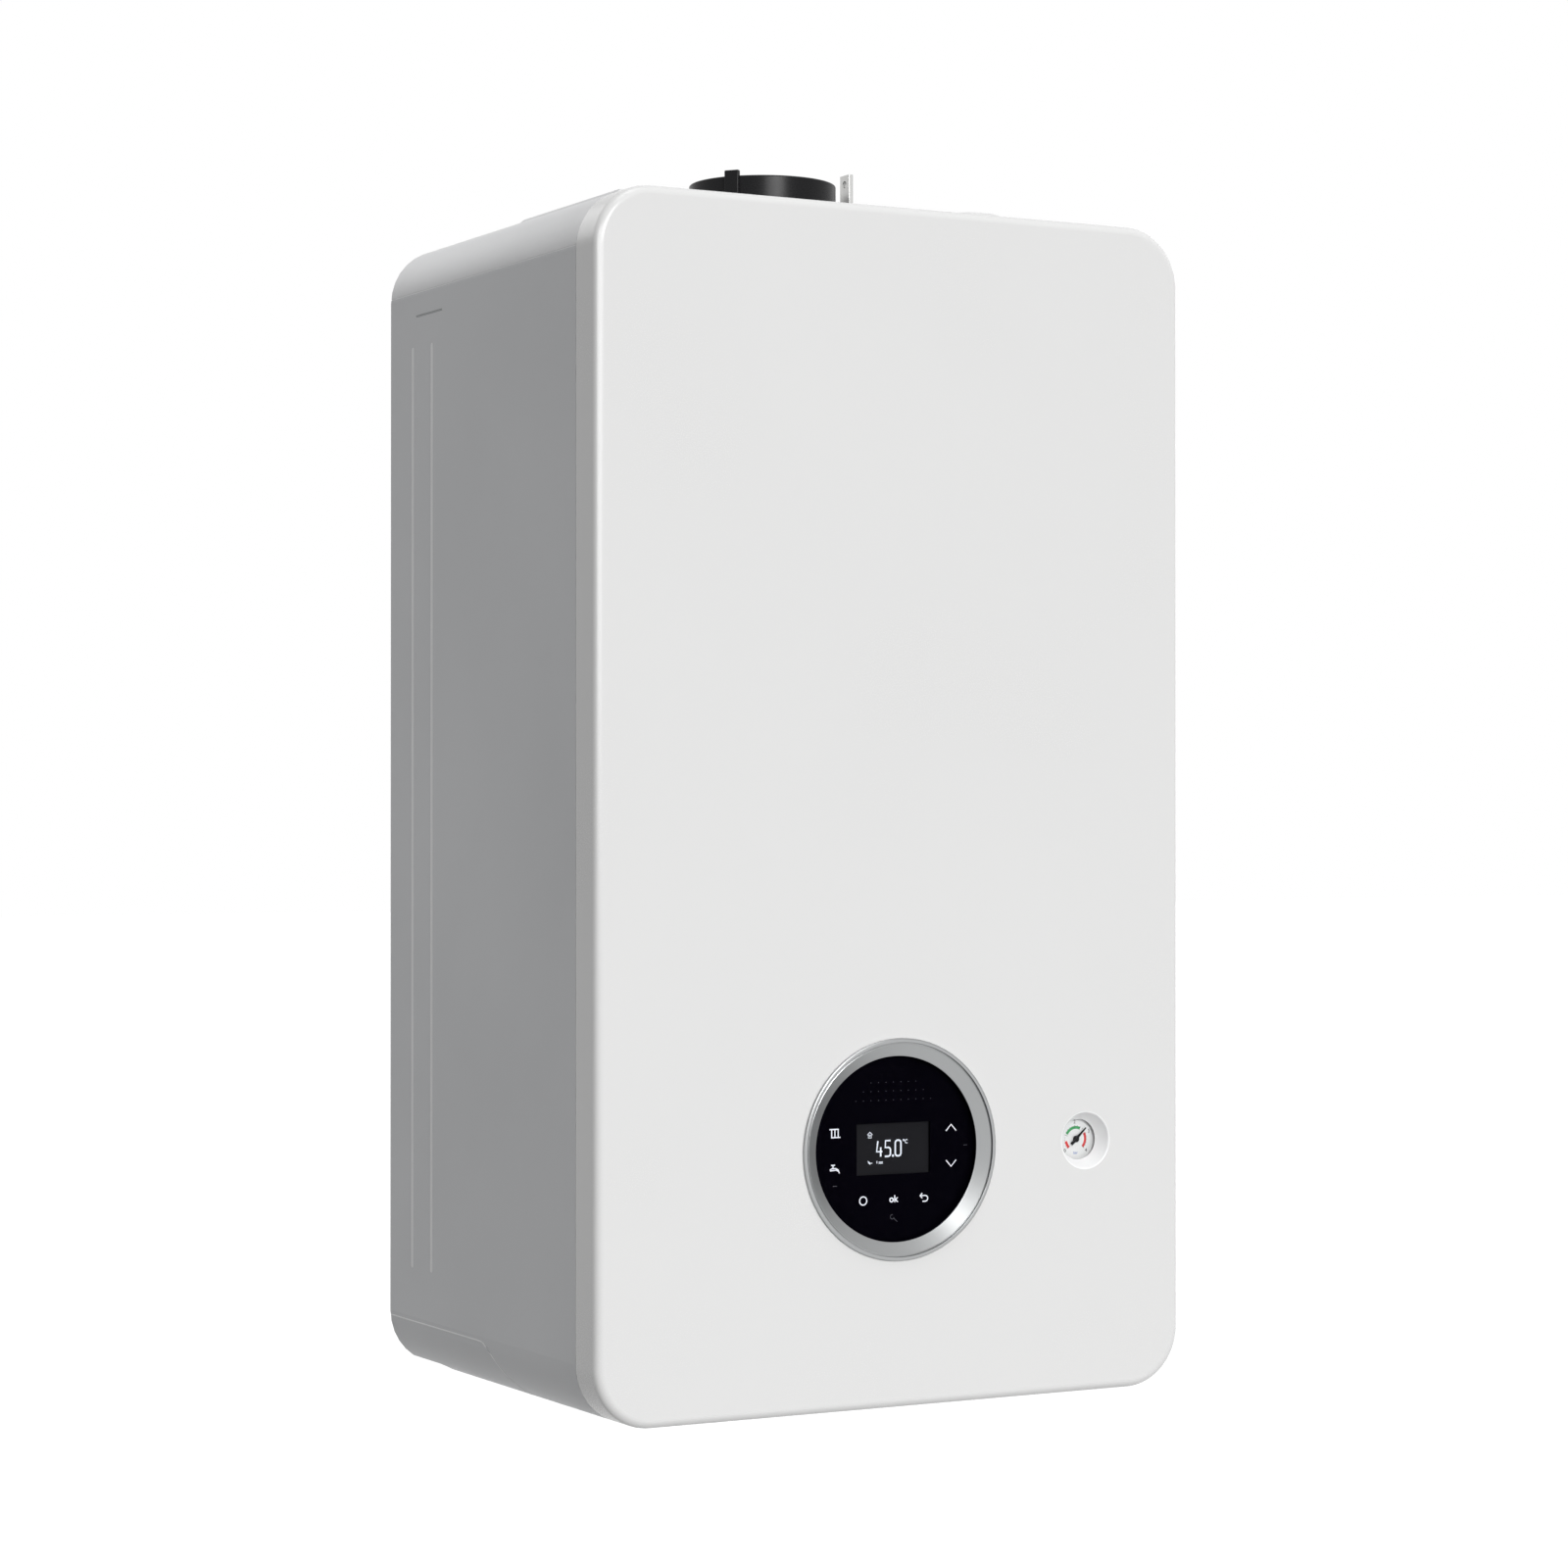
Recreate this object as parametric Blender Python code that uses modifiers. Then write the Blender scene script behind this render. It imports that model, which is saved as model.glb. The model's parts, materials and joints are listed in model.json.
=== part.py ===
"""A wall-hung condensing boiler with its casing, control unit, flue, burner and hydraulic group.

Metres, +Z up. The wall is the plane y = 0 and the front looks along -Y. The origin is the centre of the
wall bracket's back face. Places are given as heights above the case's underside, and every object hangs
on an empty that lies there.
"""

import math

import bmesh
import bpy
from mathutils import Matrix, Vector

MM = 0.001

# Case
CASE_WIDTH = 400 * MM
CASE_HEIGHT = 713 * MM
CASE_DEPTH = 300 * MM
CORNER_RADIUS = 36 * MM
SHEET = 1.5 * MM
SEAM = 0.5 * MM
CLEARANCE = 0.3 * MM
ROUND_CLEARANCE = 0.6 * MM
OVERRUN = 5 * MM
SHORT_OVERRUN = 1 * MM
COVER_RETURN = 27 * MM
FRONT_EDGE_RADIUS = 5 * MM
SHOULDER_DROP = 34 * MM
FLANGE_WIDTH = 12 * MM
UNDER_WIDTH = 50 * MM
GROOVE_RADIUS = 3.2 * MM
GROOVE_DEPTH = 0.7 * MM
GROOVE_PLACES = (35 * MM, 65 * MM)
GROOVE_LOW = 65 * MM
GROOVE_TOP_MARGIN = 32 * MM
SLOT_LENGTH = 41 * MM
SLOT_HEIGHT = 1.5 * MM
SLOT_FROM_WALL = 40 * MM
SLOT_DROP = 48 * MM
TRIM_HEIGHT = 33 * MM
TRIM_LENGTH = 146 * MM
TRIM_SLANT = 30 * MM
TRIM_CORNER = 9 * MM
TRIM_RISE = 6 * MM
TRIM_RISE_LENGTH = 43 * MM
TRIM_RISE_RAMP = 11 * MM
PLATEAU_SIDE_MARGIN = 31 * MM
PLATEAU_HEIGHT = 2.5 * MM
PLATEAU_FRONT_MARGIN = 35 * MM
PLATEAU_BACK = 128 * MM
PLATEAU_CHAMFER = 2 * MM

# Rear panel, wall bracket, bottom plate and exchanger shelf
REAR_SHEET = 1.2 * MM
REAR_RECESS = 10 * MM
REAR_FLANGE = 60 * MM
BRACKET_DROP = 58 * MM
BRACKET_END_MARGIN = 30 * MM
BRACKET_WIDTH = 40 * MM
BRACKET_SHEET = 2.5 * MM
BRACKET_HOLE_RADIUS = 4.5 * MM
BRACKET_HOLE_INSET = 30 * MM
HOOK_END_MARGIN = 60 * MM
HOOK_WIDTH = 30 * MM
HOOK_RISE = 12 * MM
HOOK_DROP = 4.5 * MM
HOOK_SLOT_HEIGHT = 20 * MM
BOTTOM_PLATE_HEIGHT = 45 * MM
SHELF_FAN_GAP = 6 * MM
SHELF_SHEET = 2 * MM
SHELF_ARM = 46 * MM
SHELF_NOTCH_MARGIN = 25 * MM
SHELF_NOTCH_GAP = 11 * MM
SHELF_VESSEL_GAP = 6 * MM

# Display, seen through the ring in the front cover
DISPLAY_HEIGHT = 153 * MM
RING_RADIUS = 66 * MM
RING_LIP = 1.8 * MM
RING_LIP_EDGE = 1.2 * MM
RING_LIP_WIDTH = 3 * MM
RING_LIP_FLAT = 1 * MM
RING_STEP = 0.9 * MM
RING_SLEEVE_RADIUS = 62.2 * MM
RING_SLEEVE_DEPTH = 9 * MM
RING_WALL = 1.5 * MM
RING_OPENING_RADIUS = 55.2 * MM
RING_CONE_DEPTH = 4.4 * MM
RING_CONE_WALL = 0.8 * MM
GLASS_DEPTH = 5.5 * MM
GLASS_RADIUS = 57.5 * MM
GLASS_THICKNESS = 2 * MM
HOUSING_FLANGE = 8.7 * MM
HOUSING_SLEEVE_RADIUS = 49.5 * MM
HOUSING_DEPTH_SHARE = 0.26
HOUSING_FACE = 1.4 * MM
WINDOW_WIDTH = 50.4 * MM
WINDOW_HEIGHT = 30.6 * MM
LCD_BORDER = 5 * MM
LCD_THICKNESS = 6 * MM
BOX_SIDE_MARGIN = 28 * MM
BOX_GAUGE_MARGIN = 25 * MM
BOX_BELOW_DISPLAY = 78 * MM
BOX_ABOVE_DISPLAY = 82 * MM
BOX_BACK_ROOM = 202.5 * MM
BOX_WALL = 2.5 * MM
BOX_EDGE = 4 * MM
LID_THICKNESS = 2 * MM
LID_SPIGOT = 3.3 * MM
BOARD_MARGIN = 16 * MM
BOARD_THICKNESS = 1.6 * MM
BOARD_DEPTH_SHARE = 0.59
BOARD_POST_RADIUS = 4 * MM
HINGE_INSET = 8 * MM
HINGE_ROD_RADIUS = 3 * MM
HINGE_EAR_GAP = 1.5 * MM
HINGE_EAR_SHEET = 1.5 * MM
HINGE_EAR_MARGIN = 9 * MM
HINGE_EAR_REACH = 25 * MM
HINGE_ROD_END = 2 * MM

# Pressure gauge in its well at the right of the display
GAUGE_SIDE_MARGIN = 69 * MM
WELL_RADIUS = 16.5 * MM
WELL_RIM = 1.2 * MM
WELL_RIM_INNER = 0.3 * MM
WELL_FLOOR_RADIUS = 14.3 * MM
WELL_DEPTH = 8.3 * MM
WELL_WALL = 1.6 * MM
GAUGE_RADIUS = 17.5 * MM
GAUGE_WALL = 2 * MM
GAUGE_LENGTH = 24 * MM
GAUGE_STEM_RADIUS = 6 * MM
GAUGE_STEM_LENGTH = 12 * MM
LENS_THICKNESS = 1 * MM
NEEDLE_SETBACK = 1.5 * MM
NEEDLE_THICKNESS = 0.6 * MM
NEEDLE_LENGTH = 9.7 * MM
NEEDLE_TAIL = 4.6 * MM
NEEDLE_HALF_WIDTH = 0.9 * MM
NEEDLE_TIP_HALF_WIDTH = 0.25 * MM
NEEDLE_HUB_RADIUS = 2 * MM
NEEDLE_PIN_RADIUS = 0.8 * MM
NEEDLE_PIN_LENGTH = 6 * MM
NEEDLE_REST_ANGLE = 43
DIAL_SETBACK = 2.6 * MM
DIAL_THICKNESS = 0.8 * MM
GAUGE_BRACKET_WIDTH = 38 * MM
GAUGE_BRACKET_TOP = 22 * MM
GAUGE_BRACKET_FOOT = 22 * MM
CAPILLARY_RADIUS = 1.5 * MM
CAPILLARY_FIRST_LEG = 16 * MM
CAPILLARY_SIDE_MARGIN = 22 * MM
CAPILLARY_SIDE_Y = -160 * MM
CAPILLARY_SIDE_Z = 110 * MM
CAPILLARY_END_Z = 75 * MM

# Flue collar, flue duct and what stands on the top cover
FLUE_Y = -128 * MM
COLLAR_RADIUS = 46.5 * MM
COLLAR_WALL = 2.5 * MM
COLLAR_RISE = 36.2 * MM
COLLAR_FLANGE_RADIUS = 54 * MM
COLLAR_FLANGE = 2.5 * MM
COLLAR_PORT_RADIUS = 5 * MM
COLLAR_PORT_COUNT = 8
COLLAR_PORT_TURN_SHARE = 0.4
COLLAR_TAB_WIDTH = 9.5 * MM
COLLAR_TAB_RISE = 3.3 * MM
COLLAR_TAB_PROUD = 2 * MM
COLLAR_TAB_ANGLE = -142
DUCT_RADIUS = 30 * MM
DUCT_WALL = 1.5 * MM
DUCT_DROP_BELOW_RIM = 12 * MM
PLUG_SIDE_MARGIN = 69 * MM
PLUG_Y = -160 * MM
PLUG_RADIUS = 25 * MM
PLUG_TOP = 22 * MM
PLUG_CHAMFER = 3 * MM
PLUG_STEM_RADIUS = 20 * MM
PLUG_STEM_LENGTH = 14 * MM
PLUG_WALL = 2 * MM
LUG_X = 58 * MM
LUG_Y = -134 * MM
LUG_WIDTH = 3 * MM
LUG_LENGTH = 12 * MM
LUG_TOP = 47 * MM
LUG_FOOT = 10 * MM
LUG_FOOT_THICKNESS = 2 * MM
LUG_HOLE_RADIUS = 2.2 * MM
LUG_HOLE_DROP = 6 * MM

# Heat exchanger with its coil, burner and door
EXCHANGER_X = -30 * MM
EXCHANGER_FRONT_ROOM = 65 * MM
EXCHANGER_RADIUS = 95 * MM
EXCHANGER_BACK_GAP = 1.5 * MM
EXCHANGER_WALL = 2.5 * MM
COIL_INNER_RADIUS = 74 * MM
COIL_RIB = 6 * MM
COIL_COUNT = 6
COIL_BACK_ROOM = 39.5 * MM
COIL_SETBACK = 12 * MM
DOOR_RADIUS = 93 * MM
DOOR_THICKNESS = 12 * MM
DOOR_NECK_RADIUS = 17 * MM
DOOR_NECK_LENGTH = 5 * MM
DOOR_BORE_RADIUS = 9 * MM
DOOR_NUT_RADIUS = 6 * MM
DOOR_NUT_LENGTH = 5 * MM
DOOR_NUT_CIRCLE = 82 * MM
DOOR_NUT_COUNT = 5
BURNER_RADIUS = 35 * MM
BURNER_LENGTH_SHARE = 0.65
BURNER_WALL = 1.2 * MM
ELECTRODE_OFFSET = 34 * MM
ELECTRODE_RADIUS = 3 * MM
ELECTRODE_HEAD_RADIUS = 6 * MM
ELECTRODE_HEAD = 14 * MM
ELECTRODE_LENGTH = 52 * MM

# Fan, gas valve and their ducts
FAN_X = 105 * MM
FAN_GAP_SHARE = 0.2683
FAN_FRONT_ROOM = 55 * MM
FAN_DEPTH = 44 * MM
FAN_RADIUS = 50 * MM
FAN_WALL = 2.5 * MM
FAN_OUTLET_WIDTH = 28 * MM
FAN_OUTLET_RISE = 62 * MM
FAN_INLET_RADIUS = 17 * MM
FAN_SHAFT_RADIUS = 3 * MM
FAN_SHAFT_HOLE_RADIUS = 6 * MM
FAN_MOTOR_RADIUS = 32 * MM
FAN_MOTOR_LENGTH = 34 * MM
FAN_MOTOR_EDGE = 4 * MM
WHEEL_RADIUS = 41 * MM
WHEEL_DISC = 2 * MM
WHEEL_BLADE = 20 * MM
WHEEL_HUB_RADIUS = 11 * MM
WHEEL_SETBACK = 5 * MM
WHEEL_VANES = 9
VANE_WIDTH_SHARE = 0.22
DUCT_TUBE_RADIUS = 10 * MM
DUCT_TUBE_WALL = 1.5 * MM
DUCT_COVER_GAP = 1.5 * MM
DUCT_FIRST_LEG = 30 * MM
VALVE_LEFT = -5 * MM
VALVE_RIGHT = 60 * MM
VALVE_FAN_GAP_SHARE = 0.101
VALVE_DEPTH_SHARE = 0.569
VALVE_BELOW_FAN = 34 * MM
VALVE_ABOVE_FAN = 24 * MM
VALVE_COIL_PLACE_SHARES = (0.28, 0.72)
VALVE_EDGE = 3 * MM
GAS_BEND_LOW_DROP = 71 * MM
GAS_BEND_HIGH_DROP = 32 * MM
VALVE_COIL_RADIUS = 12 * MM
VALVE_COIL_RISE = 26 * MM
VENTURI_RADIUS = 23 * MM
VENTURI_WALL = 5 * MM
VENTURI_LENGTH = 48 * MM
VENTURI_ARM_RADIUS = 12 * MM

# Expansion vessel
VESSEL_SIDE_ROOM = 35 * MM
VESSEL_FRONT = 92 * MM
VESSEL_SHEET = 1.5 * MM
VESSEL_RIM = 30 * MM
VESSEL_CROWN_INSET = 45 * MM
VESSEL_PORT_RADIUS = 5 * MM
HOSE_RADIUS = 5 * MM
HOSE_BEND_HIGH_RISE = 40 * MM
HOSE_BEND_LOW_RISE = 8 * MM
HOSE_END_OFFSET = 7 * MM

# Hydraulic group
PLATES_END_MARGIN = 30 * MM
PLATES_FRONT = 80 * MM
PLATES_BACK = 30 * MM
PLATES_BOTTOM = 175 * MM
PLATES_TOP = 250 * MM
PLATES_CORNER = 14 * MM
PLATES_WALL = 3 * MM
PLATES_LUG_WIDTH = 60 * MM
PLATES_LUG_HEIGHT = 25 * MM
PLATES_PORT_RADIUS = 6 * MM
PUMP_OFFSET = 5 * MM
PUMP_Z = 150 * MM
PUMP_RADIUS = 42 * MM
PUMP_WALL = 5 * MM
PUMP_FRONT = 120 * MM
PUMP_BACK = 75 * MM
PUMP_LUG_WIDTH = 30 * MM
PUMP_LUG_HEIGHT = 20 * MM
PUMP_OUTLET_OFFSET = 25 * MM
PUMP_OUTLET_Z = 200 * MM
PUMP_PORT_RADIUS = 12 * MM
PUMP_PORT_BORE = 8 * MM
PUMP_MOTOR_RADIUS = 38 * MM
PUMP_MOTOR_LENGTH = 62 * MM
PUMP_MOTOR_EDGE = 3 * MM
PUMP_TERMINAL = 30 * MM
PUMP_WHEEL_RADIUS = 30 * MM
PUMP_WHEEL_HUB = 8 * MM
PUMP_WHEEL_DEPTH = 12 * MM
PUMP_WHEEL_VANES = 6
DIVERTER_LEFT = 18 * MM
DIVERTER_RIGHT = 30 * MM
DIVERTER_FRONT = 117 * MM
DIVERTER_BACK = 73 * MM
DIVERTER_BOTTOM = 105 * MM
DIVERTER_TOP = 150 * MM
DIVERTER_EDGE = 4 * MM
DIVERTER_OVERLAP = 12 * MM
DIVERTER_ARM_GAP = 5 * MM
DIVERTER_ARM_HEIGHT = 20 * MM
ACTUATOR_LENGTH = 50 * MM
ACTUATOR_INSET = 4 * MM
ACTUATOR_EDGE = 3 * MM
RELIEF_Z = 140 * MM
RELIEF_RADIUS = 13 * MM
RELIEF_FRONT = 140 * MM
RELIEF_BACK = 95 * MM
RELIEF_ARM_RADIUS = 8 * MM
RELIEF_DRAIN_RADIUS = 7 * MM
RELIEF_DRAIN_BORE = 5 * MM
RELIEF_DRAIN_LOW = 20 * MM
RELIEF_KNOB_RADIUS = 14 * MM
RELIEF_KNOB_LENGTH = 18 * MM
RELIEF_KNOB_WAIST = 11 * MM
VENT_OFFSET = 23 * MM
VENT_RADIUS = 13 * MM
VENT_TOP = 240 * MM
VENT_LOW = 168 * MM
VENT_CAP_RADIUS = 4 * MM
VENT_CAP_RISE = 6 * MM
TRAP_SIDE_MARGIN = 32 * MM
TRAP_Y = -150 * MM
TRAP_RADIUS = 22 * MM
TRAP_LOW = 95 * MM
TRAP_TOP = 230 * MM
TRAP_WALL = 2 * MM
TRAP_CAP_RADIUS = 25 * MM
TRAP_CAP = 12 * MM
TRAP_STUB_RADIUS = 10 * MM
TRAP_STUB_BORE = 8 * MM
TRAP_STUB_LOW = 22 * MM
TRAP_HOSE_RADIUS = 8 * MM
TRAP_HOSE_WALL = 1.5 * MM
TRAP_HOSE_OFFSET = 32 * MM
TRAP_HOSE_Y = -170 * MM
TRAP_HOSE_FIRST_LEG = 45 * MM
TRAP_HOSE_LAST_LEG = 58 * MM

# Connection pipes under the case
PIPE_Y = -95 * MM
PIPE_LOW = 8 * MM
PIPE_SIDE_ROOM = 70 * MM
HEATING_PIPE_RADIUS = 10 * MM
WATER_PIPE_RADIUS = 8 * MM
GAS_PIPE_RADIUS = 9 * MM
WATER_BEND_LOW = 98 * MM
WATER_BEND_HIGH = 138 * MM
PIPE_WALL = 1.2 * MM
NUT_LOW = 20 * MM
NUT_HEIGHT = 14 * MM
NUT_PROUD = 5 * MM
NUT_BORE_SHARE = 0.88
BOILER_PIPE_RADIUS = 9 * MM
BOILER_PIPE_Y = -120 * MM
BOILER_PIPE_OFFSET = 80 * MM
BOILER_FLOW_FIRST_LEG = 80 * MM
BOILER_FLOW_LAST_LEG = 60 * MM
BOILER_RETURN_FIRST_LEG = 36 * MM
BOILER_RETURN_LAST_LEG = 24 * MM
FILLING_BODY_LOW = 60 * MM
FILLING_BODY_HEIGHT = 20 * MM
FILLING_BODY_HALF = 8 * MM
FILLING_STEM_RADIUS = 4 * MM
FILLING_KNOB_RADIUS = 10 * MM
FILLING_KNOB_LOW = 12 * MM
FILLING_KNOB_TOP = 36 * MM
GLAND_OFFSET = 30 * MM
GLAND_BOX_GAP = 5 * MM
GLAND_RADIUS = 9 * MM
GLAND_BORE = 4 * MM
GLAND_FLANGE_RADIUS = 13 * MM
GLAND_LOW = 24 * MM
GLAND_TOP = 56 * MM
GLAND_FLANGE = 5 * MM

# Facets
CORNER_SEGMENTS = 8
EDGE_SEGMENTS = 3
VISIBLE_SIDES = 48
LARGE_SIDES = 32
ROUND_SIDES = 24
SMALL_SIDES = 12
HEX_SIDES = 6
PIPE_RESOLUTION = 2
HOSE_RESOLUTION = 1
BEND_STEPS = 4
BEND_SHARE = 2.4
ROUND_END_STEPS = 4
MERGE_DISTANCE = 0.01 * MM

# The case
HALF_WIDTH = CASE_WIDTH / 2
INNER_HALF = HALF_WIDTH - SHEET - CLEARANCE
SEAM_Y = -CASE_DEPTH + COVER_RETURN
PANEL_FRONT = SEAM_Y + SEAM
SHOULDER_Z = CASE_HEIGHT - SHOULDER_DROP
GROOVE_HIGH = SHOULDER_Z - GROOVE_TOP_MARGIN
WEB_FRONT = -REAR_RECESS - REAR_SHEET
PLATEAU_HALF_WIDTH = HALF_WIDTH - PLATEAU_SIDE_MARGIN
PLATEAU_FRONT = CASE_DEPTH - PLATEAU_FRONT_MARGIN
PLUG_X = HALF_WIDTH - PLUG_SIDE_MARGIN
BRACKET_HEIGHT = CASE_HEIGHT - BRACKET_DROP
BRACKET_LENGTH = CASE_WIDTH - 2 * BRACKET_END_MARGIN
HOOK_SPACING = CASE_WIDTH - 2 * HOOK_END_MARGIN
BRACKET_HOLE_SPACING = HOOK_SPACING - 2 * BRACKET_HOLE_INSET
FAR = CASE_HEIGHT + CASE_WIDTH

# The gauge and the control box behind the cover
GAUGE_X = HALF_WIDTH - GAUGE_SIDE_MARGIN
CAPILLARY_SIDE_X = HALF_WIDTH - CAPILLARY_SIDE_MARGIN
BOX_LEFT = HALF_WIDTH - BOX_SIDE_MARGIN
BOX_RIGHT = GAUGE_X - BOX_GAUGE_MARGIN
BOX_LOW = DISPLAY_HEIGHT - BOX_BELOW_DISPLAY
BOX_TOP = DISPLAY_HEIGHT + BOX_ABOVE_DISPLAY
BOX_FRONT = -CASE_DEPTH + GLASS_DEPTH + GLASS_THICKNESS + CLEARANCE + HOUSING_FLANGE
BOX_DEPTH = -BOX_FRONT - BOX_BACK_ROOM
BOARD_SETBACK = BOX_DEPTH * BOARD_DEPTH_SHARE
HOUSING_LENGTH = HOUSING_FLANGE + BOX_DEPTH * HOUSING_DEPTH_SHARE
HINGE_PLACE = (BOX_FRONT + HINGE_INSET, BOX_LOW + HINGE_INSET)

# The fan, the shelf and the heat exchanger, stacked between the control box and the top cover
STACK_HEIGHT = FAN_RADIUS + FAN_OUTLET_RISE + SHELF_FAN_GAP + SHELF_SHEET + CLEARANCE + 2 * EXCHANGER_RADIUS
FAN_Z = BOX_TOP + (CASE_HEIGHT - BOX_TOP - STACK_HEIGHT) * FAN_GAP_SHARE + FAN_RADIUS
FAN_FRONT = CASE_DEPTH - FAN_FRONT_ROOM
FAN_BACK = FAN_FRONT - FAN_DEPTH
SHELF_HEIGHT = FAN_Z + FAN_OUTLET_RISE + SHELF_FAN_GAP
SHELF_NOTCH_LEFT = FAN_X - SHELF_NOTCH_MARGIN
SHELF_NOTCH_FRONT = FAN_BACK - SHELF_NOTCH_GAP
SHELF_RECESS_FRONT = VESSEL_FRONT + SHELF_VESSEL_GAP
EXCHANGER_Z = SHELF_HEIGHT + SHELF_SHEET + CLEARANCE + EXCHANGER_RADIUS
EXCHANGER_FRONT = CASE_DEPTH - EXCHANGER_FRONT_ROOM
EXCHANGER_LENGTH = EXCHANGER_FRONT - VESSEL_FRONT - EXCHANGER_BACK_GAP
SHELF_FRONT = EXCHANGER_FRONT
COIL_PITCH = (EXCHANGER_LENGTH - COIL_SETBACK - COIL_BACK_ROOM) / COIL_COUNT
BURNER_LENGTH = EXCHANGER_LENGTH * BURNER_LENGTH_SHARE
VALVE_FAN_GAP = (FAN_BACK - VESSEL_FRONT) * VALVE_FAN_GAP_SHARE
VALVE_LOW = (VALVE_LEFT, VALVE_FAN_GAP - FAN_BACK, FAN_Z - VALVE_BELOW_FAN)
VALVE_DEPTH = (FAN_BACK - VESSEL_FRONT) * VALVE_DEPTH_SHARE
VALVE_HIGH = (VALVE_RIGHT, VALVE_LOW[1] + VALVE_DEPTH, FAN_Z + VALVE_ABOVE_FAN)
GAS_BEND_LOW = VALVE_LOW[2] - GAS_BEND_LOW_DROP
GAS_BEND_HIGH = VALVE_LOW[2] - GAS_BEND_HIGH_DROP
VESSEL_Z = (PLATES_TOP + CASE_HEIGHT) / 2
VESSEL_RADIUS = HALF_WIDTH - VESSEL_SIDE_ROOM
VESSEL_CROWN_RADIUS = VESSEL_RADIUS - VESSEL_CROWN_INSET

# The connections and the hydraulic group above them
PIPE_PITCH = (HALF_WIDTH - PIPE_SIDE_ROOM) / 2
FLOW_X = -2 * PIPE_PITCH
HOT_X = -PIPE_PITCH
GAS_X = 0.0
COLD_X = PIPE_PITCH
RETURN_X = 2 * PIPE_PITCH
RELIEF_X = (GAS_X + COLD_X) / 2
RELIEF_DRAIN_Y = -(RELIEF_FRONT + RELIEF_BACK) / 2
FILLING_X = (COLD_X + RETURN_X) / 2
GLAND_X = HOT_X - GLAND_OFFSET
GLAND_Y = -BOX_BACK_ROOM + LID_THICKNESS + GLAND_FLANGE_RADIUS + GLAND_BOX_GAP
PLATES_LOW = (HOT_X - PLATES_END_MARGIN, -PLATES_FRONT, PLATES_BOTTOM)
PLATES_HIGH = (COLD_X + PLATES_END_MARGIN, -PLATES_BACK, PLATES_TOP)
PUMP_X = RETURN_X - PUMP_OFFSET
PUMP_OUTLET_X = PUMP_X - PUMP_OUTLET_OFFSET
VENT_X = PUMP_X + VENT_OFFSET
HOSE_END_X = PUMP_X - HOSE_END_OFFSET
HOSE_BEND_HIGH = PLATES_TOP + HOSE_BEND_HIGH_RISE
HOSE_BEND_LOW = PLATES_TOP + HOSE_BEND_LOW_RISE
DIVERTER_LOW = (FLOW_X - DIVERTER_LEFT, -DIVERTER_FRONT, DIVERTER_BOTTOM)
DIVERTER_HIGH = (FLOW_X + DIVERTER_RIGHT, -DIVERTER_BACK, DIVERTER_TOP)
DIVERTER_ARM_RIGHT = HOT_X - DIVERTER_ARM_GAP
TRAP_X = -HALF_WIDTH + TRAP_SIDE_MARGIN
TRAP_HOSE_X = EXCHANGER_X - TRAP_HOSE_OFFSET
TRAP_HOSE_BEND_LOW = TRAP_TOP + TRAP_HOSE_FIRST_LEG
TRAP_HOSE_BEND_HIGH = SHELF_HEIGHT - TRAP_HOSE_LAST_LEG
BOILER_FLOW_X = EXCHANGER_X - BOILER_PIPE_OFFSET
BOILER_RETURN_X = EXCHANGER_X + BOILER_PIPE_OFFSET
BOILER_FLOW_BEND_LOW = DIVERTER_TOP + BOILER_FLOW_FIRST_LEG
BOILER_FLOW_BEND_HIGH = SHELF_HEIGHT - BOILER_FLOW_LAST_LEG
BOILER_RETURN_BEND_LOW = PUMP_OUTLET_Z + BOILER_RETURN_FIRST_LEG
BOILER_RETURN_BEND_HIGH = SHELF_HEIGHT - BOILER_RETURN_LAST_LEG

AXIS_TURNS = {
    "X": Matrix.Rotation(math.radians(90), 4, "Y"),
    "Y": Matrix.Rotation(math.radians(-90), 4, "X"),
    "Z": Matrix.Identity(4),
}
# The plane that an outline is drawn in, by the axis that it is extruded along.
OUTLINE_TURNS = {
    "X": Matrix(((0, 0, 1, 0), (1, 0, 0, 0), (0, 1, 0, 0), (0, 0, 0, 1))),
    "Y": Matrix(((1, 0, 0, 0), (0, 0, -1, 0), (0, 1, 0, 0), (0, 0, 0, 1))),
    "Z": Matrix.Identity(4),
}


def clear_scene():
    for obj in list(bpy.data.objects):
        bpy.data.objects.remove(obj, do_unlink=True)


def new_collection(name):
    collection = bpy.data.collections.new(name)
    bpy.context.scene.collection.children.link(collection)
    return collection


def new_empty(name, place):
    empty = bpy.data.objects.new(name, None)
    empty.location = place
    PARTS.objects.link(empty)
    return empty


def new_finish(name, colour, roughness, metallic=0.0):
    """A plain surface finish: a Principled BSDF with its colour, roughness and metallic value."""
    finish = bpy.data.materials.new(name)
    finish.use_nodes = True
    shader = finish.node_tree.nodes["Principled BSDF"]
    shader.inputs["Base Color"].default_value = (*colour, 1.0)
    shader.inputs["Roughness"].default_value = roughness
    shader.inputs["Metallic"].default_value = metallic
    finish.diffuse_color = (*colour, 1.0)
    return finish


def place_object(name, data, finish, place=(0.0, 0.0, 0.0), turn=None):
    """Links an object under the boiler's empty: a sub-part with a finish, or a cutter without one."""
    obj = bpy.data.objects.new(name, data)
    obj.parent = BOILER
    obj.location = place
    if turn is not None:
        obj.rotation_euler = turn.to_euler()
    if finish is None:
        CUTTERS.objects.link(obj)
        obj.hide_render = True
        obj.display_type = "WIRE"
    else:
        PARTS.objects.link(obj)
        data.materials.append(finish)
    return obj


def mesh_from(name, shape):
    mesh = bpy.data.meshes.new(name)
    shape.to_mesh(mesh)
    shape.free()
    return mesh


def shade_round(obj):
    obj.data.shade_smooth()
    obj.data.set_sharp_from_angle(angle=math.radians(40))


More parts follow.
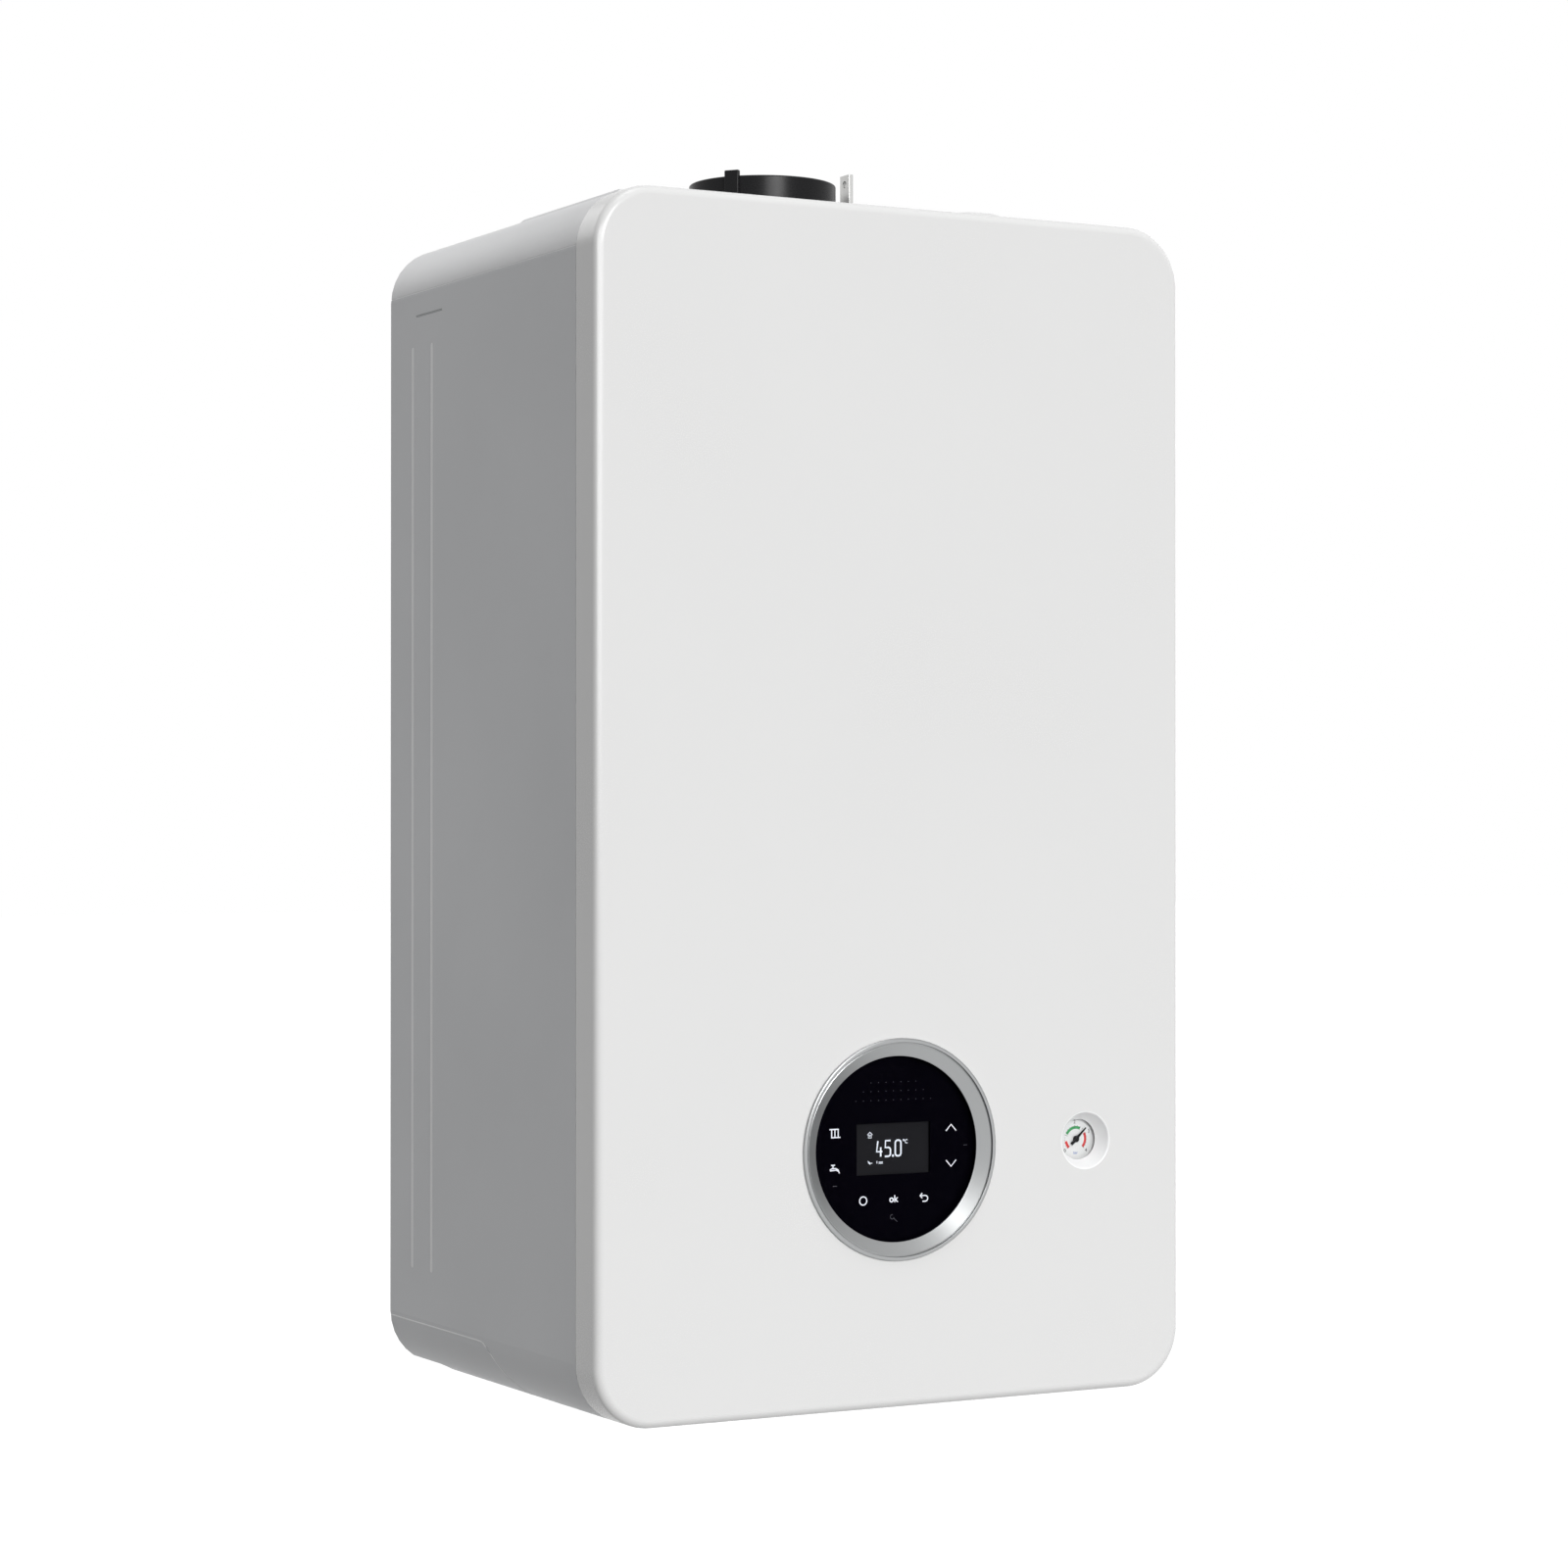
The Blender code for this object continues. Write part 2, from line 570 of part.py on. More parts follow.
def block(name, low, high, finish=None, edge=0.0, edge_axis=None):
    """A box between two corners; its edges, or only those along one axis, can be rounded."""
    shape = bmesh.new()
    bmesh.ops.create_cube(shape, size=1)
    size = [b - a for a, b in zip(low, high)]
    bmesh.ops.scale(shape, vec=size, verts=shape.verts)
    if edge:
        index = "XYZ".find(edge_axis) if edge_axis else -1
        edges = [
            e
            for e in shape.edges
            if index < 0 or abs(e.verts[0].co[index] - e.verts[1].co[index]) > MERGE_DISTANCE
        ]
        bmesh.ops.bevel(
            shape,
            geom=edges,
            offset=edge,
            offset_type="OFFSET",
            segments=EDGE_SEGMENTS,
            profile=0.5,
            affect="EDGES",
            clamp_overlap=True,
        )
    centre = [(a + b) / 2 for a, b in zip(low, high)]
    return place_object(name, mesh_from(name, shape), finish, centre)


def cylinder(name, radius, low, high, across, axis, finish=None, sides=ROUND_SIDES, top_radius=None):
    """A cylinder or cone along an axis from low to high; across is its place in the other two axes."""
    shape = bmesh.new()
    bmesh.ops.create_cone(
        shape,
        cap_ends=True,
        segments=sides,
        radius1=radius,
        radius2=radius if top_radius is None else top_radius,
        depth=high - low,
    )
    centre = list(across)
    centre.insert("XYZ".find(axis), (low + high) / 2)
    obj = place_object(name, mesh_from(name, shape), finish, centre, AXIS_TURNS[axis])
    shade_round(obj)
    return obj


def turned(name, profile, place, axis, finish=None, sides=ROUND_SIDES):
    """A turned shape: the profile's points are radius and distance along the axis from the place."""
    points = list(profile)
    area = 0.0
    for (r1, h1), (r2, h2) in zip(points, points[1:] + points[:1]):
        area += r1 * h2 - r2 * h1
    if area > 0:
        points.reverse()
    shape = bmesh.new()
    verts = [shape.verts.new((r, 0.0, h)) for r, h in points]
    for a, b in zip(verts, verts[1:]):
        shape.edges.new((a, b))
    if points[0][0] > 0 or points[-1][0] > 0:
        shape.edges.new((verts[-1], verts[0]))
    obj = place_object(name, mesh_from(name, shape), finish, place, AXIS_TURNS[axis])
    screw = obj.modifiers.new("turn", "SCREW")
    screw.steps = sides
    screw.render_steps = sides
    screw.use_merge_vertices = True
    screw.merge_threshold = MERGE_DISTANCE
    screw.use_smooth_shade = False
    return obj


def turned_back(points):
    """A turned profile's two ends meet the axis, so the loop closes there by itself."""
    return [(0.0, points[0][1])] + list(points) + [(0.0, points[-1][1])]


def solid_mesh(curve_object):
    """The closed mesh of a curve object, with its caps welded."""
    graph = bpy.context.evaluated_depsgraph_get()
    mesh = bpy.data.meshes.new_from_object(curve_object.evaluated_get(graph))
    shape = bmesh.new()
    shape.from_mesh(mesh)
    bmesh.ops.remove_doubles(shape, verts=shape.verts, dist=MERGE_DISTANCE)
    shape.to_mesh(mesh)
    shape.free()
    return mesh


def outlined(name, points, low, high, axis, finish=None):
    """A flat outline extruded along an axis from low to high.

    Its points are (x, y) along Z, (x, z) along Y and (y, z) along X.
    """
    curve = bpy.data.curves.new(name + "_outline", "CURVE")
    curve.dimensions = "2D"
    curve.fill_mode = "BOTH"
    curve.extrude = (high - low) / 2
    spline = curve.splines.new("POLY")
    spline.points.add(len(points) - 1)
    for point, (u, v) in zip(spline.points, points):
        point.co = (u, v, 0.0, 1.0)
    spline.use_cyclic_u = True
    guide = bpy.data.objects.new(name + "_outline", curve)
    CUTTERS.objects.link(guide)
    mesh = solid_mesh(guide)
    bpy.data.objects.remove(guide, do_unlink=True)
    mesh.transform(OUTLINE_TURNS[axis])
    mesh.materials.clear()
    place = [0.0, 0.0, 0.0]
    place["XYZ".find(axis)] = (low + high) / 2
    return place_object(name, mesh, finish, place)


def bent_route(points, bend):
    """Points along a route of straight legs whose corners are rounded over the bend's length."""
    knots = [Vector(p) for p in points]
    route = [knots[0]]
    for before, corner, after in zip(knots, knots[1:], knots[2:]):
        near = before - corner
        far = after - corner
        start = corner + near.normalized() * min(bend, near.length / 2)
        end = corner + far.normalized() * min(bend, far.length / 2)
        for step in range(BEND_STEPS + 1):
            t = step / BEND_STEPS
            route.append(start.lerp(corner, t).lerp(corner.lerp(end, t), t))
    route.append(knots[-1])
    return route


def tube(name, points, radius, finish, wall=0.0):
    """A bent tube along a route; with a wall it has a bore from end to end, and without one it is solid."""
    curve = bpy.data.curves.new(name, "CURVE")
    curve.dimensions = "3D"
    curve.bevel_depth = radius
    curve.bevel_resolution = PIPE_RESOLUTION if wall else HOSE_RESOLUTION
    curve.use_fill_caps = not wall
    route = bent_route(points, radius * BEND_SHARE)
    spline = curve.splines.new("POLY")
    spline.points.add(len(route) - 1)
    for point, place in zip(spline.points, route):
        point.co = (*place, 1.0)
    guide = bpy.data.objects.new(name + "_route", curve)
    CUTTERS.objects.link(guide)
    mesh = solid_mesh(guide)
    bpy.data.objects.remove(guide, do_unlink=True)
    mesh.materials.clear()
    obj = place_object(name, mesh, finish)
    if wall:
        skin = obj.modifiers.new("wall", "SOLIDIFY")
        skin.thickness = wall
        skin.offset = -1
        skin.use_even_offset = True
    shade_round(obj)
    return obj


def combine(target, tool, operation):
    modifier = target.modifiers.new(tool.name, "BOOLEAN")
    modifier.operation = operation
    modifier.solver = "EXACT"
    modifier.object = tool
    return target


def cut(target, *tools):
    for tool in tools:
        combine(target, tool, "DIFFERENCE")


def add(target, *tools):
    for tool in tools:
        combine(target, tool, "UNION")


def case_bar(name, inset, front, back, finish=None, edge=0.0):
    """A solid bar with the case's rounded outline drawn in by inset, between two depths."""
    shape = bmesh.new()
    bmesh.ops.create_cube(shape, size=1)
    size = (CASE_WIDTH - 2 * inset, back - front, CASE_HEIGHT - 2 * inset)
    bmesh.ops.scale(shape, vec=size, verts=shape.verts)
    long_edges = [e for e in shape.edges if abs(e.verts[0].co.y - e.verts[1].co.y) > MERGE_DISTANCE]
    bmesh.ops.bevel(
        shape,
        geom=long_edges,
        offset=CORNER_RADIUS - inset,
        offset_type="OFFSET",
        segments=CORNER_SEGMENTS,
        profile=0.5,
        affect="EDGES",
        clamp_overlap=False,
    )
    if edge:
        near = min(v.co.y for v in shape.verts) + MERGE_DISTANCE
        front_edges = [e for e in shape.edges if all(v.co.y < near for v in e.verts)]
        bmesh.ops.bevel(
            shape,
            geom=front_edges,
            offset=edge,
            offset_type="OFFSET",
            segments=EDGE_SEGMENTS,
            profile=0.5,
            affect="EDGES",
            clamp_overlap=False,
        )
    centre = (0.0, (front + back) / 2, CASE_HEIGHT / 2)
    return place_object(name, mesh_from(name, shape), finish, centre)


def case_sheet(name, finish):
    """The case's outer sheet behind the front cover, with the flange that the cover closes on."""
    sheet = case_bar(name, 0.0, PANEL_FRONT, 0.0, finish)
    cut(
        sheet,
        case_bar(name + "_hollow", SHEET, PANEL_FRONT + SHEET, OVERRUN),
        case_bar(name + "_mouth", FLANGE_WIDTH, PANEL_FRONT - OVERRUN, PANEL_FRONT + SHEET + OVERRUN),
    )
    return sheet


def trim_outline(grow):
    """Side outline of a lower corner trim, as (y, z) points, grown by the seam for the panel's cut."""
    low = (-TRIM_LENGTH - TRIM_SLANT - OVERRUN - grow, -OVERRUN)
    corner = (-TRIM_LENGTH - grow, TRIM_HEIGHT + grow)
    along = TRIM_CORNER / math.dist(low, corner)
    start = (corner[0] + (low[0] - corner[0]) * along, corner[1] + (low[1] - corner[1]) * along)
    end = (corner[0] + TRIM_CORNER, corner[1])
    bend = []
    for step in range(EDGE_SEGMENTS + 1):
        share = step / EDGE_SEGMENTS
        weights = ((1 - share) ** 2, 2 * share * (1 - share), share**2)
        y = sum(weight * point[0] for weight, point in zip(weights, (start, corner, end)))
        z = sum(weight * point[1] for weight, point in zip(weights, (start, corner, end)))
        bend.append((y, z))
    return [(OVERRUN, -OVERRUN), low] + bend + [(OVERRUN, TRIM_HEIGHT + grow)]


def beside(side, near, far):
    """The low and high x of a span that lies near to far from the centre, on the left or the right."""
    return sorted((side * near, side * far))


def side_panel(name, side):
    panel = case_sheet(name, GREY_PAINT)
    centre_side = sorted((side * (HALF_WIDTH - UNDER_WIDTH), -side * FAR))
    cut(
        panel,
        block(name + "_half", (centre_side[0], -FAR, -FAR), (centre_side[1], FAR, FAR)),
        block(name + "_top", (-FAR, -FAR, SHOULDER_Z), (FAR, FAR, FAR)),
        outlined(name + "_corner", trim_outline(SEAM), *beside(side, 0.0, FAR), "X"),
    )
    for number, place in enumerate(GROOVE_PLACES, 1):
        groove_x = side * (HALF_WIDTH + GROOVE_RADIUS - GROOVE_DEPTH)
        length = GROOVE_HIGH - GROOVE_LOW
        arc = [
            (
                GROOVE_RADIUS * math.cos(math.radians(90) * step / ROUND_END_STEPS),
                GROOVE_RADIUS * math.sin(math.radians(90) * step / ROUND_END_STEPS),
            )
            for step in range(ROUND_END_STEPS + 1)
        ]
        lower = [(r, GROOVE_RADIUS - h) for r, h in reversed(arc)]
        upper = [(r, length - GROOVE_RADIUS + h) for r, h in arc]
        profile = [(0.0, lower[0][1])] + lower[1:] + upper[:-1] + [(0.0, upper[-1][1])]
        groove_place = (groove_x, -place, GROOVE_LOW)
        cut(panel, turned(f"{name}_groove_{number}", profile, groove_place, "Z", sides=SMALL_SIDES))
    slot_x = beside(side, HALF_WIDTH - SHEET - OVERRUN, HALF_WIDTH + OVERRUN)
    slot_top = CASE_HEIGHT - SLOT_DROP
    cut(
        panel,
        block(
            name + "_slot",
            (slot_x[0], -SLOT_FROM_WALL - SLOT_LENGTH, slot_top - SLOT_HEIGHT),
            (slot_x[1], -SLOT_FROM_WALL, slot_top),
        ),
    )
    return panel


def corner_trim(name, side):
    """The separate trim that closes a lower rear corner, with its raised end at the wall."""
    trim = case_sheet(name, GREY_PAINT)
    inner = HALF_WIDTH - UNDER_WIDTH
    side_outline = outlined(name + "_side", trim_outline(0.0), *beside(side, inner, FAR), "X")
    combine(trim, side_outline, "INTERSECT")
    rise = [
        (OVERRUN, -OVERRUN),
        (OVERRUN, TRIM_RISE),
        (-TRIM_RISE_LENGTH, TRIM_RISE),
        (-TRIM_RISE_LENGTH - TRIM_RISE_RAMP, 0.0),
        (-TRIM_RISE_LENGTH - TRIM_RISE_RAMP, -OVERRUN),
    ]
    cut(trim, outlined(name + "_rise", rise, *beside(side, inner - OVERRUN, FAR), "X"))
    return trim


def top_cover():
    cover = case_sheet("top_cover", WHITE_PLASTIC)
    cut(cover, block("top_cover_below", (-FAR, -FAR, -FAR), (FAR, FAR, SHOULDER_Z + SEAM)))
    step_low = (-PLATEAU_HALF_WIDTH, -PLATEAU_FRONT, CASE_HEIGHT - SHEET / 2)
    step_high = (PLATEAU_HALF_WIDTH, -PLATEAU_BACK, CASE_HEIGHT + PLATEAU_HEIGHT)
    plateau = block("top_cover_plateau", step_low, step_high)
    top = [e for e in plateau.data.edges if all(plateau.data.vertices[i].co.z > 0 for i in e.vertices)]
    shape = bmesh.new()
    shape.from_mesh(plateau.data)
    shape.edges.ensure_lookup_table()
    bmesh.ops.bevel(
        shape,
        geom=[shape.edges[e.index] for e in top],
        offset=PLATEAU_CHAMFER,
        offset_type="OFFSET",
        segments=1,
        affect="EDGES",
    )
    shape.to_mesh(plateau.data)
    shape.free()
    add(cover, plateau)
    inset = SHEET + PLATEAU_CHAMFER
    cut(
        cover,
        block(
            "top_cover_plateau_hollow",
            (-PLATEAU_HALF_WIDTH + inset, -PLATEAU_FRONT + inset, CASE_HEIGHT - SHEET - OVERRUN),
            (PLATEAU_HALF_WIDTH - inset, -PLATEAU_BACK - inset, CASE_HEIGHT + PLATEAU_HEIGHT - SHEET),
        ),
        cylinder(
            "top_cover_flue_hole",
            COLLAR_RADIUS + ROUND_CLEARANCE,
            CASE_HEIGHT - SHEET - OVERRUN,
            CASE_HEIGHT + OVERRUN,
            (0.0, FLUE_Y),
            "Z",
            sides=VISIBLE_SIDES,
        ),
        cylinder(
            "top_cover_plug_hole",
            PLUG_STEM_RADIUS + ROUND_CLEARANCE,
            CASE_HEIGHT - SHEET - OVERRUN,
            CASE_HEIGHT + OVERRUN,
            (PLUG_X, PLUG_Y),
            "Z",
        ),
    )


def case_parts():
    side_panel("left_side_panel", -1)
    side_panel("right_side_panel", 1)
    corner_trim("left_corner_trim", -1)
    corner_trim("right_corner_trim", 1)
    top_cover()
    front_cover()
    rear_panel()
    wall_bracket()
    bottom_plate()
    exchanger_shelf()


def front_cover():
    cover = case_bar("front_cover", 0.0, -CASE_DEPTH, SEAM_Y, WHITE_PAINT, FRONT_EDGE_RADIUS)
    well_place = (GAUGE_X, -CASE_DEPTH, DISPLAY_HEIGHT)
    well_outer = [
        (WELL_RADIUS + WELL_RIM + WELL_WALL, SHEET / 2),
        (WELL_FLOOR_RADIUS + WELL_WALL, WELL_DEPTH),
    ]
    well_bore = [
        (WELL_RADIUS + WELL_RIM, -OVERRUN),
        (WELL_RADIUS + WELL_RIM, 0.0),
        (WELL_RADIUS + WELL_RIM_INNER, WELL_RIM_INNER),
        (WELL_RADIUS, WELL_RIM),
        (WELL_FLOOR_RADIUS, WELL_DEPTH),
        (WELL_FLOOR_RADIUS, WELL_DEPTH + OVERRUN),
    ]
    cut(
        cover,
        case_bar(
            "front_cover_hollow",
            SHEET,
            -CASE_DEPTH + SHEET,
            SEAM_Y + OVERRUN,
            edge=FRONT_EDGE_RADIUS - SHEET,
        ),
        cylinder(
            "front_cover_display_hole",
            RING_SLEEVE_RADIUS + ROUND_CLEARANCE,
            -CASE_DEPTH - OVERRUN,
            -CASE_DEPTH + SHEET + OVERRUN,
            (0.0, DISPLAY_HEIGHT),
            "Y",
            sides=VISIBLE_SIDES,
        ),
    )
    add(cover, turned("front_cover_well", turned_back(well_outer), well_place, "Y", sides=LARGE_SIDES))
    cut(cover, turned("front_cover_well_bore", turned_back(well_bore), well_place, "Y", sides=LARGE_SIDES))


def rear_panel():
    """A tray against the wall: a web that hangs on the wall hooks, with flanges to both sides of it."""
    inset = SHEET + CLEARANCE
    panel = case_bar("rear_panel", inset, -REAR_FLANGE, 0.0, GALVANISED)
    floor = BOTTOM_PLATE_HEIGHT + SHEET + CLEARANCE
    cut(
        panel,
        case_bar("rear_panel_front_recess", inset + REAR_SHEET, -REAR_FLANGE - OVERRUN, WEB_FRONT),
        case_bar("rear_panel_back_recess", inset + REAR_SHEET, -REAR_RECESS, OVERRUN),
        block("rear_panel_foot", (-FAR, -FAR, -FAR), (FAR, FAR, floor)),
    )
    slot_top = BRACKET_HEIGHT - HOOK_DROP + CLEARANCE
    for number, side in enumerate((-1, 1), 1):
        middle = side * HOOK_SPACING / 2
        half = HOOK_WIDTH / 2 + CLEARANCE
        cut(
            panel,
            block(
                f"rear_panel_hook_slot_{number}",
                (middle - half, WEB_FRONT - OVERRUN, slot_top - HOOK_SLOT_HEIGHT),
                (middle + half, -REAR_RECESS + OVERRUN, slot_top),
            ),
        )


def wall_bracket():
    """The plate screwed to the wall, with two upturned hooks that the rear panel hangs on."""
    low = BRACKET_HEIGHT - BRACKET_WIDTH / 2
    high = BRACKET_HEIGHT + BRACKET_WIDTH / 2
    plate = block(
        "wall_bracket",
        (-BRACKET_LENGTH / 2, -BRACKET_SHEET, low),
        (BRACKET_LENGTH / 2, 0.0, high),
        GALVANISED,
    )
    tab_top = BRACKET_HEIGHT - HOOK_DROP
    tab_low = tab_top - BRACKET_SHEET
    tip_back = WEB_FRONT - CLEARANCE
    tip_front = tip_back - BRACKET_SHEET
    hook_outline = [
        (-BRACKET_SHEET / 2, tab_low),
        (tip_front, tab_low),
        (tip_front, tab_top + HOOK_RISE),
        (tip_back, tab_top + HOOK_RISE),
        (tip_back, tab_top),
        (-BRACKET_SHEET / 2, tab_top),
    ]
    for number, side in enumerate((-1, 1), 1):
        middle = side * HOOK_SPACING / 2
        hook = outlined(
            f"wall_bracket_hook_{number}",
            hook_outline,
            middle - HOOK_WIDTH / 2,
            middle + HOOK_WIDTH / 2,
            "X",
        )
        add(plate, hook)
    for number, side in enumerate((-1, 1), 1):
        cut(
            plate,
            cylinder(
                f"wall_bracket_hole_{number}",
                BRACKET_HOLE_RADIUS,
                -BRACKET_SHEET - OVERRUN,
                OVERRUN,
                (side * BRACKET_HOLE_SPACING / 2, BRACKET_HEIGHT),
                "Y",
            ),
        )


def hole_down(name, radius, x, y, low, high, sides=SMALL_SIDES):
    """A cutter for a round hole through a level sheet."""
    return cylinder(name, radius + ROUND_CLEARANCE, low - OVERRUN, high + OVERRUN, (x, y), "Z", sides=sides)


def bottom_plate():
    low = BOTTOM_PLATE_HEIGHT
    high = BOTTOM_PLATE_HEIGHT + SHEET
    plate = block(
        "bottom_plate",
        (-INNER_HALF, PANEL_FRONT + SHEET + CLEARANCE, low),
        (INNER_HALF, 0.0, high),
        GALVANISED,
    )
    rod_y, rod_z = HINGE_PLACE
    for name, side, edge in (("left", -1, BOX_LEFT), ("right", 1, BOX_RIGHT)):
        ear_x = beside(side, edge + HINGE_EAR_GAP, edge + HINGE_EAR_GAP + HINGE_EAR_SHEET)
        add(
            plate,
            block(
                f"bottom_plate_{name}_ear",
                (ear_x[0], rod_y - HINGE_INSET, low),
                (ear_x[1], rod_y + HINGE_EAR_REACH, rod_z + HINGE_EAR_MARGIN),
            ),
        )
        cut(
            plate,
            cylinder(
                f"bottom_plate_{name}_ear_hole",
                HINGE_ROD_RADIUS + CLEARANCE,
                ear_x[0] - SHORT_OVERRUN,
                ear_x[1] + SHORT_OVERRUN,
                (rod_y, rod_z),
                "X",
                sides=SMALL_SIDES,
            ),
        )
    holes = (
        ("flow", HEATING_PIPE_RADIUS, FLOW_X, PIPE_Y),
        ("hot", WATER_PIPE_RADIUS, HOT_X, PIPE_Y),
        ("gas", GAS_PIPE_RADIUS, GAS_X, PIPE_Y),
        ("cold", WATER_PIPE_RADIUS, COLD_X, PIPE_Y),
        ("return", HEATING_PIPE_RADIUS, RETURN_X, PIPE_Y),
        ("filling", FILLING_STEM_RADIUS, FILLING_X, PIPE_Y),
        ("relief", RELIEF_DRAIN_RADIUS, RELIEF_X, RELIEF_DRAIN_Y),
        ("trap", TRAP_STUB_RADIUS, TRAP_X, TRAP_Y),
        ("gland", GLAND_RADIUS, GLAND_X, GLAND_Y),
    )
    for name, radius, x, y in holes:
        cut(plate, hole_down(f"bottom_plate_{name}_hole", radius, x, y, low, high))


def exchanger_shelf():
    """The shelf that carries the heat exchanger, with two arms that reach the rear panel."""
    low = SHELF_HEIGHT
    high = SHELF_HEIGHT + SHELF_SHEET
    half = INNER_HALF - REAR_SHEET - CLEARANCE
    shelf_low = (-half, -SHELF_FRONT, low)
    shelf_high = (half, WEB_FRONT - CLEARANCE, high)
    shelf = block("exchanger_shelf", shelf_low, shelf_high, GALVANISED)
    cut(
        shelf,
        block(
            "exchanger_shelf_recess",
            (-half + SHELF_ARM, -SHELF_RECESS_FRONT, low - OVERRUN),
            (half - SHELF_ARM, OVERRUN, high + OVERRUN),
        ),
        block(
            "exchanger_shelf_notch",
            (SHELF_NOTCH_LEFT, -SHELF_FRONT - OVERRUN, low - OVERRUN),
            (FAR, -SHELF_NOTCH_FRONT, high + OVERRUN),
        ),
        hole_down("exchanger_shelf_flow_hole", BOILER_PIPE_RADIUS, BOILER_FLOW_X, BOILER_PIPE_Y, low, high),
        hole_down(
            "exchanger_shelf_return_hole", BOILER_PIPE_RADIUS, BOILER_RETURN_X, BOILER_PIPE_Y, low, high
        ),
        hole_down("exchanger_shelf_trap_hole", TRAP_HOSE_RADIUS, TRAP_HOSE_X, TRAP_HOSE_Y, low, high),
    )


def display_parts():
    """The ring in the cover, and the glass, housing and display behind it on the control unit."""
    place = (0.0, -CASE_DEPTH, DISPLAY_HEIGHT)
    ring = [
        (RING_SLEEVE_RADIUS, -CLEARANCE),
        (RING_RADIUS, -CLEARANCE),
        (RING_RADIUS, -RING_LIP_EDGE),
        (RING_RADIUS - RING_LIP_FLAT, -RING_LIP),
        (RING_RADIUS - RING_LIP_WIDTH + RING_LIP_FLAT, -RING_LIP),
        (RING_RADIUS - RING_LIP_WIDTH, -RING_STEP),
        (RING_OPENING_RADIUS, RING_CONE_DEPTH - RING_CONE_WALL),
        (RING_OPENING_RADIUS, RING_CONE_DEPTH),
        (RING_SLEEVE_RADIUS - RING_WALL, RING_STEP + RING_WALL),
        (RING_SLEEVE_RADIUS - RING_WALL, RING_SLEEVE_DEPTH),
        (RING_SLEEVE_RADIUS, RING_SLEEVE_DEPTH),
    ]
    turned("display_ring", ring, place, "Y", SATIN_METAL, VISIBLE_SIDES)
    glass_front = -CASE_DEPTH + GLASS_DEPTH
    glass_back = glass_front + GLASS_THICKNESS
    middle = (0.0, DISPLAY_HEIGHT)
    glass = cylinder(
        "display_glass", GLASS_RADIUS, glass_front, glass_back, middle, "Y", BLACK_GLASS, VISIBLE_SIDES
    )
    front = glass_back + CLEARANCE
    flange = BOX_FRONT - CLEARANCE - front
    body = [
        (0.0, 0.0),
        (GLASS_RADIUS, 0.0),
        (GLASS_RADIUS, flange),
        (HOUSING_SLEEVE_RADIUS, flange),
        (HOUSING_SLEEVE_RADIUS, HOUSING_LENGTH),
        (0.0, HOUSING_LENGTH),
    ]
    housing_place = (0.0, front, DISPLAY_HEIGHT)
    housing = turned("display_housing", body, housing_place, "Y", BLACK_PLASTIC, VISIBLE_SIDES)
    half_width = WINDOW_WIDTH / 2
    half_height = WINDOW_HEIGHT / 2
    outer_width = half_width + LCD_BORDER
    outer_height = half_height + LCD_BORDER
    pocket = front + HOUSING_FACE
    cut(
        housing,
        block(
            "display_housing_window",
            (-half_width, front - OVERRUN, DISPLAY_HEIGHT - half_height),
            (half_width, pocket + OVERRUN, DISPLAY_HEIGHT + half_height),
        ),
        block(
            "display_housing_pocket",
            (-outer_width, pocket, DISPLAY_HEIGHT - outer_height),
            (outer_width, front + HOUSING_LENGTH + OVERRUN, DISPLAY_HEIGHT + outer_height),
        ),
    )
    module_half = (outer_width - CLEARANCE, outer_height - CLEARANCE)
    lcd = block(
        "lcd_module",
        (-module_half[0], pocket + CLEARANCE, DISPLAY_HEIGHT - module_half[1]),
        (module_half[0], pocket + CLEARANCE + LCD_THICKNESS, DISPLAY_HEIGHT + module_half[1]),
        LCD_GREY,
    )
    return [glass, housing, lcd]


